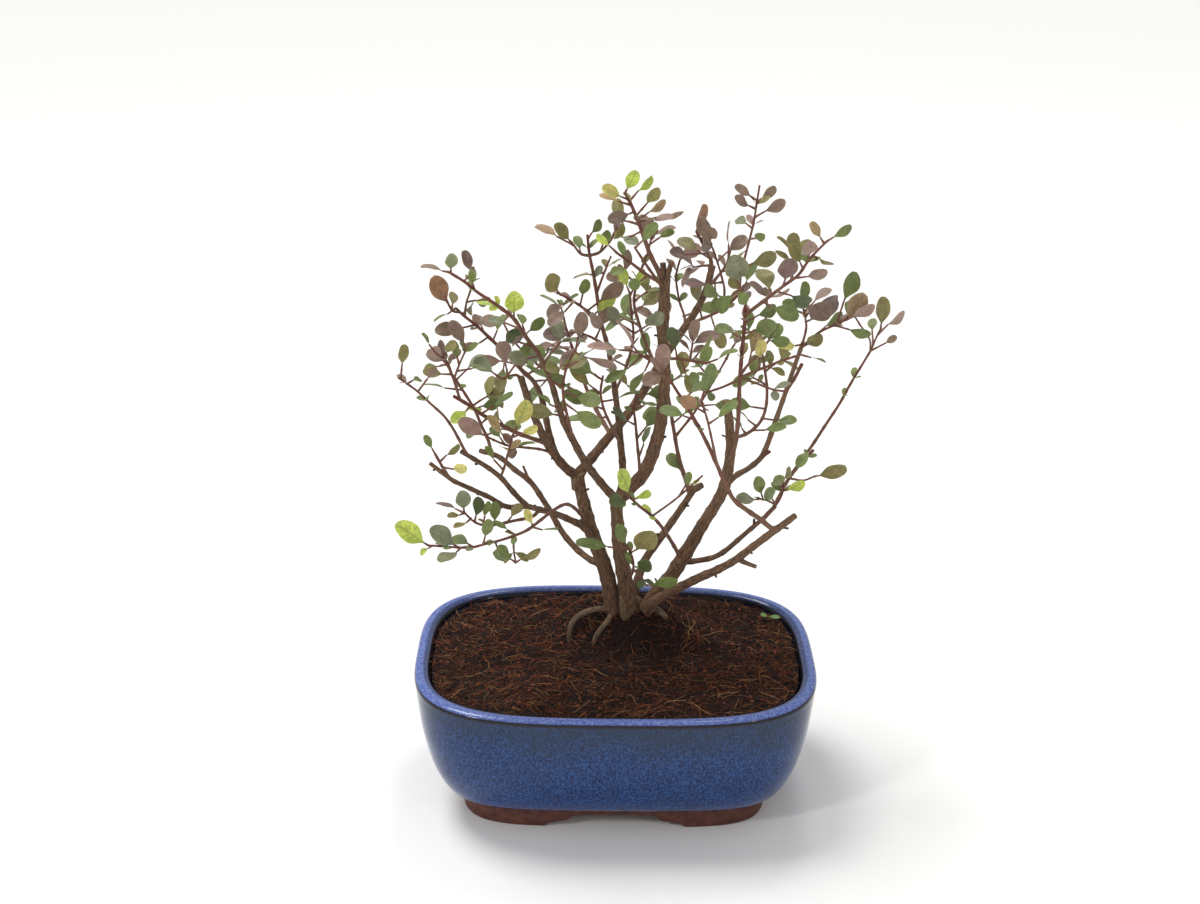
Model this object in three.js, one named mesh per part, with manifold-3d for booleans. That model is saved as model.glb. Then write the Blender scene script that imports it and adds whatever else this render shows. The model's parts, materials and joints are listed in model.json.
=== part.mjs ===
// A New Zealand myrtle bonsai (Lophomyrtus) in a glazed stoneware pot, in millimetres, +Z up.
// The pot holds a block of coir compost over two drainage screens. Several stems rise from one
// root crown, and each leafy limb is a stem with its shoots and its opposite pairs of leaves.
// The tree is set out in the pot's own frame: the origin on the table under the pot's middle,
// +X to the right along the pot's long side and +Y away from the viewer. At the end all of it
// is moved so that the middle of the whole bonsai's footprint lies on the origin.
import * as THREE from "three";
import { mergeVertices } from "three/addons/utils/BufferGeometryUtils.js";
import Module from "manifold-3d";

const wasm = await Module();
wasm.setup();

// Clearances
const GAP = 0.3; // between two pieces that touch
const FINEST = 0.12; // details smaller than this are dropped from fused wood and leaves

// Pot
const POT_LENGTH = 200;
const POT_DEPTH = 144;
const POT_HEIGHT = 74;
const RIM_WIDTH = 7.5;
const RIM_ROUND = 1.6;
const RIM_SQUARENESS = 3.4; // exponent of the rim's superellipse: 2 is an ellipse
const FOOT_SQUARENESS = 4.8;
const FOOT_INSET = 24; // how far the foot stands in from the rim
const FOOT_HEIGHT = 9.6;
const FOOT_WALL = 11;
const ARCH_HEIGHT = 6.6;
const ARCH_LONG = 70; // the arch under the long side
const ARCH_SHORT = 44;
const FLOOR_UNDER = 7;
const FLOOR_TOP = 13;
const DRAIN_RADIUS = 7;
const DRAIN_SPREAD = 36; // each drain hole's distance from the pot's middle
const PLAN_POINTS = 32;

// Drainage screens
const SCREEN_BAR = 2.5;
const SCREEN_HOLE = 5;
const SCREEN_HOLES = 3;
const SCREEN_THICK = 1.2;
const SCREEN_SIDE = SCREEN_HOLES * SCREEN_HOLE + (SCREEN_HOLES + 1) * SCREEN_BAR;

// Compost
const SOIL_EDGE = 70.6; // its height against the pot's wall
const MOUND = { x: 5, y: 25, height: 17.5, wide: 34, deep: 20, steepness: 2 };
const SOIL_RINGS = 6;

// Leaf blades, as shares of the leaf's length
const BLADE_THICK = 0.7;
const BLADE_WIDTH = 0.66;
const STALK_WIDTH = 0.9;
const WIDEST_AT = 0.56;
const TIP_WIDTH = 0.5; // of the blunt tip, as a share of the greatest width
const BLADE_ARCH = 0.07; // how high the blade bows between its stalk and its tip

// Leaf placing
const SEED = 20260;
const LEAF_GAP = 1.7; // between leaves of two limbs
const OWN_GAP = 0.9; // between leaves of one limb
const WOOD_GAP = 1.1;
const TRIES = 15;
const TURN_STEP = 0.6; // radians by which a leaf that is in the way is turned
const SHOOT_THICK = [1.3, 0.9];

// The place from which the tree was looked at. A seen point [x, z, y] gives where it appears on
// the upright plane through the pot's middle, and then its depth.
const EYE = [-15, -798, 518];

function seen([x, z, y]) {
  const far = (y - EYE[1]) / -EYE[1];
  return new THREE.Vector3(EYE[0] + (x - EYE[0]) * far, y, EYE[2] + (z - EYE[2]) * far);
}

// Bare wood: the root crown's stems, thickest first. thick is the diameter at the two ends.
const BARE_STEMS = {
  left: {
    thick: [8.4, 5.6],
    route: [
      [-1, 93, 18], [-3, 108, 18], [-6, 120, 17], [-10, 132, 16], [-14, 144, 15], [-17, 156, 14],
      [-20, 169, 13],
    ],
  },
  knuckle: { thick: [6.2, 6.8], route: [[-19, 163, 14], [-20, 171, 13]] },
  middle: {
    thick: [9.4, 5.4],
    route: [
      [6, 92, 18], [5, 108, 16], [3, 120, 14], [1, 132, 13], [0, 145, 12], [-1, 158, 12],
    ],
  },
  right: {
    thick: [8, 3.9],
    route: [
      [14, 94, 19], [20, 106, 19], [27, 115, 18], [32, 124, 18], [37, 134, 17], [42, 144, 16],
      [47, 153, 14], [51, 162, 12], [53, 172, 10], [54, 184, 8], [53, 196, 6], [51, 209, 5],
    ],
  },
  low_right: {
    thick: [5, 2.9],
    route: [
      [14, 97, 15], [24, 105, 11], [33, 110, 6], [42, 115, 0], [50, 119, -6], [58, 124, -12],
      [66, 131, -18], [74, 138, -23], [80, 143, -27], [87, 149, -31],
    ],
  },
  low_right_spur: { thick: [2.4, 2], route: [[60, 125, -13], [64, 123, -16], [69, 121, -20]] },
  right_back: {
    thick: [3, 2.2],
    route: [
      [32, 123, 18], [40, 124, 22], [48, 126, 25], [54, 130, 27], [60, 136, 29], [66, 142, 30],
      [72, 148, 31], [77, 154, 32],
    ],
  },
  rear: {
    thick: [4.6, 3.4],
    route: [
      [7, 94, 24], [10, 110, 30], [14, 124, 38], [20, 134, 44], [26, 144, 50], [32, 154, 54],
      [37, 163, 57],
    ],
  },
  rear_knob: { thick: [3.6, 3.2], route: [[36, 162, 57], [41, 165, 60]] },
  left_back: {
    thick: [3.4, 2.4],
    route: [
      [-7, 121, 17], [-13, 124, 22], [-20, 130, 28], [-27, 139, 33], [-34, 152, 37], [-42, 165, 40],
      [-50, 172, 42], [-58, 179, 44], [-67, 182, 45],
    ],
  },
  left_back_spur: { thick: [1.6, 1.2], route: [[-43, 166, 40], [-46, 174, 38]] },
  left_front: {
    thick: [3.6, 2.8],
    route: [
      [-11, 135, 15], [-17, 142, 6], [-24, 146, -3], [-31, 149, -9], [-38, 151, -14], [-45, 153, -18],
    ],
  },
  left_front_low: {
    thick: [2.6, 1.9],
    route: [
      [-44, 153, -17], [-50, 152, -21], [-56, 153, -25], [-62, 157, -28], [-68, 160, -31],
      [-74, 163, -34], [-80, 166, -36], [-85, 170, -38], [-91, 175, -40],
    ],
  },
  left_front_high: {
    thick: [2.7, 2.1],
    route: [
      [-44, 152.5, -17], [-49, 158, -19], [-53, 163, -20], [-57, 168, -21], [-63, 173, -23],
      [-69, 177, -24], [-76, 181.5, -26],
    ],
  },
  left_fork: {
    thick: [4.6, 3],
    route: [
      [-20, 169, 13], [-25, 173, 9], [-30, 179, 5], [-35, 187, 1], [-39, 196, -3], [-43, 207, -6],
      [-47, 220, -8],
    ],
  },
  left_inner_fork: {
    thick: [3.6, 2.6],
    route: [
      [-30, 179, 5], [-33, 189, 8], [-35, 199, 11], [-37, 209, 13], [-39, 215, 14],
    ],
  },
  long_diagonal: {
    thick: [4.8, 3.2],
    route: [
      [-20, 169, 13], [-15, 176, 18], [-9, 184, 22], [-3, 192, 26], [3, 200, 29], [10, 211, 33],
      [17, 224, 38], [24, 236, 42], [29, 244, 45], [34, 252, 47], [39, 263, 49], [42, 276, 50],
    ],
  },
  centre_left: {
    thick: [4.2, 2.8],
    route: [
      [-1, 157, 12], [-7, 164, 7], [-13, 172, 2], [-18, 180, -3], [-22, 188, -7], [-26, 196, -10],
      [-29, 205, -13], [-32, 216, -16],
    ],
  },
  tall: {
    thick: [6.4, 5],
    route: [
      [-1, 155, 12], [4, 161, 11], [8, 165, 9], [12, 170, 7], [15, 177, 4], [18, 187, 2], [20, 197, 0],
      [21, 211, -1], [21, 226, -2], [20, 241, -2], [20, 256, -3], [20, 269, -3],
    ],
  },
  tall_cut_left: { thick: [3, 2.8], route: [[20, 267, -3], [19, 277, -2]] },
  tall_cut_right: { thick: [2.6, 2.2], route: [[20.5, 267, -3], [23, 278, -6]] },
  straight: {
    thick: [3.8, 2.6],
    route: [
      [0, 157, 13], [2, 166, 15], [2, 176, 16], [1, 186, 16], [0, 196, 16], [-2, 212, 18],
      [-4, 226, 20],
    ],
  },
};

// The root crown and the roots that show at its foot, in the pot's frame
const CROWN = { x: 7, y: 20.5, z: 72, across: 25, deep: 17, tall: 30 };
const ROOTS = [
  {
    thick: [3.4, 2.4],
    route: [
      [2, 17, 85], [-4, 16, 88], [-12, 14, 88.5], [-20, 12, 85], [-23, 10, 79], [-23, 9, 70],
      [-23, 8, 62],
    ],
  },
  {
    thick: [3, 2.4],
    route: [
      [3, 17, 83], [-2, 13, 86], [-4, 10, 84], [-8, 8, 79.5], [-10.5, 6, 74.5], [-11, 5, 64],
    ],
  },
  { thick: [5, 2.4], route: [[14, 20, 86], [20, 19, 86.5], [25, 18, 83], [29, 17, 76], [31, 16, 66]] },
  { thick: [4.4, 2.4], route: [[0, 24, 82], [-8, 29, 80], [-15, 33, 73], [-19, 36, 64]] },
  { thick: [4.4, 2.2], route: [[11, 26, 84], [15, 36, 83], [18, 43, 76], [19, 47, 66]] },
];

// Leafy limbs. Each has its stems, and shoots written as [from x, from z, to x, to z, to depth,
// leaves, leaf length, colour], where one leaf alone carries on in line with its shoot. A ninth
// number is how far that leaf is rolled from lying flat to the viewer, in radians.
const LIMBS = {
  apex_limb: {
    colour: "lime",
    stems: [
      {
        thick: [2.6, 1.4],
        route: [
          [19.5, 268, -3], [16, 275, -3], [13, 281, -3], [10, 289, -2], [7, 297, 0], [4, 304, 2],
          [1, 310, 3],
        ],
      },
    ],
    shoots: [
      [1, 310, 1.8, 311.6, 3, 1, 11, "lime", 0.2],
      [3, 306, 7, 311, 8, 1, 10, "lime", 0.8],
      [4, 304, -2, 306, 2, 1, 9, "tan", 0.9],
      [7, 297, 12, 301, 4, 1, 10, "tan", 0.8],
      [7, 296, 17, 299, 8, 1, 11, "bronze", 1.1],
      [5, 301, 3, 300, -1, 1, 11, "purple", 0.3],
      [6, 299, 11, 305, -8, 1, 10, "olive", 0.4],
      [9, 291, 14, 297, -10, 2, 9, "bronze"],
      [8, 295, 0, 297, 10, 2, 10, "olive"],
      [9, 292, 3, 289, 8, 1, 10, "green", 0.5],
      [3, 307, -1, 308, -3, 1, 11, "straw", 0.5],
      [12, 285, 17, 289, 4, 1, 9, "green"],
    ],
  },
  apex_side_shoots: {
    colour: "olive",
    stems: [
      {
        thick: [1.9, 1.1],
        route: [
          [20, 264, -3], [17, 268, -7], [12, 271, -11], [4, 277, -15], [-3, 282, -18],
        ],
      },
      { thick: [1.5, 1], route: [[17, 268, -7], [12, 275, -12], [6, 284, -17]] },
    ],
    shoots: [
      [-2, 281, -6, 285, -20, 1, 8, "lime"],
      [4, 277, 1, 274, -22, 1, 9, "green"],
      [6, 284, 9, 287, -20, 1, 12.5, "green"],
      [12, 271, 9, 268, -20, 1, 8, "green"],
    ],
  },
  left_top_limb: {
    colour: "lime",
    stems: [
      {
        thick: [2.4, 1.2],
        route: [
          [-31, 212, -15], [-34, 221, -17], [-38, 231, -19], [-45, 241, -22], [-50, 249, -24],
          [-57, 255, -26], [-67, 262, -29], [-73, 267, -31], [-80, 271.5, -33],
        ],
      },
    ],
    shoots: [
      [-79, 271, -79, 273, -35, 1, 9, "grey", 0.2],
      [-80, 271.4, -83, 272, -33, 1, 9, "bronze", 1.2],
      [-73, 267, -71.6, 269, -27, 1, 9, "purple", 0.4],
      [-68, 263, -69, 266, -36, 1, 8, "green", 0.5],
      [-53, 252, -56, 253.6, -21, 1, 13, "lime", 1.2],
      [-50, 249, -50, 252, -27, 1, 15, "lime", 0.1],
      [-47, 244, -54, 247, -14, 1, 9, "grey"],
      [-44, 240, -46, 246, -32, 1, 9, "green"],
      [-41, 235, -49, 238, -28, 1, 12, "purple", 0.5],
      [-38, 231, -44, 229, -32, 1, 12, "grey", 0.3],
      [-36, 226, -35, 239, -32, 1, 12, "lime", 0.1],
      [-36, 227, -28, 238, -10, 2, 12, "grey"],
      [-34, 221, -28, 225, -28, 2, 12, "olive"],
      [-37, 229, -33, 231, -34, 1, 12, "bronze", 0.6],
    ],
  },
  left_upper_limb: {
    colour: "bronze",
    stems: [
      {
        thick: [2.4, 1.2],
        route: [
          [-38, 212, 13.5], [-41, 218, 12], [-46, 223, 10], [-52, 230, 8], [-60, 238, 5], [-67, 245, 2],
          [-73, 250, 0], [-77, 254, -2],
        ],
      },
      { thick: [1.2, 0.9], route: [[-73, 250, 0], [-72, 257, 2], [-70, 263, 4], [-69, 269, 5]] },
      { thick: [1.2, 0.9], route: [[-75, 252, -1], [-79, 253, -5], [-82, 260, -8]] },
    ],
    shoots: [
      [-69, 269, -70, 272, 4, 1, 11, "purple", 0.6],
      [-72, 257, -68, 258, 8, 1, 10, "olive", 0.5],
      [-80, 254, -81, 256.6, -7, 1, 15, "copper", 0.3],
      [-79, 253, -78.6, 255.6, 0, 1, 9, "olive", 0.3],
      [-74, 251, -72.5, 253, 7, 1, 11, "olive", 0.6],
      [-77, 254, -81, 251, -6, 1, 8, "green"],
      [-68, 246, -75, 244, -4, 1, 12, "bronze", 0.4],
      [-64, 242, -65, 245, 8, 1, 9, "bronze", 0.3],
      [-60, 238, -58, 243, 11, 1, 9, "green"],
      [-62, 240, -66, 237, -3, 1, 10, "bronze", 0.8],
      [-57, 235, -54, 237, 0, 1, 11, "dark", 0.2],
      [-54, 232, -55, 225, 1, 1, 12, "olive", 0.5],
      [-49, 227, -56, 228, 15, 1, 11, "bronze"],
      [-47, 225, -44, 228, 2, 1, 12, "grey", 0.3],
      [-44, 221, -37, 226, 21, 3, 11, "green"],
      [-41, 218, -33, 219, 26, 1, 12, "green"],
    ],
  },
  left_fork_limb: {
    colour: "green",
    stems: [{ thick: [1.8, 1], route: [[-46, 217, -7.5], [-49, 221, -9], [-56, 219, -13]] }],
    shoots: [
      [-53, 220, -54, 226, -15, 1, 12, "bronze"],
      [-56, 219, -60, 222, -14, 1, 12, "grey"],
      [-54, 219.6, -49, 227, -20, 1, 11, "green"],
    ],
  },
  left_arm: {
    colour: "green",
    stems: [
      {
        thick: [2.2, 1.6],
        route: [
          [-34, 186, 1.5], [-40, 188, -2], [-48, 191, -6], [-54, 194, -9], [-61, 198, -12],
          [-66, 201, -15], [-71, 205, -17], [-79, 210, -20],
        ],
      },
      {
        thick: [1.4, 0.9],
        route: [
          [-76, 208, -19], [-79, 219, -20], [-82, 226, -21], [-88, 233, -23],
        ],
      },
      { thick: [1.1, 0.9], route: [[-79, 218, -20], [-76, 226, -16], [-72, 235, -12]] },
    ],
    shoots: [
      [-76, 226, -77, 230, -14, 1, 9, "green", 0.3],
      [-72, 234, -73.5, 236.5, -11, 1, 12, "bronze", 0.4],
      [-84, 229, -82, 232, -25, 1, 9, "olive", 0.3],
      [-82, 226, -86, 225, -17, 1, 9, "green", 0.4],
      [-80, 221, -84, 221, -24, 1, 10, "olive", 0.5],
      [-88, 233, -90, 236, -24, 1, 6, "green"],
      [-71, 205, -73, 202.5, -21, 1, 11, "lime", 0.3],
      [-69, 203, -66, 205, -11, 1, 10, "green", 0.4],
      [-66, 201, -60, 205, -18, 1, 11, "green"],
      [-63, 199, -67, 195, -14, 1, 9, "green", 0.6],
      [-55, 194.5, -57, 198, -14, 1, 10, "olive"],
      [-75, 222, -70, 224, -16, 1, 9, "green"],
    ],
  },
  left_inner_twig: {
    colour: "bronze",
    stems: [
      {
        thick: [1.5, 1],
        route: [
          [-31, 181, 4.5], [-38, 183, -4], [-47, 184, -16], [-54, 185, -24], [-61, 188, -30],
        ],
      },
    ],
    shoots: [
      [-60, 187.5, -65, 190, -34, 1, 15, "bronze"],
      [-55, 185.5, -57, 189, -20, 1, 8, "green"],
      [-51, 184.6, -53, 180, -28, 1, 11, "green"],
    ],
  },
  left_feeler: {
    colour: "green",
    stems: [
      {
        thick: [1.5, 0.9],
        route: [
          [-73, 180, -25], [-77, 188, -26], [-80, 194, -27], [-84, 200, -28], [-90, 206, -30],
          [-97, 213, -32], [-105, 219, -34],
        ],
      },
    ],
    shoots: [
      [-96, 212, -91, 219, -30, 1, 7, "bronze"],
      [-104, 218, -103, 226, -36, 1, 9, "olive"],
      [-101, 216, -98, 218, -26, 1, 7, "green"],
      [-84, 200, -85, 203, -32, 0, 0, "green"],
    ],
  },
  left_bright_shoot: {
    colour: "lime",
    stems: [
      {
        thick: [1.3, 1],
        route: [
          [-57, 168, -21], [-55, 174, -25], [-53, 182, -29], [-51, 190.4, -32],
        ],
      },
    ],
    shoots: [
      [-51.2, 189.2, -49, 195, -33, 1, 13, "straw", 0.35],
      [-52, 186.5, -56, 190.5, -37, 1, 12, "tan", 0.9],
      [-51, 189, -46, 191, -38, 1, 10, "straw", 0.7],
      [-53, 182, -49, 184, -24, 1, 9, "green"],
      [-56, 172, -60, 177, -30, 1, 8, "green"],
    ],
  },
  left_low_shoots: {
    colour: "olive",
    stems: [{ thick: [1.6, 1.2], route: [[-82, 168, -37], [-85, 173, -39], [-88, 179, -41]] }],
    shoots: [
      [-86, 176, -83, 179.5, -36, 1, 8, "olive", 0.8],
      [-85, 173, -80, 172, -46, 1, 8, "straw", 0.4],
      [-88, 179, -90, 183, -41, 1, 7, "green", 0.5],
    ],
  },
  left_back_limb: {
    colour: "green",
    stems: [
      {
        thick: [1.9, 1.2],
        route: [
          [-61, 180.5, 44], [-63, 188, 45], [-66, 195, 44], [-69, 203, 42], [-74, 212, 40],
          [-80, 222, 38],
        ],
      },
    ],
    shoots: [
      [-64, 190, -57, 193, 50, 1, 10.5, "green"],
      [-70, 205, -63, 210, 46, 3, 10.5, "olive"],
      [-75, 213, -83, 214, 36, 1, 10.5, "green"],
      [-80, 222, -82, 228, 38, 3, 10.5, "bronze"],
      [-78, 218, -72, 224, 44, 1, 10.5, "grey"],
    ],
  },
  low_left_long_spray: {
    colour: "green",
    stems: [
      {
        thick: [2, 1],
        route: [
          [-14, 143, 14], [-20, 151, 2], [-25, 154, -10], [-31, 151, -22], [-38, 145, -32],
          [-44, 140, -38], [-50, 137, -42], [-58, 134, -46], [-65, 132, -49], [-72, 130, -51],
          [-78, 130, -53], [-93, 131, -58],
        ],
      },
      { thick: [1, 0.9], route: [[-50, 137, -42], [-51, 131, -44], [-50, 122, -46]] },
    ],
    shoots: [
      [-93, 131, -95, 132.2, -59, 1, 16, "lime", 0.2],
      [-91, 130.8, -93, 129.5, -56, 1, 6, "lime", 0.5],
      [-78, 130, -80, 131.2, -54, 1, 14, "grey", 0.4],
      [-71, 130.3, -73, 132, -48, 1, 11, "green", 0.5],
      [-77, 129.5, -79, 127.4, -58, 1, 13, "grey", 0.9],
      [-66, 132, -65, 136, -52, 1, 10, "green", 0.4],
      [-60, 133.5, -59, 130, -44, 1, 10, "green", 0.7],
      [-50, 122, -52, 123.5, -47, 1, 12, "green", 0.9],
      [-50, 122, -48, 123.5, -45, 1, 12, "olive", 0.9],
      [-41, 141.8, -42, 143.5, -36, 1, 9, "straw", 0.5],
      [-42, 141.5, -37, 140, -42, 1, 10, "green"],
      [-50, 137, -54, 140, -40, 1, 9, "green"],
    ],
  },
  low_left_high_spray: {
    colour: "olive",
    stems: [
      {
        thick: [1.7, 1],
        route: [
          [-38, 150.8, -13.5], [-42, 147, -18], [-50, 145, -24], [-58, 143, -30], [-64, 142, -34],
          [-70, 144, -38], [-75, 149, -41],
        ],
      },
    ],
    shoots: [
      [-75, 149, -75.2, 151, -43, 1, 12, "grey", 0.1],
      [-75, 148, -79, 151, -36, 1, 10, "purple", 1.2],
      [-70, 144, -69.4, 147, -34, 1, 10, "dark", 0.3],
      [-60, 142.6, -60, 144.6, -30, 1, 10, "green", 0.3],
      [-72, 145.5, -74, 143.5, -44, 1, 9, "olive", 1.0],
      [-75, 148.5, -77.5, 147.5, -44, 1, 7, "olive"],
      [-66, 142.2, -65, 147, -38, 1, 9, "green", 0.8],
      [-54, 144, -52, 147, -26, 1, 9, "olive"],
    ],
  },
  foot_shoots: {
    colour: "green",
    stems: [
      { thick: [1.5, 1.1], route: [[4, 112, 15], [8, 117, 4], [8, 124, -3], [6, 130, -6]] },
      { thick: [1.2, 1], route: [[8, 119, 2], [12, 115, -4], [15, 110, -8]] },
    ],
    shoots: [
      [6, 130, -4, 131, -8, 1, 17, "green", 0.9],
      [6, 130, 4.2, 133, -12, 1, 13, "green", 0.5],
      [7, 128, 9.5, 129.5, -13, 1, 18, "olive", 0.3],
      [8.5, 118, 11.5, 118.5, -9, 1, 13, "dark", 0.2],
      [15, 110, 17.5, 110, -11, 1, 15, "green", 0.8],
    ],
  },
  front_cross_limb: {
    colour: "lime",
    stems: [
      {
        thick: [2.2, 1.2],
        route: [
          [31, 125, 18], [27, 134, 8], [22, 142, -2], [17, 148, -10], [11, 153, -14], [6, 158, -18],
        ],
      },
      { thick: [1.1, 0.9], route: [[17, 148, -10], [29, 158, -14], [41, 170, -18]] },
    ],
    shoots: [
      [6, 158, 5, 160.5, -20, 1, 15, "lime", 0.6],
      [7, 157, 9.6, 157.3, -23, 1, 14, "lime", 0.9],
      [6, 158, 4.2, 156.4, -22, 1, 13, "dark", 0.4],
      [30, 159, 33, 165, -22, 1, 8, "green"],
    ],
  },
  rear_limb: {
    colour: "green",
    stems: [
      {
        thick: [2.4, 1.4],
        route: [
          [35, 160, 56], [32, 170, 60], [29, 180, 63], [27, 190, 66], [25, 201, 68], [23, 212, 70],
          [20, 226, 72], [18, 240, 74],
        ],
      },
      { thick: [1.5, 1], route: [[27, 190, 66], [36, 203, 70], [44, 218, 73], [50, 230, 76]] },
    ],
    shoots: [
      [32, 170, 30, 173, 62, 1, 10.5, "green"],
      [26, 197, 31, 202, 62, 1, 12.5, "green"],
      [25, 203, 18, 206, 72, 2, 11.5, "green"],
      [22, 216, 29, 222, 78, 2, 11.5, "olive"],
      [20, 227, 12, 232, 68, 2, 11.5, "green"],
      [18, 240, 16, 250, 76, 2, 11.5, "bronze"],
      [38, 206, 45, 207, 76, 1, 11.5, "green"],
      [44, 218, 38, 226, 78, 2, 10.5, "green"],
      [50, 230, 54, 238, 76, 2, 11.5, "bronze"],
    ],
  },
  rear_left_limb: {
    colour: "green",
    stems: [
      {
        thick: [2.4, 1.3],
        route: [
          [-4, 191, 25.5], [-9, 200, 36], [-14, 210, 46], [-18, 221, 54], [-22, 233, 60],
          [-26, 246, 64],
        ],
      },
      {
        thick: [1.5, 1],
        route: [
          [-14, 210, 46], [-24, 215, 54], [-34, 222, 60], [-44, 231, 64], [-52, 240, 66],
        ],
      },
    ],
    shoots: [
      [-22, 232, -29, 236, 66, 2, 11.5, "bronze"],
      [-26, 246, -28, 255, 66, 2, 11.5, "green"],
      [-24, 215, -27, 209, 60, 1, 10.5, "green"],
      [-33, 221, -37, 216, 66, 1, 11.5, "green"],
      [-38, 226, -34, 233, 66, 2, 10.5, "grey"],
      [-52, 240, -55, 247, 68, 2, 11.5, "bronze"],
      [-49, 237, -43, 243, 70, 1, 10.5, "green"],
    ],
  },
  centre_top_limb: {
    colour: "olive",
    stems: [
      {
        thick: [2.5, 1.3],
        route: [
          [-4, 225, 20], [-6, 236, 22], [-9, 247, 24], [-11, 259, 26], [-13, 271, 28], [-15, 281, 29],
          [-16, 290, 30],
        ],
      },
      { thick: [1.5, 1], route: [[-15, 280, 29], [-19, 281, 28], [-23, 286, 27]] },
      { thick: [1.5, 1], route: [[-15, 280, 29], [-10, 282, 31], [-5, 288, 32], [-2, 294, 33]] },
      { thick: [1.3, 0.9], route: [[-11, 262, 26.5], [-8, 272, 30], [-5, 280, 32]] },
      {
        thick: [1.8, 1],
        route: [
          [-9, 247, 24], [-13, 251, 15], [-18, 255, 6], [-24, 259, -2], [-30, 262, -8],
        ],
      },
      { thick: [1.4, 1], route: [[-6, 236, 22], [-13, 240, 10], [-20, 243, 2]] },
    ],
    shoots: [
      [-23, 286, -24.5, 287.5, 26, 1, 11, "olive", 0.5],
      [-22, 285, -30, 289, 28, 1, 12, "tan", 1.0],
      [-19, 281, -19.4, 283, 31, 1, 8, "green", 0.3],
      [-16, 288, -14, 291, 34, 1, 9, "green", 0.5],
      [-10, 282, -9, 285, 27, 1, 10, "green", 0.4],
      [-5, 288, -4, 291, 38, 1, 11, "purple", 0.3],
      [-3, 291, 0, 289, 26, 1, 9, "grey"],
      [-8, 272, -15, 271, 36, 1, 9, "olive"],
      [-28, 261, -29.6, 262.6, -10, 1, 14, "olive", 0.3],
      [-24, 259, -27, 256.6, 2, 1, 13, "bronze", 0.6],
      [-19, 256, -18, 261, -1, 1, 11, "green", 0.4],
      [-13, 251, -11, 253, 14, 1, 11, "lime", 0.1],
      [-16, 253, -10, 258, 4, 1, 14, "bronze", 0.7],
      [-18, 255, -15, 251, -7, 1, 14, "bronze", 0.7],
      [-20, 243, -24, 242, -2, 1, 12, "purple", 0.5],
      [-17, 242, -20, 236, -1, 1, 13, "bronze", 0.5],
      [-12, 239, -9, 246, 4, 1, 12, "bronze", 0.5],
      [-13, 240, -8, 236, 2, 1, 12, "grey", 0.6],
      [-22, 258, -26, 253, -8, 1, 12, "bronze", 0.4],
    ],
  },
  centre_twig: {
    colour: "grey",
    stems: [
      {
        thick: [1.5, 1],
        route: [
          [-2, 213, 18], [3, 226, 8], [6, 240, 2], [5, 252, -4], [4, 262, -8],
        ],
      },
    ],
    shoots: [
      [4, 262, 2.6, 265.5, -9, 1, 10, "lime", 0.5],
      [4, 261, 6, 265, -8, 1, 9, "lime", 0.7],
      [5, 252, 10, 256, -2, 1, 10, "olive"],
      [6, 243, 0, 247, -10, 1, 13, "grey", 0.6],
      [6, 242, 12, 246, -12, 1, 13, "grey", 0.6],
      [5, 236, 8, 240, 12, 1, 11, "green"],
      [3, 226, -3, 229, -4, 1, 13, "pink", 0.9],
      [5.4, 248, -1, 251, 12, 1, 12, "bronze"],
    ],
  },
  centre_low_spray: {
    colour: "green",
    stems: [
      {
        thick: [1.7, 1],
        route: [
          [-22, 188, -7], [-24, 197, -16], [-26, 206, -24], [-27, 215, -30], [-25, 226, -34],
          [-21, 234, -36],
        ],
      },
    ],
    shoots: [
      [-25, 200, -31, 201, -22, 1, 12.5, "olive"],
      [-25, 203, -33, 206, -30, 1, 12.5, "green"],
      [-26, 207, -21, 203, -30, 1, 12.5, "green"],
      [-27, 213, -20, 210, -36, 1, 12.5, "green"],
      [-27, 215, -34, 219, -34, 1, 13.5, "green"],
      [-25, 225, -20, 228, -42, 1, 12.5, "grey"],
      [-22, 233, -16, 230, -40, 1, 13.5, "bronze"],
      [-21, 234, -20, 240, -38, 1, 11.5, "bronze"],
    ],
  },
  centre_pink_spray: {
    colour: "pink",
    stems: [{ thick: [2, 1.1], route: [[21, 225, -2], [15, 229, -9], [9, 232, -14], [4, 234, -18]] }],
    shoots: [
      [9, 232, 6, 236, -20, 1, 17, "pink"],
      [4, 234, 0, 234, -20, 1, 15, "pink"],
      [14, 229, 12, 224, -16, 1, 12.5, "green"],
      [10, 231, 4, 225, -24, 1, 12.5, "green"],
    ],
  },
  centre_right_spray: {
    colour: "bronze",
    stems: [
      {
        thick: [1.7, 1],
        route: [
          [21, 230, -2], [27, 230, -10], [34, 229, -16], [41, 228, -20],
        ],
      },
    ],
    shoots: [
      [27, 230, 26, 235, -14, 1, 12.5, "dark"],
      [34, 229, 37, 233, -20, 1, 12.5, "green"],
      [33, 229, 34, 238, -10, 3, 11.5, "bronze"],
      [41, 228, 46, 230, -22, 1, 10.5, "green"],
      [29, 229, 31, 223, -18, 1, 10.5, "olive"],
    ],
  },
  centre_middle_spray: {
    colour: "green",
    stems: [
      {
        thick: [1.7, 1],
        route: [
          [1, 186, 16], [-3, 194, 6], [-7, 203, -4], [-9, 212, -12], [-8, 221, -18],
        ],
      },
    ],
    shoots: [
      [-6, 200, -12, 199, -4, 1, 12.5, "green"],
      [-7, 204, -15, 207, -8, 1, 12.5, "green"],
      [-8, 208, -2, 209, -14, 1, 12.5, "green"],
      [-9, 212, -14, 216, -16, 1, 12.5, "olive"],
      [-8, 221, -5, 227, -32, 1, 13.5, "pink"],
      [-8, 219, -13, 222, -22, 1, 12.5, "green"],
    ],
  },
  inner_right_twig: {
    colour: "green",
    stems: [
      {
        thick: [1.6, 1],
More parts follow.
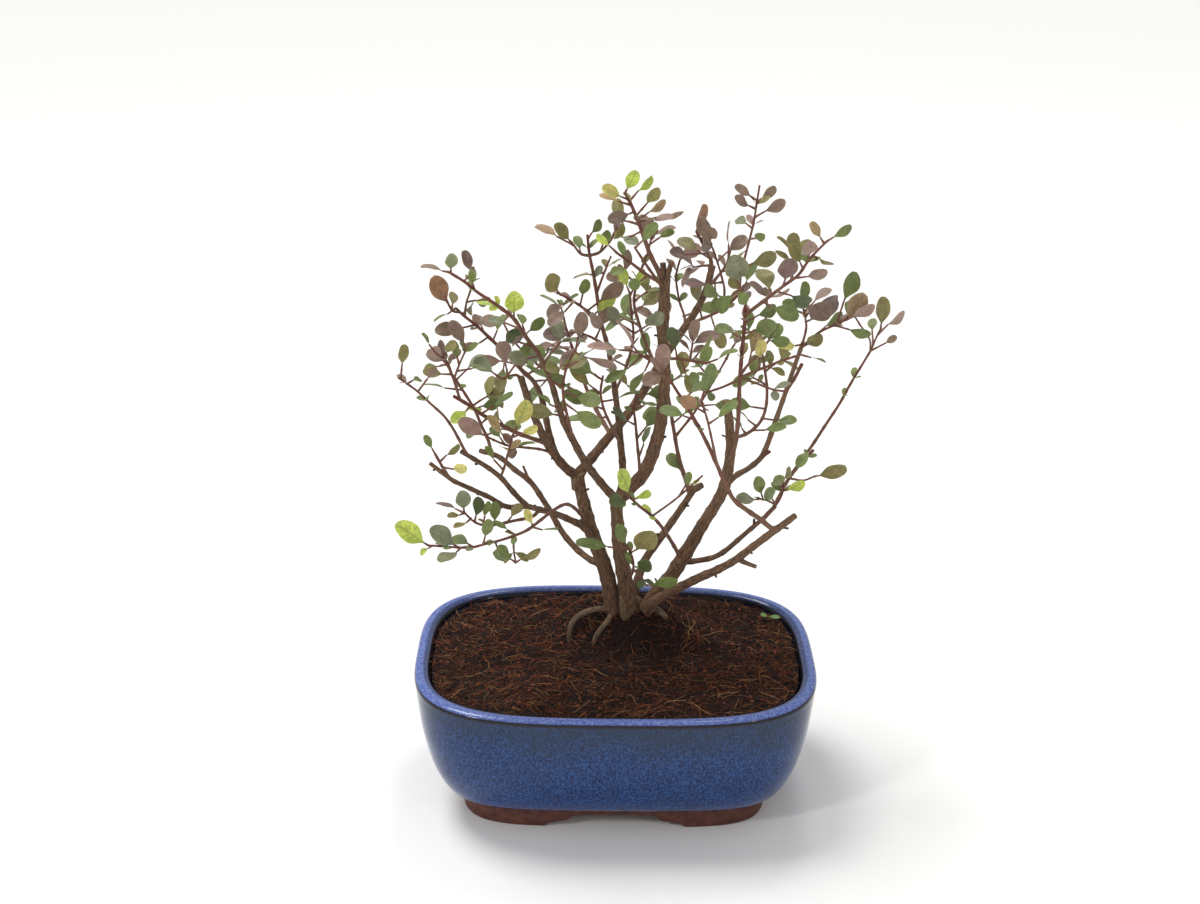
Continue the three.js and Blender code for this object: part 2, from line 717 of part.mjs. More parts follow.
        route: [
          [11, 168.5, 7], [10, 177, 14], [9, 186, 18], [8, 196, 16], [7, 205, 10], [8, 213, 4],
        ],
      },
    ],
    shoots: [
      [10, 179, 12, 186, 8, 1, 10.5, "green"],
      [9, 189, 13, 195, 10, 1, 11.5, "green"],
      [8, 196, 4, 198, 8, 1, 12.5, "dark"],
      [7, 204, 12, 206, 4, 1, 12.5, "green"],
      [8, 213, 4, 216, 0, 1, 15, "olive"],
      [8, 210, 13, 212, 10, 1, 10.5, "green"],
    ],
  },
  right_cross_limb: {
    colour: "green",
    stems: [
      {
        thick: [2.6, 1.3],
        route: [
          [79, 142, -26], [76, 142, -29], [70, 147, -32], [63, 152, -35], [57, 157, -37],
          [53, 164, -38], [49, 173, -39], [44, 184, -40], [39, 194, -41], [34, 203, -42],
          [29, 211, -43], [24, 219, -44],
        ],
      },
      { thick: [1.4, 0.9], route: [[48, 176, -39], [45, 188, -44], [42, 200, -48], [39, 209, -50]] },
    ],
    shoots: [
      [39, 209, 40, 213, -51, 1, 13.5, "green"],
      [41, 203, 37, 205, -56, 1, 10.5, "copper"],
      [43, 197, 47, 200, -50, 1, 11.5, "green"],
      [36, 199, 31, 201, -40, 1, 12.5, "green"],
      [30, 209, 34, 213, -38, 1, 10.5, "green"],
      [24, 219, 20, 223, -46, 3, 11.5, "bronze"],
      [62, 153, 59, 151, -34, 0, 0, "green"],
    ],
  },
  right_low_spray: {
    colour: "green",
    stems: [
      {
        thick: [1.8, 1.1],
        route: [
          [71, 147, 31], [74, 151, 25], [78, 156, 20], [80, 161, 18], [80, 166, 16],
        ],
      },
      { thick: [1.2, 0.9], route: [[77, 155, 21], [73, 157, 15], [68, 158, 11]] },
    ],
    shoots: [
      [80, 163, 79, 165, 12, 1, 11, "green", 0.2],
      [80, 162, 82.2, 162.7, 15, 1, 11, "lime", 0.7],
      [77, 155.5, 75.5, 157.5, 14, 1, 11, "green", 0.3],
      [69, 158, 67, 157.4, 10, 1, 11, "grey", 0.6],
      [71, 157.5, 70, 160.5, 10, 1, 10, "green", 0.3],
      [80, 166, 80.6, 168.5, 20, 1, 9, "olive", 0.8],
    ],
  },
  right_long_limb: {
    colour: "green",
    stems: [
      {
        thick: [1.9, 1.1],
        route: [
          [76.5, 153, 32], [79, 160, 33], [82, 167, 34], [87, 176, 34], [93, 186, 34], [99, 197, 33],
          [105, 208, 32], [110, 219, 31], [115, 229, 30], [118, 235, 29],
        ],
      },
      { thick: [1.6, 1.6], route: [[84, 171, 34], [89, 178, 40], [94, 184, 44]] },
      { thick: [1.1, 0.9], route: [[83, 169, 34], [90, 168, 30], [95, 170, 27]] },
      { thick: [1, 0.9], route: [[118, 235, 29], [117, 241, 26], [112, 248, 22]] },
      { thick: [1, 0.9], route: [[118, 235, 29], [120, 241, 31], [122, 246, 32]] },
    ],
    shoots: [
      [95, 170, 97, 170.4, 26, 1, 14, "olive", 0.5],
      [93, 186, 92, 183.5, 31, 1, 11, "green", 0.5],
      [86, 175, 88, 172.5, 42, 1, 8, "green"],
      [112, 248, 110, 251, 20, 1, 11, "green", 0.4],
      [122, 246, 122, 248, 32, 1, 15, "olive", 0.3],
      [121, 243, 125, 248, 38, 1, 11, "pink", 0.9],
      [118, 235, 125, 239, 24, 1, 6, "bronze", 0.1],
      [119, 238, 118, 245, 40, 1, 8, "green"],
    ],
  },
  right_light_limb: {
    colour: "bronze",
    stems: [
      {
        thick: [3, 2],
        route: [
          [51.5, 163, 12], [57, 170, 15], [63, 174, 18], [69, 180, 20], [72, 188, 21], [75, 199, 22],
          [78, 210, 23], [81, 221, 24], [84, 232, 24], [86, 239, 24],
        ],
      },
      { thick: [1.8, 1.8], route: [[69, 180, 20], [73, 183, 18]] },
      { thick: [1.8, 1.6], route: [[79, 214, 23], [83, 221, 20], [86, 228, 17]] },
      { thick: [1.4, 1], route: [[85, 236, 24], [92, 243, 16], [99, 247, 10], [105, 250, 6]] },
      { thick: [1.3, 0.9], route: [[86, 238, 24], [87, 247, 28], [85, 256, 30]] },
    ],
    shoots: [
      [104.5, 249.8, 106, 251.6, 5, 1, 16, "tan", 0.1],
      [87, 249, 89, 250, 22, 1, 19, "bronze", 0.3],
      [86.4, 252, 88, 253.6, 33, 1, 17, "purple", 0.6],
      [105, 250, 108, 251.2, 2, 1, 14, "pink", 0.8],
      [101, 248, 104, 260, 12, 1, 13, "green", 0.5],
      [103, 249, 111, 261, -12, 1, 9, "lime", 1.1],
      [93, 243.5, 96, 247, 20, 1, 13, "green", 0.4],
      [100, 247.5, 107, 245.5, 8, 1, 12, "green", 0.6],
      [86, 236.6, 88, 237.6, 20, 1, 12, "olive", 0.4],
      [85, 238, 82.4, 237, 18, 1, 14, "straw", 0.7],
      [84, 233, 90, 231.4, 27, 1, 9, "green"],
      [86, 253, 83, 254, 26, 1, 11, "green", 0.4],
      [85, 256, 85, 259, 30, 1, 10, "green"],
      [86, 254, 90, 259, 34, 1, 12, "bronze"],
    ],
  },
  right_upright_limb: {
    colour: "bronze",
    stems: [
      {
        thick: [2.4, 1.6],
        route: [
          [54, 178, 9], [56, 186, 3], [57, 198, -3], [57, 210, -7], [57, 222, -10], [57.5, 235, -12],
          [58, 248, -14], [58, 261, -16],
        ],
      },
      { thick: [1.4, 1.1], route: [[57, 221, -10], [66, 225, -18], [75, 229, -24], [83, 232, -28]] },
      { thick: [1.2, 0.9], route: [[57, 221, -10], [65, 218, -16], [73, 215, -22], [80, 214, -26]] },
      { thick: [1.3, 1], route: [[57, 220, -10], [49, 216, -14], [41, 213, -20]] },
      { thick: [1.5, 1], route: [[57, 222, -10], [61, 228, -4], [66, 233, 2]] },
      {
        thick: [1.9, 1],
        route: [
          [58, 252, -14], [64, 257, -18], [70, 262, -22], [76, 267, -26], [82, 272, -29],
          [87, 280, -32], [94, 288, -35],
        ],
      },
      {
        thick: [1.4, 0.9],
        route: [
          [58, 258, -15.5], [55, 266, -14], [56, 276, -13], [58, 286, -12], [60, 296, -12],
          [61, 305, -12], [62, 314, -12],
        ],
      },
    ],
    shoots: [
      [61, 307, 58, 309, -13, 1, 9, "bronze", 0.5],
      [61, 303, 57.6, 304.4, -16, 1, 10, "bronze", 0.7],
      [61.5, 306, 63, 308, -9, 1, 9, "bronze", 0.4],
      [60.5, 299, 65, 302, -8, 1, 11, "bronze", 0.5],
      [59, 294, 57, 296, -6, 1, 9, "grey", 0.3],
      [58, 289, 61, 289, -17, 1, 8, "green", 0.3],
      [55, 267, 54.6, 269, -20, 1, 17, "grey", 0.1],
      [55, 265, 52, 262, -10, 1, 12, "green", 0.4],
      [56, 275, 60, 277, -10, 1, 12, "olive", 0.4],
      [59.5, 254, 58, 257, -24, 1, 10, "green", 0.2],
      [70, 262, 69, 264.5, -18, 1, 15, "olive", 0.4],
      [75, 266, 76, 269.5, -31, 1, 14, "purple", 0.3],
      [79, 269.5, 79, 282, -22, 3, 11, "olive"],
      [84, 275, 82.6, 277.5, -29, 1, 11, "olive", 0.4],
      [80, 270, 86, 271, -34, 1, 11, "bronze", 0.4],
      [86, 279, 86.4, 281.5, -38, 1, 11, "pink", 0.3],
      [88, 281, 91, 280, -28, 1, 9, "olive", 1.1],
      [93, 287, 91, 290, -34, 1, 9, "tan", 0.6],
      [94, 288, 97, 290, -36, 1, 9, "green", 0.7],
      [66, 258.7, 71, 256, -24, 1, 12, "green"],
      [72, 264, 79, 262, -16, 1, 13, "dark", 0.4],
      [58, 248, 64, 252, -9, 1, 11, "green", 0.4],
      [57.8, 243, 63, 244, -20, 1, 12, "green"],
      [61, 228, 61.6, 233, 3, 1, 12, "tan", 0.5],
      [66, 233, 70, 240, 6, 3, 10, "green"],
      [66, 225, 66, 231, -22, 1, 11, "straw", 0.6],
      [41, 213, 38, 216, -24, 1, 11, "green"],
      [58, 240, 53, 243, -6, 1, 11, "green"],
    ],
  },
  right_inner_limb: {
    colour: "green",
    stems: [
      {
        thick: [1.9, 1.1],
        route: [
          [53.4, 190, 7], [59, 191, 15], [64, 194, 23], [68, 199, 31], [70, 206, 37], [70, 216, 43],
          [68, 228, 48], [66, 240, 52], [68, 252, 55],
        ],
      },
    ],
    shoots: [
      [61, 192, 59, 195, 22, 1, 9, "green"],
      [66, 196, 62, 199, 22, 1, 11.5, "green"],
      [65, 192, 70, 194, 18, 1, 10.5, "green"],
      [69, 200, 76, 199, 26, 1, 10.5, "green"],
      [70, 205, 63, 206, 32, 1, 12.5, "green"],
      [70, 217, 63, 221, 48, 2, 10.5, "green"],
      [69, 224, 76, 230, 54, 2, 11.5, "olive"],
      [66, 240, 60, 244, 58, 2, 11.5, "green"],
      [68, 252, 68, 261, 58, 2, 11.5, "bronze"],
    ],
  },
  rear_top_limb: {
    colour: "bronze",
    stems: [
      {
        thick: [2.4, 1.3],
        route: [
          [42, 273, 49.8], [41, 279, 48], [38, 285, 44], [34, 292, 40],
        ],
      },
    ],
    shoots: [
      [34, 292, 34.6, 294.4, 40, 1, 11, "copper", 0.9],
      [37, 287, 38.6, 288.4, 36, 1, 12, "pink", 0.1],
      [41, 280, 39.6, 282.4, 38, 1, 11, "bronze", 0.3],
      [41, 279, 35, 283, 52, 1, 12, "olive", 0.6],
      [40, 282, 30, 281, 30, 1, 10, "purple", 0.5],
      [41, 276, 33, 275, 54, 2, 12, "bronze"],
    ],
  },
  rear_top_shoot: {
    colour: "bronze",
    stems: [{ thick: [1.8, 1], route: [[39.4, 264, 49], [44, 270, 53], [48, 276, 57], [50, 283, 60]] }],
    shoots: [
      [49, 280, 49, 286, 62, 1, 12.5, "bronze"],
      [46, 273, 52, 274, 64, 3, 11.5, "olive"],
      [43, 269, 44, 262, 60, 1, 10.5, "green"],
    ],
  },
  rear_front_limb: {
    colour: "bronze",
    stems: [
      {
        thick: [1.8, 1],
        route: [
          [31, 247.5, 46], [38, 250, 38], [46, 254, 30], [52, 259, 24], [56, 264, 18],
        ],
      },
      { thick: [1.3, 0.9], route: [[46, 254, 30], [48, 263, 26], [46, 272, 22], [43, 281, 18]] },
    ],
    shoots: [
      [43, 281, 41, 286, 16, 1, 13.5, "bronze"],
      [44, 278, 49, 283, 24, 1, 11.5, "bronze"],
      [47, 268, 40, 267, 18, 1, 12.5, "purple"],
      [56, 264, 58, 268, 14, 1, 12.5, "green"],
      [38, 250, 36, 258, 30, 1, 12.5, "olive"],
      [42, 252, 44, 246, 24, 1, 12.5, "olive"],
      [52, 259, 46, 261, 14, 1, 12.5, "green"],
    ],
  },
  diagonal_low_limb: {
    colour: "bronze",
    stems: [
      {
        thick: [1.9, 1.1],
        route: [
          [17.5, 225, 38], [13, 235, 44], [9, 246, 48], [6, 258, 50], [8, 270, 51], [12, 282, 50],
        ],
      },
    ],
    shoots: [
      [9, 246, 2, 250, 54, 2, 11.5, "green"],
      [6, 258, 12, 263, 58, 2, 11.5, "olive"],
      [7, 266, 1, 272, 48, 2, 10.5, "bronze"],
      [12, 282, 14, 290, 50, 2, 11.5, "bronze"],
    ],
  },
  diagonal_high_limb: {
    colour: "bronze",
    stems: [
      {
        thick: [1.6, 1],
        route: [
          [25, 237.5, 42.5], [30, 248, 54], [27, 259, 62], [25, 270, 66],
        ],
      },
    ],
    shoots: [
      [29, 251, 36, 254, 64, 1, 11.5, "green"],
      [27, 259, 20, 263, 68, 2, 11.5, "green"],
      [25, 270, 27, 279, 68, 2, 11.5, "bronze"],
    ],
  },
};

const COLOURS = {
  green: 0x4c6b35,
  dark: 0x33482c,
  olive: 0x6d6b35,
  lime: 0x9ea53c,
  straw: 0xb5a65a,
  grey: 0x6b7a62,
  bronze: 0x6f4a3c,
  copper: 0x8a5230,
  purple: 0x4f3640,
  pink: 0x94706a,
  tan: 0x9a7c4e,
  bark: 0x5d4a3a,
  glaze: 0x33529a,
  compost: 0x3a2418,
  screen: 0x2b2b2b,
};

// A repeatable run of numbers between 0 and 1.
class Draws {
  constructor(seed) {
    this.state = seed;
  }

  next() {
    this.state = (this.state * 1664525 + 1013904223) % 4294967296;
    return this.state / 4294967296;
  }

  between(low, high) {
    return low + (high - low) * this.next();
  }
}

function material(colour) {
  return new THREE.MeshStandardMaterial({ color: COLOURS[colour], side: THREE.DoubleSide });
}

// A closed solid from a list of points and a list of triangles.
function solid(points, triangles) {
  const mesh = new wasm.Mesh({
    numProp: 3,
    vertProperties: new Float32Array(points.flat()),
    triVerts: new Uint32Array(triangles.flat()),
  });
  mesh.merge();
  return new wasm.Manifold(mesh);
}

// Skins a stack of closed rings, each a list of [x, y, z], and caps both ends.
function loft(rings) {
  const count = rings[0].length;
  const triangles = [];
  for (let row = 0; row + 1 < rings.length; row += 1) {
    for (let i = 0; i < count; i += 1) {
      const j = (i + 1) % count;
      const low = row * count;
      const high = low + count;
      triangles.push([low + i, low + j, high + j], [low + i, high + j, high + i]);
    }
  }
  const top = (rings.length - 1) * count;
  for (let i = 1; i + 1 < count; i += 1) {
    triangles.push([0, i + 1, i], [top, top + i, top + i + 1]);
  }
  return solid(rings.flat(), triangles);
}

// The main piece of a solid that cutting may have left with loose scraps.
function largest(body) {
  const pieces = body.decompose();
  pieces.sort((a, b) => b.volume() - a.volume());
  return pieces[0];
}

function toMesh(name, body, colour) {
  const data = body.getMesh();
  const geometry = new THREE.BufferGeometry();
  const positions = new Float32Array(data.vertProperties);
  geometry.setAttribute("position", new THREE.BufferAttribute(positions, 3));
  geometry.setIndex(new THREE.BufferAttribute(new Uint32Array(data.triVerts), 1));
  const welded = mergeVertices(geometry, 1e-5);
  welded.computeVertexNormals();
  const mesh = new THREE.Mesh(welded, material(colour));
  mesh.name = name;
  return mesh;
}

// Pot

// One level outline of the pot, a superellipse that is squarer towards the foot.
function potRing(height, inset, squareness) {
  const halfLength = POT_LENGTH / 2 - inset;
  const halfDepth = POT_DEPTH / 2 - inset;
  const power = 2 / squareness;
  const ring = [];
  for (let i = 0; i < PLAN_POINTS; i += 1) {
    const turn = (2 * Math.PI * (i + 0.5)) / PLAN_POINTS;
    const c = Math.cos(turn);
    const s = Math.sin(turn);
    ring.push([
      halfLength * Math.sign(c) * Math.abs(c) ** power,
      halfDepth * Math.sign(s) * Math.abs(s) ** power,
      height,
    ]);
  }
  return ring;
}

function squarenessAt(height) {
  return FOOT_SQUARENESS + (RIM_SQUARENESS - FOOT_SQUARENESS) * (height / POT_HEIGHT);
}

function potLoft(profile) {
  return loft(profile.map(([height, inset]) => potRing(height, inset, squarenessAt(height))));
}

// The outside from the ground up, and the inside from the floor up, as [height, inset].
const POT_OUTSIDE = [
  [0, FOOT_INSET],
  [FOOT_HEIGHT, FOOT_INSET - 2],
  [FOOT_HEIGHT + 0.2, FOOT_INSET - 4.2],
  [15, 15.6],
  [23, 10.8],
  [33, 7],
  [48, 3.3],
  [64, 1],
  [POT_HEIGHT - RIM_ROUND, 0],
  [POT_HEIGHT, RIM_ROUND],
];
const POT_INSIDE = [
  [FLOOR_TOP, 31],
  [17, 24.5],
  [26, 18],
  [44, 11.5],
  [64, 8.6],
  [POT_HEIGHT - RIM_ROUND, RIM_WIDTH],
  [POT_HEIGHT, RIM_WIDTH - RIM_ROUND],
  [POT_HEIGHT + 1, RIM_WIDTH - RIM_ROUND],
];

// Half of an arch under a side, as shares of its half width and of its height.
const ARCH_OUTLINE = [
  [1, 0],
  [0.96, 0.22],
  [0.84, 0.42],
  [0.68, 0.48],
  [0.6, 0.82],
  [0.5, 1],
];

function archCutter(width, alongY) {
  const points = ARCH_OUTLINE.map(([x, z]) => [(x * width) / 2, z * ARCH_HEIGHT]);
  points[0][1] = -1;
  const outline = [...points, ...points.map(([x, z]) => [-x, z]).reverse()];
  const reach = POT_LENGTH;
  const rings = [-reach, reach].map((far) =>
    outline.map(([x, z]) => (alongY ? [x, -far, z] : [far, x, z])),
  );
  return loft(rings);
}

function buildPot() {
  let pot = potLoft(POT_OUTSIDE).subtract(potLoft(POT_INSIDE));
  const underInset = FOOT_INSET + FOOT_WALL;
  const under = loft([-1, FLOOR_UNDER].map((z) => potRing(z, underInset, FOOT_SQUARENESS)));
  pot = pot.subtract(under);
  pot = pot.subtract(archCutter(ARCH_LONG, true));
  pot = pot.subtract(archCutter(ARCH_SHORT, false));
  for (const side of [-1, 1]) {
    const drain = wasm.Manifold.cylinder(FLOOR_TOP + 2, DRAIN_RADIUS, DRAIN_RADIUS, 20);
    pot = pot.subtract(drain.translate([side * DRAIN_SPREAD, 0, 1]));
  }
  return pot;
}

function box(width, depth, height, x, y, z) {
  return wasm.Manifold.cube([width, depth, height]).translate([x - width / 2, y - depth / 2, z]);
}

function buildScreen(side) {
  const x = side * DRAIN_SPREAD;
  let screen = box(SCREEN_SIDE, SCREEN_SIDE, SCREEN_THICK, x, 0, FLOOR_TOP + GAP);
  const pitch = SCREEN_HOLE + SCREEN_BAR;
  for (let row = 0; row < SCREEN_HOLES; row += 1) {
    for (let column = 0; column < SCREEN_HOLES; column += 1) {
      const dx = (column - (SCREEN_HOLES - 1) / 2) * pitch;
      const dy = (row - (SCREEN_HOLES - 1) / 2) * pitch;
      screen = screen.subtract(box(SCREEN_HOLE, SCREEN_HOLE, 20, x + dx, dy, FLOOR_TOP - 5));
    }
  }
  return screen;
}

// Wood

// A tapering stem of straight lengths along a route, with flat ends.
function tube(route, radii, sides) {
  const rings = [];
  let across = new THREE.Vector3(0.31, 0.9, 0.22);
  for (let i = 0; i < route.length; i += 1) {
    const before = route[Math.max(i - 1, 0)];
    const after = route[Math.min(i + 1, route.length - 1)];
    const along = after.clone().sub(before).normalize();
    across = across.clone().addScaledVector(along, -across.dot(along)).normalize();
    const third = along.clone().cross(across);
    const ring = [];
    for (let k = 0; k < sides; k += 1) {
      const turn = (2 * Math.PI * k) / sides;
      const point = route[i]
        .clone()
        .addScaledVector(across, radii[i] * Math.cos(turn))
        .addScaledVector(third, radii[i] * Math.sin(turn));
      ring.push(point.toArray());
    }
    rings.push(ring);
  }
  return loft(rings);
}

function sidesFor(thick) {
  if (thick > 5) return 7;
  if (thick > 3) return 5;
  return thick > 1.7 ? 4 : 3;
}

// Radii along a route, from the diameters at its two ends.
function taper(route, thick, growth = 0) {
  const steps = [0];
  for (let i = 1; i < route.length; i += 1) {
    steps.push(steps[i - 1] + route[i].distanceTo(route[i - 1]));
  }
  const total = steps[steps.length - 1];
  return steps.map((step) => (thick[0] + (thick[1] - thick[0]) * (step / total)) / 2 + growth);
}

function stemSolid(stem, place, growth = 0) {
  const route = stem.route.map(place);
  const last = route.length - 1;
  const lead = route[0].clone().sub(route[1]).normalize();
  const tail = route[last].clone().sub(route[last - 1]).normalize();
  route[0].addScaledVector(lead, growth);
  route[last].addScaledVector(tail, growth);
  return tube(route, taper(route, stem.thick, growth), sidesFor(stem.thick[0]));
}

function potFrame([x, y, z]) {
  return new THREE.Vector3(x, y, z);
}

// The root crown: a squat plug that narrows upwards, with its foot deep in the compost.
function crownSolid(growth) {
  const levels = [
    [-1, 0.55],
    [-0.4, 0.85],
    [0, 1],
    [0.3, 0.86],
    [0.47, 0.55],
  ];
  const rings = levels.map(([level, wide]) => {
    const ring = [];
    for (let i = 0; i < 10; i += 1) {
      const turn = (2 * Math.PI * i) / 10;
      ring.push([
        CROWN.x + ((CROWN.across / 2) * wide + growth) * Math.cos(turn),
        CROWN.y + ((CROWN.deep / 2) * wide + growth) * Math.sin(turn),
        CROWN.z + level * CROWN.tall + growth * Math.sign(level),
      ]);
    }
    return ring;
  });
  return loft(rings);
}

// All the bare wood as one body. With a growth it is the same body made that much fatter, which
// clears the compost and the limbs from it.
function buildTrunk(growth = 0) {
  const pieces = [crownSolid(growth)];
  for (const stem of Object.values(BARE_STEMS)) {
    pieces.push(stemSolid(stem, seen, growth));
  }
  for (const root of ROOTS) {
    pieces.push(stemSolid(root, potFrame, growth));
  }
  return largest(wasm.Manifold.union(pieces)).asOriginal().simplify(growth > 0 ? 0 : FINEST);
}

// Compost

function soilHeight(x, y) {
  const away = ((x - MOUND.x) / MOUND.wide) ** 2 + ((y - MOUND.y) / MOUND.deep) ** 2;
  return SOIL_EDGE + MOUND.height * Math.exp(-(away ** MOUND.steepness));
}

// The inside wall's inset at a height, from the pot's own profile.
function insideInset(height) {
  for (let i = 0; i + 1 < POT_INSIDE.length; i += 1) {
    const [lowZ, lowInset] = POT_INSIDE[i];
    const [highZ, highInset] = POT_INSIDE[i + 1];
    if (height <= highZ) {
      return lowInset + ((highInset - lowInset) * (height - lowZ)) / (highZ - lowZ);
    }
  }
  return RIM_WIDTH;
}

function buildSoil(trunkRoom) {
  const draws = new Draws(SEED);
  const bottom = FLOOR_TOP + GAP;
  const rings = [];
  const wallRing = (height) => potRing(height, insideInset(height) + GAP * 2, squarenessAt(height));
  for (const height of [bottom, 17, 26, SOIL_EDGE]) {
    rings.push(wallRing(height));
  }
  const edge = wallRing(SOIL_EDGE);
  for (let ring = 1; ring < SOIL_RINGS; ring += 1) {
    const share = 1 - (ring / SOIL_RINGS) ** 0.8;
    const level = edge.map(([x, y]) => {
      const px = MOUND.x + (x - MOUND.x) * share;
      const py = MOUND.y + (y - MOUND.y) * share;
      return [px, py, soilHeight(px, py) + draws.between(-0.8, 0.8)];
    });
    rings.push(level);
  }
  let soil = loft(rings).subtract(trunkRoom);
  const wide = SCREEN_SIDE + 2 * GAP;
  const tall = SCREEN_THICK + 2 * GAP + 5;
  for (const side of [-1, 1]) {
    soil = soil.subtract(box(wide, wide, tall, side * DRAIN_SPREAD, 0, FLOOR_TOP + GAP - 5));
  }
  return largest(soil);
}

// Leaves

// The nearest point of a limb's stems to a seen place, as [x, z, depth].
function onStems(stems, x, z) {
  let best = null;
  let nearest = Infinity;
  for (const stem of stems) {
    for (let i = 0; i + 1 < stem.route.length; i += 1) {
      const a = stem.route[i];
      const b = stem.route[i + 1];
      const dx = b[0] - a[0];
      const dz = b[1] - a[1];
      const whole = dx * dx + dz * dz;
      const share = THREE.MathUtils.clamp(((x - a[0]) * dx + (z - a[1]) * dz) / whole, 0, 1);
      const point = [a[0] + dx * share, a[1] + dz * share, a[2] + (b[2] - a[2]) * share];
      const away = Math.hypot(point[0] - x, point[1] - z);
      if (away < nearest) {
        nearest = away;
        best = point;
      }
    }
  }
  return best;
}

// The middle surface of one leaf: its root inside the wood, three points across its widest part
// and two at its blunt tip. A leaf on a stalk of its own has a wider root, and two points more
// where the blade begins.
function leafPoints(leaf) {
  const { root, base, along, face, length, width, fold, stalked } = leaf;
  const side = along.clone().cross(face);
  const at = (share, out, lift) =>
    base
      .clone()
      .addScaledVector(along, share * length)
      .addScaledVector(side, out)
      .addScaledVector(face, lift);
  const half = width / 2;
  const bow = BLADE_ARCH * length;
  const points = [
    root.clone(),
    at(WIDEST_AT, -half, bow + fold * half),
    at(WIDEST_AT, 0, bow),
    at(WIDEST_AT, half, bow + fold * half),
    at(1, -half * TIP_WIDTH, 0),
    at(1, half * TIP_WIDTH, 0),
  ];
  if (stalked) {
    points[0] = root.clone().addScaledVector(side, -STALK_WIDTH / 2);
    points.push(at(0, -STALK_WIDTH / 2, 0), at(0, STALK_WIDTH / 2, 0));
    points.push(root.clone().addScaledVector(side, STALK_WIDTH / 2));
  }
  return points;
}

const BLADE_END = [
  [1, 2, 4],
  [2, 5, 4],
  [2, 3, 5],
];
const PLAIN_LEAF = {
  triangles: [[0, 3, 2], [0, 2, 1], ...BLADE_END],
  edge: [0, 3, 5, 4, 1],
};
const STALKED_LEAF = {
  triangles: [[0, 8, 7], [0, 7, 6], [6, 7, 2], [7, 3, 2], [6, 2, 1], ...BLADE_END],
  edge: [0, 8, 7, 3, 5, 4, 1, 6],
};

function leafForm(points) {
  return points.length > 6 ? STALKED_LEAF : PLAIN_LEAF;
}

function leafSolid(leaf) {
  const middle = leafPoints(leaf);
  const up = leaf.face.clone().multiplyScalar(BLADE_THICK / 2);
  const top = middle.map((point) => point.clone().add(up).toArray());
  const bottom = middle.map((point) => point.clone().sub(up).toArray());
  const count = middle.length;
  const { triangles, edge } = leafForm(middle);
  const skin = [];
  for (const [a, b, c] of triangles) {
    skin.push([a, b, c], [a + count, c + count, b + count]);
  }
  for (let i = 0; i < edge.length; i += 1) {
    const a = edge[i];
    const b = edge[(i + 1) % edge.length];
    skin.push([b, a, a + count], [b, a + count, b + count]);
  }
  return solid([...top, ...bottom], skin);
}

// Points round a leaf's edge and down its middle, no further apart than the leaf gap needs.
function leafSamples(points) {
  const samples = [points[2]];
  const { edge } = leafForm(points);
  for (let i = 0; i < edge.length; i += 1) {
    const a = points[edge[i]];
    const b = points[edge[(i + 1) % edge.length]];
    const steps = Math.max(1, Math.ceil(a.distanceTo(b) / 2.6));
    for (let k = 0; k < steps; k += 1) {
      samples.push(a.clone().lerp(b, k / steps));
    }
  }
  return samples;
}

const scratchTriangle = new THREE.Triangle();
const scratchPoint = new THREE.Vector3();

function distanceToLeaf(point, points) {
  let nearest = Infinity;
  for (const [a, b, c] of leafForm(points).triangles) {
    scratchTriangle.set(points[a], points[b], points[c]);
    scratchTriangle.closestPointToPoint(point, scratchPoint);
    nearest = Math.min(nearest, scratchPoint.distanceTo(point));
  }
  return nearest;
}

// Balls strung along a stem, close enough together to stand for it.
function stemBalls(route, radii) {
  const balls = [];
  for (let i = 0; i + 1 < route.length; i += 1) {
    const steps = Math.max(1, Math.ceil(route[i].distanceTo(route[i + 1]) / 2.5));
    for (let k = 0; k <= steps; k += 1) {
      const share = k / steps;
      balls.push({
        centre: route[i].clone().lerp(route[i + 1], share),
        radius: radii[i] + (radii[i + 1] - radii[i]) * share,
      });
    }
  }
  return balls;
}

// What stands in the way of a leaf: the wood of every limb and the leaves set so far.
class Crowd {
  constructor() {
    this.wood = [];
    this.leaves = [];
  }

  addStem(owner, route, thick, shoot = null) {
    for (const ball of stemBalls(route, taper(route, thick))) {
      this.wood.push({ owner, shoot, ...ball });
    }
  }

  isFree(owner, leaf, shoot) {
    const points = leafPoints(leaf);
    const middle = points[2];
    const reach = leaf.base.distanceTo(leaf.root) + leaf.length;
    for (const ball of this.wood) {
      if (ball.centre.distanceTo(middle) > reach + ball.radius + WOOD_GAP) continue;
      const own = ball.owner === owner;
      if (ball.shoot !== null && ball.shoot === shoot) continue;
      if (own && ball.centre.distanceTo(leaf.base) < leaf.length * 0.4) continue;
      if (own && ball.centre.distanceTo(leaf.root) < 3) continue;
      const room = ball.radius + (own ? OWN_GAP / 2 : WOOD_GAP);
      if (distanceToLeaf(ball.centre, points) < room) return false;
    }
    const samples = leafSamples(points);
    for (const other of this.leaves) {
      if (other.points[2].distanceTo(middle) > reach + other.length) continue;
      const own = other.owner === owner;
      const room = own ? OWN_GAP : LEAF_GAP;
      for (const sample of samples) {
        if (own && sample.distanceTo(leaf.base) < leaf.length * 0.35) continue;
        if (own && sample.distanceTo(leaf.root) < 2) continue;
        if (distanceToLeaf(sample, other.points) < room) return false;
      }
      for (const sample of other.samples) {
        if (own && sample.distanceTo(leaf.base) < leaf.length * 0.35) continue;
        if (own && sample.distanceTo(leaf.root) < 2) continue;
        if (distanceToLeaf(sample, points) < room) return false;
      }
    }
    return true;
  }

  add(owner, leaf) {
    const points = leafPoints(leaf);
    const length = leaf.base.distanceTo(leaf.root) + leaf.length;
    this.leaves.push({ owner, points, samples: leafSamples(points), length });
  }
}

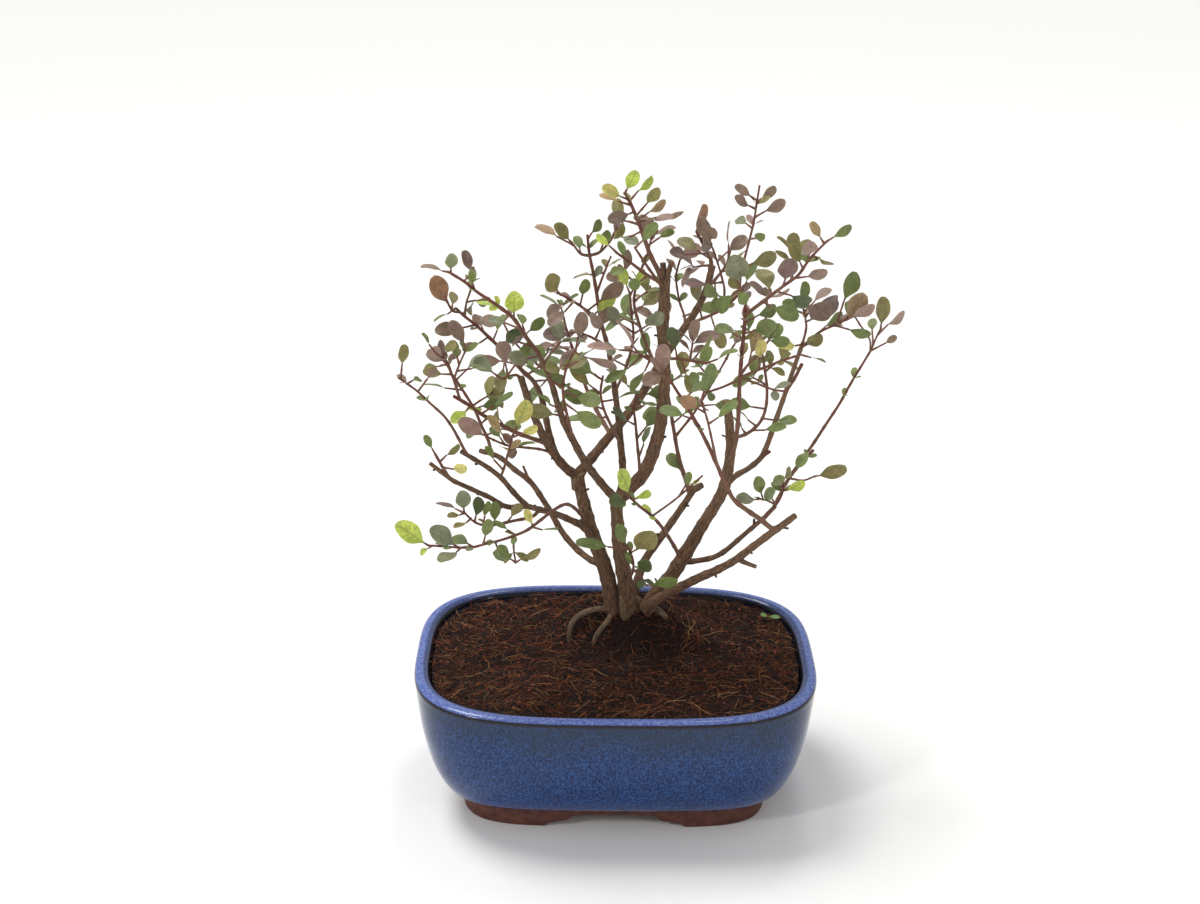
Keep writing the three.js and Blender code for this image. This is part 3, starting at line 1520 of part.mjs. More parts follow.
// A unit vector at right angles to another, as near as it can be to a wanted one.
function squareTo(along, wanted) {
  return wanted.clone().addScaledVector(along, -wanted.dot(along)).normalize();
}

// The leaves of one shoot, in pairs at right angles to each other, with one in line if it is odd.
function shootLeaves(shoot, draws) {
  const { from, to, count, size, face } = shoot;
  const along = to.clone().sub(from).normalize();
  const outward = squareTo(along, new THREE.Vector3(along.z + 0.2, 0.3, -along.x));
  const start = draws.between(-0.6, 0.6);
  const pairs = Math.floor(count / 2);
  const leaves = [];
  for (let i = 0; i < count; i += 1) {
    const pair = Math.floor(i / 2);
    const single = count % 2 === 1 && i === count - 1;
    const turn = start + pair * (Math.PI / 2) + (i % 2) * Math.PI;
    const spread = single ? draws.between(-0.2, 0.2) : draws.between(0.75, 1.15);
    const length = size * draws.between(0.92, 1.1) * (single || pair === pairs - 1 ? 1 : 1.1);
    const lean = new THREE.Vector3(
      draws.between(-1, 1),
      draws.between(-1, 1),
      draws.between(-1, 1),
    );
    const fold = draws.between(0.05, 0.35);
    const narrow = draws.between(0.9, 1.1);
    const share = single || pair === pairs - 1 ? 1 : 0.5;
    const base = from.clone().lerp(to, share).addScaledVector(along, -0.5);
    leaves.push({
      from,
      base,
      along,
      outward,
      turn,
      spread,
      length,
      lean,
      fold,
      narrow,
      single,
      face,
      count,
    });
  }
  return leaves;
}

// One try at a leaf: a pair's leaf is turned about its shoot, and a single one is leant over.
function poseLeaf(draft, attempt) {
  const step = Math.ceil(attempt / 2) * (attempt % 2 === 0 ? 1 : -1);
  const { base, along, outward, length } = draft;
  const toEye = new THREE.Vector3(...EYE).sub(base).normalize();
  let direction;
  if (draft.single) {
    const flat = along.clone();
    flat.y *= 0.5;
    direction = flat
      .normalize()
      .addScaledVector(squareTo(along, toEye), draft.spread + step * 0.3)
      .normalize();
  } else {
    const side = outward.clone().applyAxisAngle(along, draft.turn + step * TURN_STEP);
    direction = along
      .clone()
      .multiplyScalar(Math.cos(draft.spread))
      .addScaledVector(side, Math.sin(draft.spread));
  }
  let face;
  if (draft.face === undefined) {
    const wanted = toEye
      .multiplyScalar(0.5)
      .add(new THREE.Vector3(0, 0, 0.6))
      .addScaledVector(draft.lean, 0.75);
    face = squareTo(direction, wanted);
  } else {
    face = squareTo(direction, toEye).applyAxisAngle(direction, draft.face);
  }
  const stalked = draft.count === 1;
  return {
    root: stalked ? draft.from : base,
    base,
    along: direction,
    face,
    length,
    width: length * BLADE_WIDTH * draft.narrow,
    fold: draft.fold,
    stalked,
  };
}

// Starts each stem on the middle line of the wood that it grows from.
function rootStems(limb) {
  const grown = [];
  const parents = Object.values(BARE_STEMS);
  for (const stem of limb.stems) {
    const [x, z] = stem.route[0];
    const start = onStems(grown.length > 0 ? grown : parents, x, z);
    grown.push({ thick: stem.thick, route: [start, ...stem.route.slice(1)] });
  }
  limb.stems = grown;
}

// Reads a limb's row of numbers as a shoot in the pot's frame.
function readShoot(limb, row) {
  const [x0, z0, x1, z1, y1, count, size, colour, face] = row;
  const start = onStems(limb.stems, x0, z0);
  return { from: seen(start), to: seen([x1, z1, y1]), count, size, colour, face };
}

// Sets every limb's leaves, limb by limb, each clear of what is there already.
function setLeaves() {
  const crowd = new Crowd();
  for (const stem of Object.values(BARE_STEMS)) {
    crowd.addStem("trunk", stem.route.map(seen), stem.thick);
  }
  const shoots = {};
  for (const [name, limb] of Object.entries(LIMBS)) {
    rootStems(limb);
    for (const stem of limb.stems) {
      crowd.addStem(name, stem.route.map(seen), stem.thick);
    }
    shoots[name] = limb.shoots.map((row) => readShoot(limb, row));
    for (const shoot of shoots[name]) {
      crowd.addStem(name, [shoot.from, shoot.to], SHOOT_THICK, shoot);
    }
  }
  const draws = new Draws(SEED);
  const leaves = {};
  for (const [name, list] of Object.entries(shoots)) {
    leaves[name] = [];
    for (const shoot of list) {
      for (const draft of shootLeaves(shoot, draws)) {
        for (let attempt = 0; attempt < TRIES; attempt += 1) {
          const leaf = poseLeaf(draft, attempt);
          if (!crowd.isFree(name, leaf, shoot)) continue;
          crowd.add(name, leaf);
          leaves[name].push(leaf);
          break;
        }
      }
    }
  }
  return { shoots, leaves };
}

function buildLimb(limb, shoots, leaves, trunkRoom) {
  const pieces = limb.stems.map((stem) => stemSolid(stem, seen));
  for (const shoot of shoots) {
    if (shoot.count < 2) continue;
    const route = [shoot.from, shoot.to];
    pieces.push(tube(route, taper(route, SHOOT_THICK), 3));
  }
  for (const leaf of leaves) pieces.push(leafSolid(leaf));
  const limbBody = largest(wasm.Manifold.union(pieces).subtract(trunkRoom));
  return largest(limbBody.asOriginal().simplify(FINEST));
}

// The whole bonsai

const group = new THREE.Group();
group.name = "myrtle_bonsai";
group.add(toMesh("pot", buildPot(), "glaze"));
group.add(toMesh("drain_screen_left", buildScreen(-1), "screen"));
group.add(toMesh("drain_screen_right", buildScreen(1), "screen"));
const trunkRoom = buildTrunk(GAP + FINEST / 2);
group.add(toMesh("compost", buildSoil(trunkRoom), "compost"));
group.add(toMesh("trunk", buildTrunk(), "bark"));
const { shoots, leaves } = setLeaves();
for (const [name, limb] of Object.entries(LIMBS)) {
  group.add(toMesh(name, buildLimb(limb, shoots[name], leaves[name], trunkRoom), limb.colour));
}

const bounds = new THREE.Box3().setFromObject(group);
const middle = bounds.getCenter(new THREE.Vector3());
for (const mesh of group.children) {
  mesh.geometry.translate(-middle.x, -middle.y, -bounds.min.z);
}

export default group;
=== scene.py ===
"""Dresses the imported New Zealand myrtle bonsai: bark, leaves, coir compost and a glazed pot.

The tree is set out here by the same rows and the same seeded rule as in the part's source, so every
fine stem and blade lies where its plain solid lies. Rows and sizes are millimetres in the pot's own
frame, with the origin on the table under the pot's middle; the meshes are metres in the row frame.
"""
from __future__ import annotations

import json
import logging
import math
from dataclasses import dataclass, field
from enum import Enum, IntEnum
from typing import Callable, Optional, Sequence

import bpy
import numpy as np
from mathutils import Euler, Matrix, Vector, noise

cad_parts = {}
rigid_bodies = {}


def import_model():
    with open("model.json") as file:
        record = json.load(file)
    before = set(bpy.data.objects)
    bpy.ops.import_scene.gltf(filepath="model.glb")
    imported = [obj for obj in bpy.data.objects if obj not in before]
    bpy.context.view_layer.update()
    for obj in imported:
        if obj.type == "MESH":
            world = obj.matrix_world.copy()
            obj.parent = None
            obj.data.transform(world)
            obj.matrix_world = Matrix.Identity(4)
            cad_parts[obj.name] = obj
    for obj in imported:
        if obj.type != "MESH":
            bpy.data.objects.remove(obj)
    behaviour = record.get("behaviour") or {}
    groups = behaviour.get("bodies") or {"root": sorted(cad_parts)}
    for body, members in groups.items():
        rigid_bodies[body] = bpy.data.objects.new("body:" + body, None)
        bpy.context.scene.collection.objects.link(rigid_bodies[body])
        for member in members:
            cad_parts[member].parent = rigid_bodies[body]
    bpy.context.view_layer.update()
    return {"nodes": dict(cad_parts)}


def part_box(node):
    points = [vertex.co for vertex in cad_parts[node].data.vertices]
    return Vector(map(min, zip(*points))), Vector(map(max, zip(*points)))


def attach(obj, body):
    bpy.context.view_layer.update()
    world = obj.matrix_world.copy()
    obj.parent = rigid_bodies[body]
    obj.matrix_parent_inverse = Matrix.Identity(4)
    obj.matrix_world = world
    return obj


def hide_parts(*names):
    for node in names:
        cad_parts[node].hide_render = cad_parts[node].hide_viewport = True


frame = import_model()
LOG = logging.getLogger("bonsai")

MM = 0.001
WHOLE_TURN = 2 * math.pi
Point = tuple[float, float, float]
Rgba = tuple[float, float, float, float]
Array = np.ndarray


def pot_shift() -> Array:
    """Where the pot's own frame lies in the row frame.

    Returns:
        The pot's middle at table height, in metres.
    """
    low, high = (np.array(corner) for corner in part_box("pot"))
    middle = (low + high) / 2
    return np.array([middle[0], middle[1], low[2]])


SHIFT = pot_shift()


@dataclass(frozen=True)
class Stem:
    """One length of wood, with its diameter at each end and its route."""

    thick: tuple[float, float]
    route: tuple[Point, ...]


@dataclass(frozen=True)
class Limb:
    """A leafy limb, with its stems and its rows of shoots.

    A row is [from x, from z, to x, to z, to depth, leaves, leaf length, colour], and may end with the
    roll of its leaf from lying flat to the viewer, in radians.
    """

    colour: str
    stems: tuple[Stem, ...]
    shoots: tuple[tuple, ...]


# The bare wood. A seen point is [x, z] on the upright plane through the pot's middle, and a depth.
BARE_STEMS: dict[str, Stem] = {
    "left": Stem((8.4, 5.6), (
        (-1, 93, 18), (-3, 108, 18), (-6, 120, 17), (-10, 132, 16), (-14, 144, 15), (-17, 156, 14),
        (-20, 169, 13),
    )),
    "knuckle": Stem((6.2, 6.8), ((-19, 163, 14), (-20, 171, 13))),
    "middle": Stem((9.4, 5.4), (
        (6, 92, 18), (5, 108, 16), (3, 120, 14), (1, 132, 13), (0, 145, 12), (-1, 158, 12),
    )),
    "right": Stem((8, 3.9), (
        (14, 94, 19), (20, 106, 19), (27, 115, 18), (32, 124, 18), (37, 134, 17), (42, 144, 16),
        (47, 153, 14), (51, 162, 12), (53, 172, 10), (54, 184, 8), (53, 196, 6), (51, 209, 5),
    )),
    "low_right": Stem((5, 2.9), (
        (14, 97, 15), (24, 105, 11), (33, 110, 6), (42, 115, 0), (50, 119, -6), (58, 124, -12),
        (66, 131, -18), (74, 138, -23), (80, 143, -27), (87, 149, -31),
    )),
    "low_right_spur": Stem((2.4, 2), ((60, 125, -13), (64, 123, -16), (69, 121, -20))),
    "right_back": Stem((3, 2.2), (
        (32, 123, 18), (40, 124, 22), (48, 126, 25), (54, 130, 27), (60, 136, 29), (66, 142, 30),
        (72, 148, 31), (77, 154, 32),
    )),
    "rear": Stem((4.6, 3.4), (
        (7, 94, 24), (10, 110, 30), (14, 124, 38), (20, 134, 44), (26, 144, 50), (32, 154, 54),
        (37, 163, 57),
    )),
    "rear_knob": Stem((3.6, 3.2), ((36, 162, 57), (41, 165, 60))),
    "left_back": Stem((3.4, 2.4), (
        (-7, 121, 17), (-13, 124, 22), (-20, 130, 28), (-27, 139, 33), (-34, 152, 37),
        (-42, 165, 40), (-50, 172, 42), (-58, 179, 44), (-67, 182, 45),
    )),
    "left_back_spur": Stem((1.6, 1.2), ((-43, 166, 40), (-46, 174, 38))),
    "left_front": Stem((3.6, 2.8), (
        (-11, 135, 15), (-17, 142, 6), (-24, 146, -3), (-31, 149, -9), (-38, 151, -14),
        (-45, 153, -18),
    )),
    "left_front_low": Stem((2.6, 1.9), (
        (-44, 153, -17), (-50, 152, -21), (-56, 153, -25), (-62, 157, -28), (-68, 160, -31),
        (-74, 163, -34), (-80, 166, -36), (-85, 170, -38), (-91, 175, -40),
    )),
    "left_front_high": Stem((2.7, 2.1), (
        (-44, 152.5, -17), (-49, 158, -19), (-53, 163, -20), (-57, 168, -21), (-63, 173, -23),
        (-69, 177, -24), (-76, 181.5, -26),
    )),
    "left_fork": Stem((4.6, 3), (
        (-20, 169, 13), (-25, 173, 9), (-30, 179, 5), (-35, 187, 1), (-39, 196, -3),
        (-43, 207, -6), (-47, 220, -8),
    )),
    "left_inner_fork": Stem((3.6, 2.6), (
        (-30, 179, 5), (-33, 189, 8), (-35, 199, 11), (-37, 209, 13), (-39, 215, 14),
    )),
    "long_diagonal": Stem((4.8, 3.2), (
        (-20, 169, 13), (-15, 176, 18), (-9, 184, 22), (-3, 192, 26), (3, 200, 29), (10, 211, 33),
        (17, 224, 38), (24, 236, 42), (29, 244, 45), (34, 252, 47), (39, 263, 49), (42, 276, 50),
    )),
    "centre_left": Stem((4.2, 2.8), (
        (-1, 157, 12), (-7, 164, 7), (-13, 172, 2), (-18, 180, -3), (-22, 188, -7),
        (-26, 196, -10), (-29, 205, -13), (-32, 216, -16),
    )),
    "tall": Stem((6.4, 5), (
        (-1, 155, 12), (4, 161, 11), (8, 165, 9), (12, 170, 7), (15, 177, 4), (18, 187, 2),
        (20, 197, 0), (21, 211, -1), (21, 226, -2), (20, 241, -2), (20, 256, -3), (20, 269, -3),
    )),
    "tall_cut_left": Stem((3, 2.8), ((20, 267, -3), (19, 277, -2))),
    "tall_cut_right": Stem((2.6, 2.2), ((20.5, 267, -3), (23, 278, -6))),
    "straight": Stem((3.8, 2.6), (
        (0, 157, 13), (2, 166, 15), (2, 176, 16), (1, 186, 16), (0, 196, 16), (-2, 212, 18),
        (-4, 226, 20),
    )),
}

ROOTS: tuple[Stem, ...] = (
    Stem((3.4, 2.4), (
        (2, 17, 85), (-4, 16, 88), (-12, 14, 88.5), (-20, 12, 85), (-23, 10, 79), (-23, 9, 70),
        (-23, 8, 62),
    )),
    Stem((3, 2.4), (
        (3, 17, 83), (-2, 13, 86), (-4, 10, 84), (-8, 8, 79.5), (-10.5, 6, 74.5), (-11, 5, 64),
    )),
    Stem((5, 2.4), ((14, 20, 86), (20, 19, 86.5), (25, 18, 83), (29, 17, 76), (31, 16, 66))),
    Stem((4.4, 2.4), ((0, 24, 82), (-8, 29, 80), (-15, 33, 73), (-19, 36, 64))),
    Stem((4.4, 2.2), ((11, 26, 84), (15, 36, 83), (18, 43, 76), (19, 47, 66))),
)

LIMBS: dict[str, Limb] = {
    "apex_limb": Limb("lime", (
        Stem((2.6, 1.4), (
            (19.5, 268, -3), (16, 275, -3), (13, 281, -3), (10, 289, -2), (7, 297, 0), (4, 304, 2),
            (1, 310, 3),
        )),
    ), (
        (1, 310, 1.8, 311.6, 3, 1, 11, "lime", 0.2),
        (3, 306, 7, 311, 8, 1, 10, "lime", 0.8),
        (4, 304, -2, 306, 2, 1, 9, "tan", 0.9),
        (7, 297, 12, 301, 4, 1, 10, "tan", 0.8),
        (7, 296, 17, 299, 8, 1, 11, "bronze", 1.1),
        (5, 301, 3, 300, -1, 1, 11, "purple", 0.3),
        (6, 299, 11, 305, -8, 1, 10, "olive", 0.4),
        (9, 291, 14, 297, -10, 2, 9, "bronze"),
        (8, 295, 0, 297, 10, 2, 10, "olive"),
        (9, 292, 3, 289, 8, 1, 10, "green", 0.5),
        (3, 307, -1, 308, -3, 1, 11, "straw", 0.5),
        (12, 285, 17, 289, 4, 1, 9, "green"),
    )),
    "apex_side_shoots": Limb("olive", (
        Stem((1.9, 1.1), (
            (20, 264, -3), (17, 268, -7), (12, 271, -11), (4, 277, -15), (-3, 282, -18),
        )),
        Stem((1.5, 1), ((17, 268, -7), (12, 275, -12), (6, 284, -17))),
    ), (
        (-2, 281, -6, 285, -20, 1, 8, "lime"),
        (4, 277, 1, 274, -22, 1, 9, "green"),
        (6, 284, 9, 287, -20, 1, 12.5, "green"),
        (12, 271, 9, 268, -20, 1, 8, "green"),
    )),
    "left_top_limb": Limb("lime", (
        Stem((2.4, 1.2), (
            (-31, 212, -15), (-34, 221, -17), (-38, 231, -19), (-45, 241, -22), (-50, 249, -24),
            (-57, 255, -26), (-67, 262, -29), (-73, 267, -31), (-80, 271.5, -33),
        )),
    ), (
        (-79, 271, -79, 273, -35, 1, 9, "grey", 0.2),
        (-80, 271.4, -83, 272, -33, 1, 9, "bronze", 1.2),
        (-73, 267, -71.6, 269, -27, 1, 9, "purple", 0.4),
        (-68, 263, -69, 266, -36, 1, 8, "green", 0.5),
        (-53, 252, -56, 253.6, -21, 1, 13, "lime", 1.2),
        (-50, 249, -50, 252, -27, 1, 15, "lime", 0.1),
        (-47, 244, -54, 247, -14, 1, 9, "grey"),
        (-44, 240, -46, 246, -32, 1, 9, "green"),
        (-41, 235, -49, 238, -28, 1, 12, "purple", 0.5),
        (-38, 231, -44, 229, -32, 1, 12, "grey", 0.3),
        (-36, 226, -35, 239, -32, 1, 12, "lime", 0.1),
        (-36, 227, -28, 238, -10, 2, 12, "grey"),
        (-34, 221, -28, 225, -28, 2, 12, "olive"),
        (-37, 229, -33, 231, -34, 1, 12, "bronze", 0.6),
    )),
    "left_upper_limb": Limb("bronze", (
        Stem((2.4, 1.2), (
            (-38, 212, 13.5), (-41, 218, 12), (-46, 223, 10), (-52, 230, 8), (-60, 238, 5),
            (-67, 245, 2), (-73, 250, 0), (-77, 254, -2),
        )),
        Stem((1.2, 0.9), ((-73, 250, 0), (-72, 257, 2), (-70, 263, 4), (-69, 269, 5))),
        Stem((1.2, 0.9), ((-75, 252, -1), (-79, 253, -5), (-82, 260, -8))),
    ), (
        (-69, 269, -70, 272, 4, 1, 11, "purple", 0.6),
        (-72, 257, -68, 258, 8, 1, 10, "olive", 0.5),
        (-80, 254, -81, 256.6, -7, 1, 15, "copper", 0.3),
        (-79, 253, -78.6, 255.6, 0, 1, 9, "olive", 0.3),
        (-74, 251, -72.5, 253, 7, 1, 11, "olive", 0.6),
        (-77, 254, -81, 251, -6, 1, 8, "green"),
        (-68, 246, -75, 244, -4, 1, 12, "bronze", 0.4),
        (-64, 242, -65, 245, 8, 1, 9, "bronze", 0.3),
        (-60, 238, -58, 243, 11, 1, 9, "green"),
        (-62, 240, -66, 237, -3, 1, 10, "bronze", 0.8),
        (-57, 235, -54, 237, 0, 1, 11, "dark", 0.2),
        (-54, 232, -55, 225, 1, 1, 12, "olive", 0.5),
        (-49, 227, -56, 228, 15, 1, 11, "bronze"),
        (-47, 225, -44, 228, 2, 1, 12, "grey", 0.3),
        (-44, 221, -37, 226, 21, 3, 11, "green"),
        (-41, 218, -33, 219, 26, 1, 12, "green"),
    )),
    "left_fork_limb": Limb("green", (
        Stem((1.8, 1), ((-46, 217, -7.5), (-49, 221, -9), (-56, 219, -13))),
    ), (
        (-53, 220, -54, 226, -15, 1, 12, "bronze"),
        (-56, 219, -60, 222, -14, 1, 12, "grey"),
        (-54, 219.6, -49, 227, -20, 1, 11, "green"),
    )),
    "left_arm": Limb("green", (
        Stem((2.2, 1.6), (
            (-34, 186, 1.5), (-40, 188, -2), (-48, 191, -6), (-54, 194, -9), (-61, 198, -12),
            (-66, 201, -15), (-71, 205, -17), (-79, 210, -20),
        )),
        Stem((1.4, 0.9), ((-76, 208, -19), (-79, 219, -20), (-82, 226, -21), (-88, 233, -23))),
        Stem((1.1, 0.9), ((-79, 218, -20), (-76, 226, -16), (-72, 235, -12))),
    ), (
        (-76, 226, -77, 230, -14, 1, 9, "green", 0.3),
        (-72, 234, -73.5, 236.5, -11, 1, 12, "bronze", 0.4),
        (-84, 229, -82, 232, -25, 1, 9, "olive", 0.3),
        (-82, 226, -86, 225, -17, 1, 9, "green", 0.4),
        (-80, 221, -84, 221, -24, 1, 10, "olive", 0.5),
        (-88, 233, -90, 236, -24, 1, 6, "green"),
        (-71, 205, -73, 202.5, -21, 1, 11, "lime", 0.3),
        (-69, 203, -66, 205, -11, 1, 10, "green", 0.4),
        (-66, 201, -60, 205, -18, 1, 11, "green"),
        (-63, 199, -67, 195, -14, 1, 9, "green", 0.6),
        (-55, 194.5, -57, 198, -14, 1, 10, "olive"),
        (-75, 222, -70, 224, -16, 1, 9, "green"),
    )),
    "left_inner_twig": Limb("bronze", (
        Stem((1.5, 1), (
            (-31, 181, 4.5), (-38, 183, -4), (-47, 184, -16), (-54, 185, -24), (-61, 188, -30),
        )),
    ), (
        (-60, 187.5, -65, 190, -34, 1, 15, "bronze"),
        (-55, 185.5, -57, 189, -20, 1, 8, "green"),
        (-51, 184.6, -53, 180, -28, 1, 11, "green"),
    )),
    "left_feeler": Limb("green", (
        Stem((1.5, 0.9), (
            (-73, 180, -25), (-77, 188, -26), (-80, 194, -27), (-84, 200, -28), (-90, 206, -30),
            (-97, 213, -32), (-105, 219, -34),
        )),
    ), (
        (-96, 212, -91, 219, -30, 1, 7, "bronze"),
        (-104, 218, -103, 226, -36, 1, 9, "olive"),
        (-101, 216, -98, 218, -26, 1, 7, "green"),
        (-84, 200, -85, 203, -32, 0, 0, "green"),
    )),
    "left_bright_shoot": Limb("lime", (
        Stem((1.3, 1), ((-57, 168, -21), (-55, 174, -25), (-53, 182, -29), (-51, 190.4, -32))),
    ), (
        (-51.2, 189.2, -49, 195, -33, 1, 13, "straw", 0.35),
        (-52, 186.5, -56, 190.5, -37, 1, 12, "tan", 0.9),
        (-51, 189, -46, 191, -38, 1, 10, "straw", 0.7),
        (-53, 182, -49, 184, -24, 1, 9, "green"),
        (-56, 172, -60, 177, -30, 1, 8, "green"),
    )),
    "left_low_shoots": Limb("olive", (
        Stem((1.6, 1.2), ((-82, 168, -37), (-85, 173, -39), (-88, 179, -41))),
    ), (
        (-86, 176, -83, 179.5, -36, 1, 8, "olive", 0.8),
        (-85, 173, -80, 172, -46, 1, 8, "straw", 0.4),
        (-88, 179, -90, 183, -41, 1, 7, "green", 0.5),
    )),
    "left_back_limb": Limb("green", (
        Stem((1.9, 1.2), (
            (-61, 180.5, 44), (-63, 188, 45), (-66, 195, 44), (-69, 203, 42), (-74, 212, 40),
            (-80, 222, 38),
        )),
    ), (
        (-64, 190, -57, 193, 50, 1, 10.5, "green"),
        (-70, 205, -63, 210, 46, 3, 10.5, "olive"),
        (-75, 213, -83, 214, 36, 1, 10.5, "green"),
        (-80, 222, -82, 228, 38, 3, 10.5, "bronze"),
        (-78, 218, -72, 224, 44, 1, 10.5, "grey"),
    )),
    "low_left_long_spray": Limb("green", (
        Stem((2, 1), (
            (-14, 143, 14), (-20, 151, 2), (-25, 154, -10), (-31, 151, -22), (-38, 145, -32),
            (-44, 140, -38), (-50, 137, -42), (-58, 134, -46), (-65, 132, -49), (-72, 130, -51),
            (-78, 130, -53), (-93, 131, -58),
        )),
        Stem((1, 0.9), ((-50, 137, -42), (-51, 131, -44), (-50, 122, -46))),
    ), (
        (-93, 131, -95, 132.2, -59, 1, 16, "lime", 0.2),
        (-91, 130.8, -93, 129.5, -56, 1, 6, "lime", 0.5),
        (-78, 130, -80, 131.2, -54, 1, 14, "grey", 0.4),
        (-71, 130.3, -73, 132, -48, 1, 11, "green", 0.5),
        (-77, 129.5, -79, 127.4, -58, 1, 13, "grey", 0.9),
        (-66, 132, -65, 136, -52, 1, 10, "green", 0.4),
        (-60, 133.5, -59, 130, -44, 1, 10, "green", 0.7),
        (-50, 122, -52, 123.5, -47, 1, 12, "green", 0.9),
        (-50, 122, -48, 123.5, -45, 1, 12, "olive", 0.9),
        (-41, 141.8, -42, 143.5, -36, 1, 9, "straw", 0.5),
        (-42, 141.5, -37, 140, -42, 1, 10, "green"),
        (-50, 137, -54, 140, -40, 1, 9, "green"),
    )),
    "low_left_high_spray": Limb("olive", (
        Stem((1.7, 1), (
            (-38, 150.8, -13.5), (-42, 147, -18), (-50, 145, -24), (-58, 143, -30),
            (-64, 142, -34), (-70, 144, -38), (-75, 149, -41),
        )),
    ), (
        (-75, 149, -75.2, 151, -43, 1, 12, "grey", 0.1),
        (-75, 148, -79, 151, -36, 1, 10, "purple", 1.2),
        (-70, 144, -69.4, 147, -34, 1, 10, "dark", 0.3),
        (-60, 142.6, -60, 144.6, -30, 1, 10, "green", 0.3),
        (-72, 145.5, -74, 143.5, -44, 1, 9, "olive", 1.0),
        (-75, 148.5, -77.5, 147.5, -44, 1, 7, "olive"),
        (-66, 142.2, -65, 147, -38, 1, 9, "green", 0.8),
        (-54, 144, -52, 147, -26, 1, 9, "olive"),
    )),
    "foot_shoots": Limb("green", (
        Stem((1.5, 1.1), ((4, 112, 15), (8, 117, 4), (8, 124, -3), (6, 130, -6))),
        Stem((1.2, 1), ((8, 119, 2), (12, 115, -4), (15, 110, -8))),
    ), (
        (6, 130, -4, 131, -8, 1, 17, "green", 0.9),
        (6, 130, 4.2, 133, -12, 1, 13, "green", 0.5),
        (7, 128, 9.5, 129.5, -13, 1, 18, "olive", 0.3),
        (8.5, 118, 11.5, 118.5, -9, 1, 13, "dark", 0.2),
        (15, 110, 17.5, 110, -11, 1, 15, "green", 0.8),
    )),
    "front_cross_limb": Limb("lime", (
        Stem((2.2, 1.2), (
            (31, 125, 18), (27, 134, 8), (22, 142, -2), (17, 148, -10), (11, 153, -14),
            (6, 158, -18),
        )),
        Stem((1.1, 0.9), ((17, 148, -10), (29, 158, -14), (41, 170, -18))),
    ), (
        (6, 158, 5, 160.5, -20, 1, 15, "lime", 0.6),
        (7, 157, 9.6, 157.3, -23, 1, 14, "lime", 0.9),
        (6, 158, 4.2, 156.4, -22, 1, 13, "dark", 0.4),
        (30, 159, 33, 165, -22, 1, 8, "green"),
    )),
    "rear_limb": Limb("green", (
        Stem((2.4, 1.4), (
            (35, 160, 56), (32, 170, 60), (29, 180, 63), (27, 190, 66), (25, 201, 68),
            (23, 212, 70), (20, 226, 72), (18, 240, 74),
        )),
        Stem((1.5, 1), ((27, 190, 66), (36, 203, 70), (44, 218, 73), (50, 230, 76))),
    ), (
        (32, 170, 30, 173, 62, 1, 10.5, "green"),
        (26, 197, 31, 202, 62, 1, 12.5, "green"),
        (25, 203, 18, 206, 72, 2, 11.5, "green"),
        (22, 216, 29, 222, 78, 2, 11.5, "olive"),
        (20, 227, 12, 232, 68, 2, 11.5, "green"),
        (18, 240, 16, 250, 76, 2, 11.5, "bronze"),
        (38, 206, 45, 207, 76, 1, 11.5, "green"),
        (44, 218, 38, 226, 78, 2, 10.5, "green"),
        (50, 230, 54, 238, 76, 2, 11.5, "bronze"),
    )),
    "rear_left_limb": Limb("green", (
        Stem((2.4, 1.3), (
            (-4, 191, 25.5), (-9, 200, 36), (-14, 210, 46), (-18, 221, 54), (-22, 233, 60),
            (-26, 246, 64),
        )),
        Stem((1.5, 1), (
            (-14, 210, 46), (-24, 215, 54), (-34, 222, 60), (-44, 231, 64), (-52, 240, 66),
        )),
    ), (
        (-22, 232, -29, 236, 66, 2, 11.5, "bronze"),
        (-26, 246, -28, 255, 66, 2, 11.5, "green"),
        (-24, 215, -27, 209, 60, 1, 10.5, "green"),
        (-33, 221, -37, 216, 66, 1, 11.5, "green"),
        (-38, 226, -34, 233, 66, 2, 10.5, "grey"),
        (-52, 240, -55, 247, 68, 2, 11.5, "bronze"),
        (-49, 237, -43, 243, 70, 1, 10.5, "green"),
    )),
    "centre_top_limb": Limb("olive", (
        Stem((2.5, 1.3), (
            (-4, 225, 20), (-6, 236, 22), (-9, 247, 24), (-11, 259, 26), (-13, 271, 28),
            (-15, 281, 29), (-16, 290, 30),
        )),
        Stem((1.5, 1), ((-15, 280, 29), (-19, 281, 28), (-23, 286, 27))),
        Stem((1.5, 1), ((-15, 280, 29), (-10, 282, 31), (-5, 288, 32), (-2, 294, 33))),
        Stem((1.3, 0.9), ((-11, 262, 26.5), (-8, 272, 30), (-5, 280, 32))),
        Stem((1.8, 1), (
            (-9, 247, 24), (-13, 251, 15), (-18, 255, 6), (-24, 259, -2), (-30, 262, -8),
        )),
        Stem((1.4, 1), ((-6, 236, 22), (-13, 240, 10), (-20, 243, 2))),
    ), (
        (-23, 286, -24.5, 287.5, 26, 1, 11, "olive", 0.5),
        (-22, 285, -30, 289, 28, 1, 12, "tan", 1.0),
        (-19, 281, -19.4, 283, 31, 1, 8, "green", 0.3),
        (-16, 288, -14, 291, 34, 1, 9, "green", 0.5),
        (-10, 282, -9, 285, 27, 1, 10, "green", 0.4),
        (-5, 288, -4, 291, 38, 1, 11, "purple", 0.3),
        (-3, 291, 0, 289, 26, 1, 9, "grey"),
        (-8, 272, -15, 271, 36, 1, 9, "olive"),
        (-28, 261, -29.6, 262.6, -10, 1, 14, "olive", 0.3),
        (-24, 259, -27, 256.6, 2, 1, 13, "bronze", 0.6),
        (-19, 256, -18, 261, -1, 1, 11, "green", 0.4),
        (-13, 251, -11, 253, 14, 1, 11, "lime", 0.1),
        (-16, 253, -10, 258, 4, 1, 14, "bronze", 0.7),
        (-18, 255, -15, 251, -7, 1, 14, "bronze", 0.7),
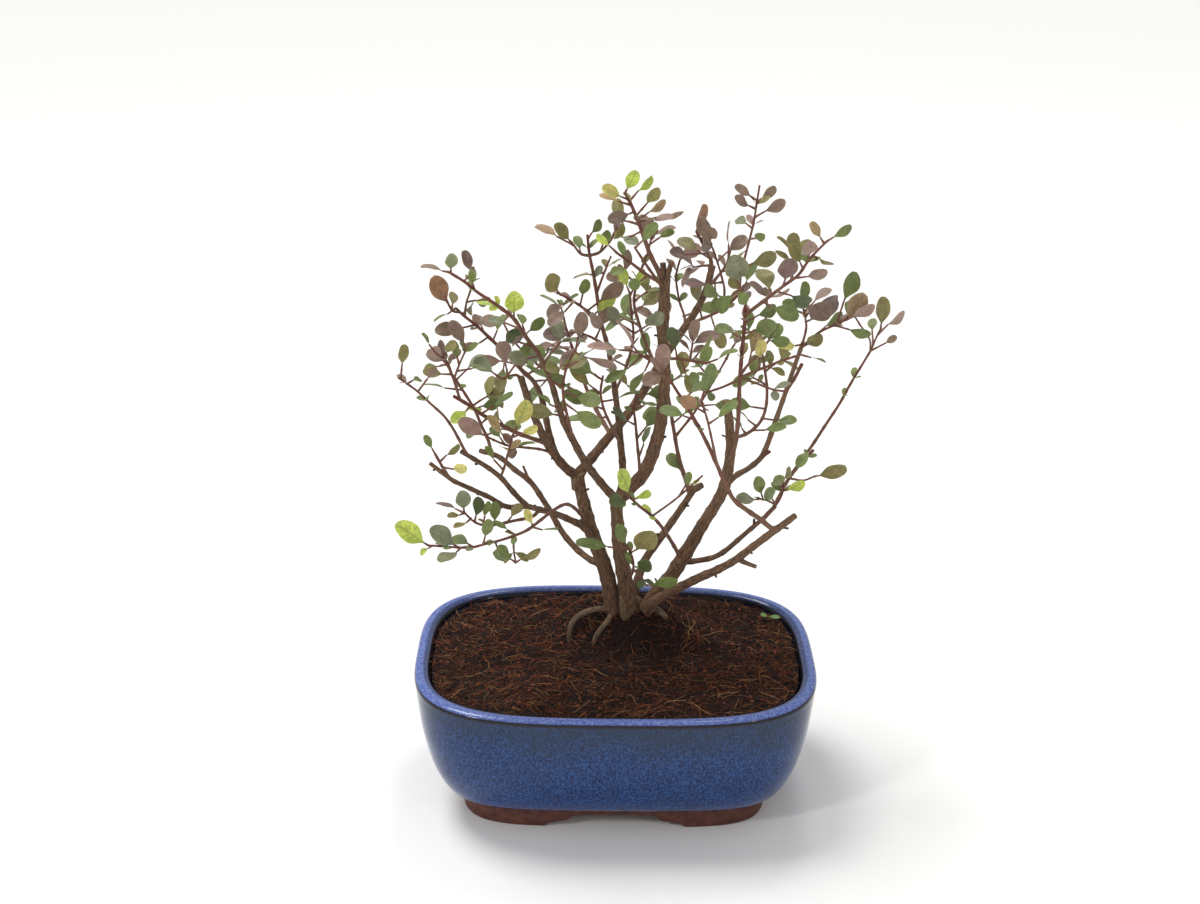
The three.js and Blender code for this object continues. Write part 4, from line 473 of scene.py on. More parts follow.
        (-20, 243, -24, 242, -2, 1, 12, "purple", 0.5),
        (-17, 242, -20, 236, -1, 1, 13, "bronze", 0.5),
        (-12, 239, -9, 246, 4, 1, 12, "bronze", 0.5),
        (-13, 240, -8, 236, 2, 1, 12, "grey", 0.6),
        (-22, 258, -26, 253, -8, 1, 12, "bronze", 0.4),
    )),
    "centre_twig": Limb("grey", (
        Stem((1.5, 1), ((-2, 213, 18), (3, 226, 8), (6, 240, 2), (5, 252, -4), (4, 262, -8))),
    ), (
        (4, 262, 2.6, 265.5, -9, 1, 10, "lime", 0.5),
        (4, 261, 6, 265, -8, 1, 9, "lime", 0.7),
        (5, 252, 10, 256, -2, 1, 10, "olive"),
        (6, 243, 0, 247, -10, 1, 13, "grey", 0.6),
        (6, 242, 12, 246, -12, 1, 13, "grey", 0.6),
        (5, 236, 8, 240, 12, 1, 11, "green"),
        (3, 226, -3, 229, -4, 1, 13, "pink", 0.9),
        (5.4, 248, -1, 251, 12, 1, 12, "bronze"),
    )),
    "centre_low_spray": Limb("green", (
        Stem((1.7, 1), (
            (-22, 188, -7), (-24, 197, -16), (-26, 206, -24), (-27, 215, -30), (-25, 226, -34),
            (-21, 234, -36),
        )),
    ), (
        (-25, 200, -31, 201, -22, 1, 12.5, "olive"),
        (-25, 203, -33, 206, -30, 1, 12.5, "green"),
        (-26, 207, -21, 203, -30, 1, 12.5, "green"),
        (-27, 213, -20, 210, -36, 1, 12.5, "green"),
        (-27, 215, -34, 219, -34, 1, 13.5, "green"),
        (-25, 225, -20, 228, -42, 1, 12.5, "grey"),
        (-22, 233, -16, 230, -40, 1, 13.5, "bronze"),
        (-21, 234, -20, 240, -38, 1, 11.5, "bronze"),
    )),
    "centre_pink_spray": Limb("pink", (
        Stem((2, 1.1), ((21, 225, -2), (15, 229, -9), (9, 232, -14), (4, 234, -18))),
    ), (
        (9, 232, 6, 236, -20, 1, 17, "pink"),
        (4, 234, 0, 234, -20, 1, 15, "pink"),
        (14, 229, 12, 224, -16, 1, 12.5, "green"),
        (10, 231, 4, 225, -24, 1, 12.5, "green"),
    )),
    "centre_right_spray": Limb("bronze", (
        Stem((1.7, 1), ((21, 230, -2), (27, 230, -10), (34, 229, -16), (41, 228, -20))),
    ), (
        (27, 230, 26, 235, -14, 1, 12.5, "dark"),
        (34, 229, 37, 233, -20, 1, 12.5, "green"),
        (33, 229, 34, 238, -10, 3, 11.5, "bronze"),
        (41, 228, 46, 230, -22, 1, 10.5, "green"),
        (29, 229, 31, 223, -18, 1, 10.5, "olive"),
    )),
    "centre_middle_spray": Limb("green", (
        Stem((1.7, 1), (
            (1, 186, 16), (-3, 194, 6), (-7, 203, -4), (-9, 212, -12), (-8, 221, -18),
        )),
    ), (
        (-6, 200, -12, 199, -4, 1, 12.5, "green"),
        (-7, 204, -15, 207, -8, 1, 12.5, "green"),
        (-8, 208, -2, 209, -14, 1, 12.5, "green"),
        (-9, 212, -14, 216, -16, 1, 12.5, "olive"),
        (-8, 221, -5, 227, -32, 1, 13.5, "pink"),
        (-8, 219, -13, 222, -22, 1, 12.5, "green"),
    )),
    "inner_right_twig": Limb("green", (
        Stem((1.6, 1), (
            (11, 168.5, 7), (10, 177, 14), (9, 186, 18), (8, 196, 16), (7, 205, 10), (8, 213, 4),
        )),
    ), (
        (10, 179, 12, 186, 8, 1, 10.5, "green"),
        (9, 189, 13, 195, 10, 1, 11.5, "green"),
        (8, 196, 4, 198, 8, 1, 12.5, "dark"),
        (7, 204, 12, 206, 4, 1, 12.5, "green"),
        (8, 213, 4, 216, 0, 1, 15, "olive"),
        (8, 210, 13, 212, 10, 1, 10.5, "green"),
    )),
    "right_cross_limb": Limb("green", (
        Stem((2.6, 1.3), (
            (79, 142, -26), (76, 142, -29), (70, 147, -32), (63, 152, -35), (57, 157, -37),
            (53, 164, -38), (49, 173, -39), (44, 184, -40), (39, 194, -41), (34, 203, -42),
            (29, 211, -43), (24, 219, -44),
        )),
        Stem((1.4, 0.9), ((48, 176, -39), (45, 188, -44), (42, 200, -48), (39, 209, -50))),
    ), (
        (39, 209, 40, 213, -51, 1, 13.5, "green"),
        (41, 203, 37, 205, -56, 1, 10.5, "copper"),
        (43, 197, 47, 200, -50, 1, 11.5, "green"),
        (36, 199, 31, 201, -40, 1, 12.5, "green"),
        (30, 209, 34, 213, -38, 1, 10.5, "green"),
        (24, 219, 20, 223, -46, 3, 11.5, "bronze"),
        (62, 153, 59, 151, -34, 0, 0, "green"),
    )),
    "right_low_spray": Limb("green", (
        Stem((1.8, 1.1), (
            (71, 147, 31), (74, 151, 25), (78, 156, 20), (80, 161, 18), (80, 166, 16),
        )),
        Stem((1.2, 0.9), ((77, 155, 21), (73, 157, 15), (68, 158, 11))),
    ), (
        (80, 163, 79, 165, 12, 1, 11, "green", 0.2),
        (80, 162, 82.2, 162.7, 15, 1, 11, "lime", 0.7),
        (77, 155.5, 75.5, 157.5, 14, 1, 11, "green", 0.3),
        (69, 158, 67, 157.4, 10, 1, 11, "grey", 0.6),
        (71, 157.5, 70, 160.5, 10, 1, 10, "green", 0.3),
        (80, 166, 80.6, 168.5, 20, 1, 9, "olive", 0.8),
    )),
    "right_long_limb": Limb("green", (
        Stem((1.9, 1.1), (
            (76.5, 153, 32), (79, 160, 33), (82, 167, 34), (87, 176, 34), (93, 186, 34),
            (99, 197, 33), (105, 208, 32), (110, 219, 31), (115, 229, 30), (118, 235, 29),
        )),
        Stem((1.6, 1.6), ((84, 171, 34), (89, 178, 40), (94, 184, 44))),
        Stem((1.1, 0.9), ((83, 169, 34), (90, 168, 30), (95, 170, 27))),
        Stem((1, 0.9), ((118, 235, 29), (117, 241, 26), (112, 248, 22))),
        Stem((1, 0.9), ((118, 235, 29), (120, 241, 31), (122, 246, 32))),
    ), (
        (95, 170, 97, 170.4, 26, 1, 14, "olive", 0.5),
        (93, 186, 92, 183.5, 31, 1, 11, "green", 0.5),
        (86, 175, 88, 172.5, 42, 1, 8, "green"),
        (112, 248, 110, 251, 20, 1, 11, "green", 0.4),
        (122, 246, 122, 248, 32, 1, 15, "olive", 0.3),
        (121, 243, 125, 248, 38, 1, 11, "pink", 0.9),
        (118, 235, 125, 239, 24, 1, 6, "bronze", 0.1),
        (119, 238, 118, 245, 40, 1, 8, "green"),
    )),
    "right_light_limb": Limb("bronze", (
        Stem((3, 2), (
            (51.5, 163, 12), (57, 170, 15), (63, 174, 18), (69, 180, 20), (72, 188, 21),
            (75, 199, 22), (78, 210, 23), (81, 221, 24), (84, 232, 24), (86, 239, 24),
        )),
        Stem((1.8, 1.8), ((69, 180, 20), (73, 183, 18))),
        Stem((1.8, 1.6), ((79, 214, 23), (83, 221, 20), (86, 228, 17))),
        Stem((1.4, 1), ((85, 236, 24), (92, 243, 16), (99, 247, 10), (105, 250, 6))),
        Stem((1.3, 0.9), ((86, 238, 24), (87, 247, 28), (85, 256, 30))),
    ), (
        (104.5, 249.8, 106, 251.6, 5, 1, 16, "tan", 0.1),
        (87, 249, 89, 250, 22, 1, 19, "bronze", 0.3),
        (86.4, 252, 88, 253.6, 33, 1, 17, "purple", 0.6),
        (105, 250, 108, 251.2, 2, 1, 14, "pink", 0.8),
        (101, 248, 104, 260, 12, 1, 13, "green", 0.5),
        (103, 249, 111, 261, -12, 1, 9, "lime", 1.1),
        (93, 243.5, 96, 247, 20, 1, 13, "green", 0.4),
        (100, 247.5, 107, 245.5, 8, 1, 12, "green", 0.6),
        (86, 236.6, 88, 237.6, 20, 1, 12, "olive", 0.4),
        (85, 238, 82.4, 237, 18, 1, 14, "straw", 0.7),
        (84, 233, 90, 231.4, 27, 1, 9, "green"),
        (86, 253, 83, 254, 26, 1, 11, "green", 0.4),
        (85, 256, 85, 259, 30, 1, 10, "green"),
        (86, 254, 90, 259, 34, 1, 12, "bronze"),
    )),
    "right_upright_limb": Limb("bronze", (
        Stem((2.4, 1.6), (
            (54, 178, 9), (56, 186, 3), (57, 198, -3), (57, 210, -7), (57, 222, -10),
            (57.5, 235, -12), (58, 248, -14), (58, 261, -16),
        )),
        Stem((1.4, 1.1), ((57, 221, -10), (66, 225, -18), (75, 229, -24), (83, 232, -28))),
        Stem((1.2, 0.9), ((57, 221, -10), (65, 218, -16), (73, 215, -22), (80, 214, -26))),
        Stem((1.3, 1), ((57, 220, -10), (49, 216, -14), (41, 213, -20))),
        Stem((1.5, 1), ((57, 222, -10), (61, 228, -4), (66, 233, 2))),
        Stem((1.9, 1), (
            (58, 252, -14), (64, 257, -18), (70, 262, -22), (76, 267, -26), (82, 272, -29),
            (87, 280, -32), (94, 288, -35),
        )),
        Stem((1.4, 0.9), (
            (58, 258, -15.5), (55, 266, -14), (56, 276, -13), (58, 286, -12), (60, 296, -12),
            (61, 305, -12), (62, 314, -12),
        )),
    ), (
        (61, 307, 58, 309, -13, 1, 9, "bronze", 0.5),
        (61, 303, 57.6, 304.4, -16, 1, 10, "bronze", 0.7),
        (61.5, 306, 63, 308, -9, 1, 9, "bronze", 0.4),
        (60.5, 299, 65, 302, -8, 1, 11, "bronze", 0.5),
        (59, 294, 57, 296, -6, 1, 9, "grey", 0.3),
        (58, 289, 61, 289, -17, 1, 8, "green", 0.3),
        (55, 267, 54.6, 269, -20, 1, 17, "grey", 0.1),
        (55, 265, 52, 262, -10, 1, 12, "green", 0.4),
        (56, 275, 60, 277, -10, 1, 12, "olive", 0.4),
        (59.5, 254, 58, 257, -24, 1, 10, "green", 0.2),
        (70, 262, 69, 264.5, -18, 1, 15, "olive", 0.4),
        (75, 266, 76, 269.5, -31, 1, 14, "purple", 0.3),
        (79, 269.5, 79, 282, -22, 3, 11, "olive"),
        (84, 275, 82.6, 277.5, -29, 1, 11, "olive", 0.4),
        (80, 270, 86, 271, -34, 1, 11, "bronze", 0.4),
        (86, 279, 86.4, 281.5, -38, 1, 11, "pink", 0.3),
        (88, 281, 91, 280, -28, 1, 9, "olive", 1.1),
        (93, 287, 91, 290, -34, 1, 9, "tan", 0.6),
        (94, 288, 97, 290, -36, 1, 9, "green", 0.7),
        (66, 258.7, 71, 256, -24, 1, 12, "green"),
        (72, 264, 79, 262, -16, 1, 13, "dark", 0.4),
        (58, 248, 64, 252, -9, 1, 11, "green", 0.4),
        (57.8, 243, 63, 244, -20, 1, 12, "green"),
        (61, 228, 61.6, 233, 3, 1, 12, "tan", 0.5),
        (66, 233, 70, 240, 6, 3, 10, "green"),
        (66, 225, 66, 231, -22, 1, 11, "straw", 0.6),
        (41, 213, 38, 216, -24, 1, 11, "green"),
        (58, 240, 53, 243, -6, 1, 11, "green"),
    )),
    "right_inner_limb": Limb("green", (
        Stem((1.9, 1.1), (
            (53.4, 190, 7), (59, 191, 15), (64, 194, 23), (68, 199, 31), (70, 206, 37),
            (70, 216, 43), (68, 228, 48), (66, 240, 52), (68, 252, 55),
        )),
    ), (
        (61, 192, 59, 195, 22, 1, 9, "green"),
        (66, 196, 62, 199, 22, 1, 11.5, "green"),
        (65, 192, 70, 194, 18, 1, 10.5, "green"),
        (69, 200, 76, 199, 26, 1, 10.5, "green"),
        (70, 205, 63, 206, 32, 1, 12.5, "green"),
        (70, 217, 63, 221, 48, 2, 10.5, "green"),
        (69, 224, 76, 230, 54, 2, 11.5, "olive"),
        (66, 240, 60, 244, 58, 2, 11.5, "green"),
        (68, 252, 68, 261, 58, 2, 11.5, "bronze"),
    )),
    "rear_top_limb": Limb("bronze", (
        Stem((2.4, 1.3), ((42, 273, 49.8), (41, 279, 48), (38, 285, 44), (34, 292, 40))),
    ), (
        (34, 292, 34.6, 294.4, 40, 1, 11, "copper", 0.9),
        (37, 287, 38.6, 288.4, 36, 1, 12, "pink", 0.1),
        (41, 280, 39.6, 282.4, 38, 1, 11, "bronze", 0.3),
        (41, 279, 35, 283, 52, 1, 12, "olive", 0.6),
        (40, 282, 30, 281, 30, 1, 10, "purple", 0.5),
        (41, 276, 33, 275, 54, 2, 12, "bronze"),
    )),
    "rear_top_shoot": Limb("bronze", (
        Stem((1.8, 1), ((39.4, 264, 49), (44, 270, 53), (48, 276, 57), (50, 283, 60))),
    ), (
        (49, 280, 49, 286, 62, 1, 12.5, "bronze"),
        (46, 273, 52, 274, 64, 3, 11.5, "olive"),
        (43, 269, 44, 262, 60, 1, 10.5, "green"),
    )),
    "rear_front_limb": Limb("bronze", (
        Stem((1.8, 1), (
            (31, 247.5, 46), (38, 250, 38), (46, 254, 30), (52, 259, 24), (56, 264, 18),
        )),
        Stem((1.3, 0.9), ((46, 254, 30), (48, 263, 26), (46, 272, 22), (43, 281, 18))),
    ), (
        (43, 281, 41, 286, 16, 1, 13.5, "bronze"),
        (44, 278, 49, 283, 24, 1, 11.5, "bronze"),
        (47, 268, 40, 267, 18, 1, 12.5, "purple"),
        (56, 264, 58, 268, 14, 1, 12.5, "green"),
        (38, 250, 36, 258, 30, 1, 12.5, "olive"),
        (42, 252, 44, 246, 24, 1, 12.5, "olive"),
        (52, 259, 46, 261, 14, 1, 12.5, "green"),
    )),
    "diagonal_low_limb": Limb("bronze", (
        Stem((1.9, 1.1), (
            (17.5, 225, 38), (13, 235, 44), (9, 246, 48), (6, 258, 50), (8, 270, 51),
            (12, 282, 50),
        )),
    ), (
        (9, 246, 2, 250, 54, 2, 11.5, "green"),
        (6, 258, 12, 263, 58, 2, 11.5, "olive"),
        (7, 266, 1, 272, 48, 2, 10.5, "bronze"),
        (12, 282, 14, 290, 50, 2, 11.5, "bronze"),
    )),
    "diagonal_high_limb": Limb("bronze", (
        Stem((1.6, 1), ((25, 237.5, 42.5), (30, 248, 54), (27, 259, 62), (25, 270, 66))),
    ), (
        (29, 251, 36, 254, 64, 1, 11.5, "green"),
        (27, 259, 20, 263, 68, 2, 11.5, "green"),
        (25, 270, 27, 279, 68, 2, 11.5, "bronze"),
    )),
}


# How the tree is set out

EYE = np.array([-15.0, -798.0, 518.0])
SEED = 20260
BLADE_WIDTH = 0.66
STALK_WIDTH = 0.9
WIDEST_AT = 0.56
TIP_WIDTH = 0.5
BLADE_ARCH = 0.07
LEAF_GAP = 1.7
OWN_GAP = 0.9
WOOD_GAP = 1.1
TRIES = 15
TURN_STEP = 0.6
LEAN_STEP = 0.3
SHOOT_THICK = (1.3, 0.9)
BALL_STEP = 2.5
SAMPLE_STEP = 2.6

# A limb's own wood and leaves aren't in a leaf's way this near to where it grows: a share of the
# leaf's length from the blade's start, and millimetres from the stalk's.
WOOD_FREE_SHARE, WOOD_FREE = 0.4, 3
LEAF_FREE_SHARE, LEAF_FREE = 0.35, 2

# How a shoot's leaves are drawn. A spread is an angle from the shoot, in radians.
START_TURN = 0.6
SINGLE_SPREAD = (-0.2, 0.2)
PAIR_SPREAD = (0.75, 1.15)
LENGTH_SHARES = (0.92, 1.1)
WIDTH_SHARES = (0.9, 1.1)
FOLDS = (0.05, 0.35)
INNER_LENGTH, INNER_PLACE = 1.1, 0.5
SUNK = 0.5
ASIDE = (0.2, 0.3)
TO_EYE, UPWARD, LEANING = 0.5, 0.6, 0.75
FLATTENED = (1, 0.5, 1)


def vec(*parts: float) -> Array:
    """A point or direction of doubles."""
    return np.array(parts, dtype=float)


def unit(direction: Array) -> Array:
    """The direction with a length of one."""
    return direction / np.linalg.norm(direction)


def square_to(along: Array, wanted: Array) -> Array:
    """The unit direction at right angles to one, as near as it can be to a wanted one."""
    return unit(wanted - np.dot(wanted, along) * along)


def turned(direction: Array, axis: Array, angle: float) -> Array:
    """A direction turned about an axis by the right-hand rule."""
    cos, sin = math.cos(angle), math.sin(angle)
    return direction * cos + np.cross(axis, direction) * sin + axis * np.dot(axis, direction) * (1 - cos)


def seen(point: Sequence[float]) -> Array:
    """Turns a seen point into its real place.

    Args:
        point: x and z on the upright plane through the pot's middle, and the depth.

    Returns:
        The place in the pot's frame, in millimetres.
    """
    x, z, y = point
    far = (y - EYE[1]) / -EYE[1]
    return vec(EYE[0] + (x - EYE[0]) * far, y, EYE[2] + (z - EYE[2]) * far)


class Draws:
    """A repeatable run of numbers between 0 and 1."""

    def __init__(self, seed: int) -> None:
        """Starts the run."""
        self.state = seed

    def between(self, low: float, high: float) -> float:
        """The next number, between two limits."""
        self.state = (self.state * 1664525 + 1013904223) % 4294967296
        return low + (high - low) * (self.state / 4294967296)


@dataclass(frozen=True)
class Bud:
    """A leaf before it is posed, with what its pose is worked out from."""

    base: Array
    along: Array
    outward: Array
    spread: float
    length: float
    lean: Array
    turn: float
    fold: float
    narrow: float
    single: bool


@dataclass(frozen=True)
class Shoot:
    """A shoot in the pot's frame, with what it bears."""

    start: Array
    end: Array
    count: int
    size: float
    colour: str
    face: Optional[float] = None

    def buds(self, draws: Draws) -> list[Bud]:
        """Its leaves before they are posed: pairs, and a single one at the tip of an odd number.

        Args:
            draws: the run of random numbers.

        Returns:
            A bud for each leaf.
        """
        along = unit(self.end - self.start)
        outward = square_to(along, vec(along[2] + ASIDE[0], ASIDE[1], -along[0]))
        start = draws.between(-START_TURN, START_TURN)
        buds = []
        for i in range(self.count):
            pair = i // 2
            single = self.count % 2 == 1 and i == self.count - 1
            last = single or pair == self.count // 2 - 1
            spread = draws.between(*(SINGLE_SPREAD if single else PAIR_SPREAD))
            length = self.size * draws.between(*LENGTH_SHARES) * (1 if last else INNER_LENGTH)
            lean = vec(*(draws.between(-1, 1) for _ in range(3)))
            fold = draws.between(*FOLDS)
            narrow = draws.between(*WIDTH_SHARES)
            base = self.start + (self.end - self.start) * (1 if last else INNER_PLACE) - along * SUNK
            turn = start + pair * (math.pi / 2) + (i % 2) * math.pi
            buds.append(Bud(base, along, outward, spread, length, lean, turn, fold, narrow, single))
        return buds

    def pose(self, bud: Bud, attempt: int) -> Leaf:
        """One try at a leaf: a pair's leaf is turned about its shoot, and a single one is leant over.

        Args:
            bud: the leaf before it is posed.
            attempt: the number of the try.

        Returns:
            The posed leaf.
        """
        step = math.ceil(attempt / 2) * (1 if attempt % 2 == 0 else -1)
        to_eye = unit(EYE - bud.base)
        if bud.single:
            flat = unit(bud.along * vec(*FLATTENED))
            direction = unit(flat + square_to(bud.along, to_eye) * (bud.spread + step * LEAN_STEP))
        else:
            side = turned(bud.outward, bud.along, bud.turn + step * TURN_STEP)
            direction = bud.along * math.cos(bud.spread) + side * math.sin(bud.spread)
        if self.face is None:
            face = square_to(direction, to_eye * TO_EYE + vec(0, 0, UPWARD) + bud.lean * LEANING)
        else:
            face = turned(square_to(direction, to_eye), direction, self.face)
        stalked = self.count == 1
        return Leaf(
            root=self.start if stalked else bud.base, base=bud.base, along=direction, face=face,
            length=bud.length, width=bud.length * BLADE_WIDTH * bud.narrow,
            fold=bud.fold, stalked=stalked, colour=self.colour,
        )


@dataclass(frozen=True)
class Leaf:
    """One blade: where it grows, which way it points and faces, and its sizes in millimetres."""

    root: Array
    base: Array
    along: Array
    face: Array
    length: float
    width: float
    fold: float
    stalked: bool
    colour: str

    def plain_points(self) -> Array:
        """The points of the plain blade, in the order of the part's source."""
        side = np.cross(self.along, self.face)
        half, bow = self.width / 2, BLADE_ARCH * self.length

        def at(share: float, out: float, lift: float) -> Array:
            """A place on the blade, by its share of the length."""
            return self.base + self.along * (share * self.length) + side * out + self.face * lift

        points = [
            self.root,
            at(WIDEST_AT, -half, bow + self.fold * half),
            at(WIDEST_AT, 0, bow),
            at(WIDEST_AT, half, bow + self.fold * half),
            at(1, -half * TIP_WIDTH, 0),
            at(1, half * TIP_WIDTH, 0),
        ]
        if self.stalked:
            points[0] = self.root - side * (STALK_WIDTH / 2)
            points += [at(0, -STALK_WIDTH / 2, 0), at(0, STALK_WIDTH / 2, 0)]
            points.append(self.root + side * (STALK_WIDTH / 2))
        return np.array(points)


BLADE_END = [(1, 2, 4), (2, 5, 4), (2, 3, 5)]
PLAIN_TRIANGLES = np.array([(0, 3, 2), (0, 2, 1), *BLADE_END])
PLAIN_EDGE = (0, 3, 5, 4, 1)
STALKED_TRIANGLES = np.array([(0, 8, 7), (0, 7, 6), (6, 7, 2), (7, 3, 2), (6, 2, 1), *BLADE_END])
STALKED_EDGE = (0, 8, 7, 3, 5, 4, 1, 6)
PLAIN_CORNERS = 6


def blade_triangles(points: Array) -> Array:
    """The corners of a plain blade's triangles."""
    return points[STALKED_TRIANGLES if len(points) > PLAIN_CORNERS else PLAIN_TRIANGLES]


def blade_samples(points: Array) -> Array:
    """Points round a plain blade's edge and at its middle."""
    samples = [points[2]]
    edge = STALKED_EDGE if len(points) > PLAIN_CORNERS else PLAIN_EDGE
    for i, corner in enumerate(edge):
        a, b = points[corner], points[edge[(i + 1) % len(edge)]]
        steps = max(1, math.ceil(np.linalg.norm(b - a) / SAMPLE_STEP))
        samples += [a + (b - a) * (k / steps) for k in range(steps)]
    return np.array(samples)


def distances(places: Array, triangles: Array) -> Array:
    """How far each place is from the nearest of some triangles.

    Args:
        places: points, one a row.
        triangles: corners of the triangles, as triangle, corner, axis.

    Returns:
        One distance for each place.
    """
    starts = triangles.reshape(-1, 3)
    edges = np.roll(triangles, -1, axis=1).reshape(-1, 3) - starts
    offsets = places[:, None] - starts[None]
    shares = np.einsum("nej,ej->ne", offsets, edges) / np.einsum("ej,ej->e", edges, edges)
    away = np.linalg.norm(offsets - np.clip(shares, 0, 1)[..., None] * edges, axis=2)
    best = away.min(axis=1)
    a, b, c = triangles[:, 0], triangles[:, 1], triangles[:, 2]
    normals = np.cross(b - a, c - a)
    normals = normals / np.linalg.norm(normals, axis=1)[:, None]
    sides = np.cross(edges, np.repeat(normals, 3, axis=0))
    within = (np.einsum("nej,ej->ne", offsets, sides) <= 0).reshape(len(places), -1, 3).all(axis=2)
    flat = np.abs(np.einsum("nmj,mj->nm", places[:, None] - a[None], normals))
    return np.minimum(best, np.where(within, flat, np.inf).min(axis=1))


def stem_balls(route: Array, thick: tuple[float, float]) -> tuple[Array, Array]:
    """Balls strung along a stem, close enough together to stand for it.

    Args:
        route: the stem's points.
        thick: its diameters at the two ends.

    Returns:
        The balls' centres and their radii.
    """
    radii = taper(route, thick)
    centres, sizes = [], []
    for i in range(len(route) - 1):
        steps = max(1, math.ceil(np.linalg.norm(route[i + 1] - route[i]) / BALL_STEP))
        for k in range(steps + 1):
            share = k / steps
            centres.append(route[i] + (route[i + 1] - route[i]) * share)
            sizes.append(radii[i] + (radii[i + 1] - radii[i]) * share)
    return np.array(centres), np.array(sizes)


def taper(route: Array, thick: tuple[float, float]) -> Array:
    """Radii along a route, from the diameters at its two ends."""
    steps = np.concatenate([[0.0], np.cumsum(np.linalg.norm(np.diff(route, axis=0), axis=1))])
    return (thick[0] + (thick[1] - thick[0]) * (steps / steps[-1])) / 2


class Crowd:
    """What stands in the way of a leaf: the wood of every limb and the leaves set so far."""

    def __init__(self) -> None:
        """Starts with nothing."""
        self.centres: list[Array] = []
        self.radii: list[Array] = []
        self.owners: list[Array] = []
        self.shoots: list[Array] = []
        self.leaves: list[tuple[int, Array, Array, float]] = []
        self.wood: Optional[tuple[Array, Array, Array, Array]] = None

    def add_stem(self, owner: int, route: Array, thick: tuple[float, float], shoot: int = -1) -> None:
        """Puts a stem in the way.

        Args:
            owner: the number of the limb that it belongs to, or -1 for the trunk.
            route: its points.
            thick: its diameters at the two ends.
            shoot: the number of the shoot, if it is one.
        """
        centres, radii = stem_balls(route, thick)
        self.centres.append(centres)
        self.radii.append(radii)
        self.owners.append(np.full(len(radii), owner))
        self.shoots.append(np.full(len(radii), shoot))

    def close(self) -> None:
        """Ends the adding of stems."""
        parts = (self.centres, self.radii, self.owners, self.shoots)
        self.wood = tuple(np.concatenate(part) for part in parts)

    def is_free(self, owner: int, leaf: Leaf, shoot: int) -> bool:
        """Whether a leaf is clear of the wood and of the leaves set so far.

        Args:
            owner: the number of its limb.
            leaf: the leaf.
            shoot: the number of its shoot, which isn't in its way.

        Returns:
            True if nothing is in its way.
        """
        points = leaf.plain_points()
        return self.clears_wood(owner, leaf, shoot, points) and self.clears_leaves(owner, leaf, points)

    def clears_wood(self, owner: int, leaf: Leaf, shoot: int, points: Array) -> bool:
        """Whether a leaf, with its plain blade's points, is clear of the wood."""
        reach = np.linalg.norm(leaf.base - leaf.root) + leaf.length
        centres, radii, owners, shoots = self.wood
        near = np.linalg.norm(centres - points[2], axis=1) <= reach + radii + WOOD_GAP
        own = owners == owner
        near &= shoots != shoot
        from_base = np.linalg.norm(centres - leaf.base, axis=1)
        from_root = np.linalg.norm(centres - leaf.root, axis=1)
        near &= ~(own & (from_base < leaf.length * WOOD_FREE_SHARE))
        near &= ~(own & (from_root < WOOD_FREE))
        if not near.any():
            return True
        room = radii[near] + np.where(own[near], OWN_GAP / 2, WOOD_GAP)
        return not (distances(centres[near], blade_triangles(points)) < room).any()

    def clears_leaves(self, owner: int, leaf: Leaf, points: Array) -> bool:
        """Whether a leaf, with its plain blade's points, is clear of the leaves set so far."""
        reach = np.linalg.norm(leaf.base - leaf.root) + leaf.length
        samples = blade_samples(points)
        for other_owner, other_points, other_samples, other_length in self.leaves:
            if np.linalg.norm(other_points[2] - points[2]) > reach + other_length:
                continue
            mine = other_owner == owner
            room = OWN_GAP if mine else LEAF_GAP
            for tested, against in ((samples, other_points), (other_samples, points)):
                if mine:
                    far = np.linalg.norm(tested - leaf.base, axis=1) >= leaf.length * LEAF_FREE_SHARE
                    far &= np.linalg.norm(tested - leaf.root, axis=1) >= LEAF_FREE
                    tested = tested[far]
                if len(tested) and (distances(tested, blade_triangles(against)) < room).any():
                    return False
        return True

    def add_leaf(self, owner: int, leaf: Leaf) -> None:
        """Puts a leaf in the way."""
        points = leaf.plain_points()
        length = float(np.linalg.norm(leaf.base - leaf.root)) + leaf.length
        self.leaves.append((owner, points, blade_samples(points), length))


def on_stems(stems: Sequence[Stem], x: float, z: float) -> Point:
    """The nearest point of some stems to a seen place.

    Args:
        stems: the stems.
        x: the seen place's x.
        z: the seen place's z.

    Returns:
        The seen point, with its depth.
    """
    best, nearest = (0.0, 0.0, 0.0), math.inf
    for stem in stems:
        for a, b in zip(stem.route, stem.route[1:]):
            dx, dz = b[0] - a[0], b[1] - a[1]
            share = min(max(((x - a[0]) * dx + (z - a[1]) * dz) / (dx * dx + dz * dz), 0), 1)
            point = (a[0] + dx * share, a[1] + dz * share, a[2] + (b[2] - a[2]) * share)
            away = math.hypot(point[0] - x, point[1] - z)
            if away < nearest:
                best, nearest = point, away
    return best


@dataclass
class Grown:
    """A limb as it grew: its stems' routes in the pot's frame, the tree's number for its first
    shoot, its shoots and its leaves.
    """

    colour: str
    stems: list[tuple[Array, tuple[float, float]]]
    first_shoot: int
    shoots: list[Shoot] = field(default_factory=list)
    leaves: list[Leaf] = field(default_factory=list)


def rooted(limb: Limb) -> list[Stem]:
    """A limb's stems, each started on the middle line of the wood that it grows from."""
    grown: list[Stem] = []
    for stem in limb.stems:
        parents = grown or list(BARE_STEMS.values())
        start = on_stems(parents, stem.route[0][0], stem.route[0][1])
        grown.append(Stem(stem.thick, (start, *stem.route[1:])))
    return grown


def seen_route(stem: Stem) -> Array:
    """A stem's route in the pot's frame."""
    return np.array([seen(point) for point in stem.route])


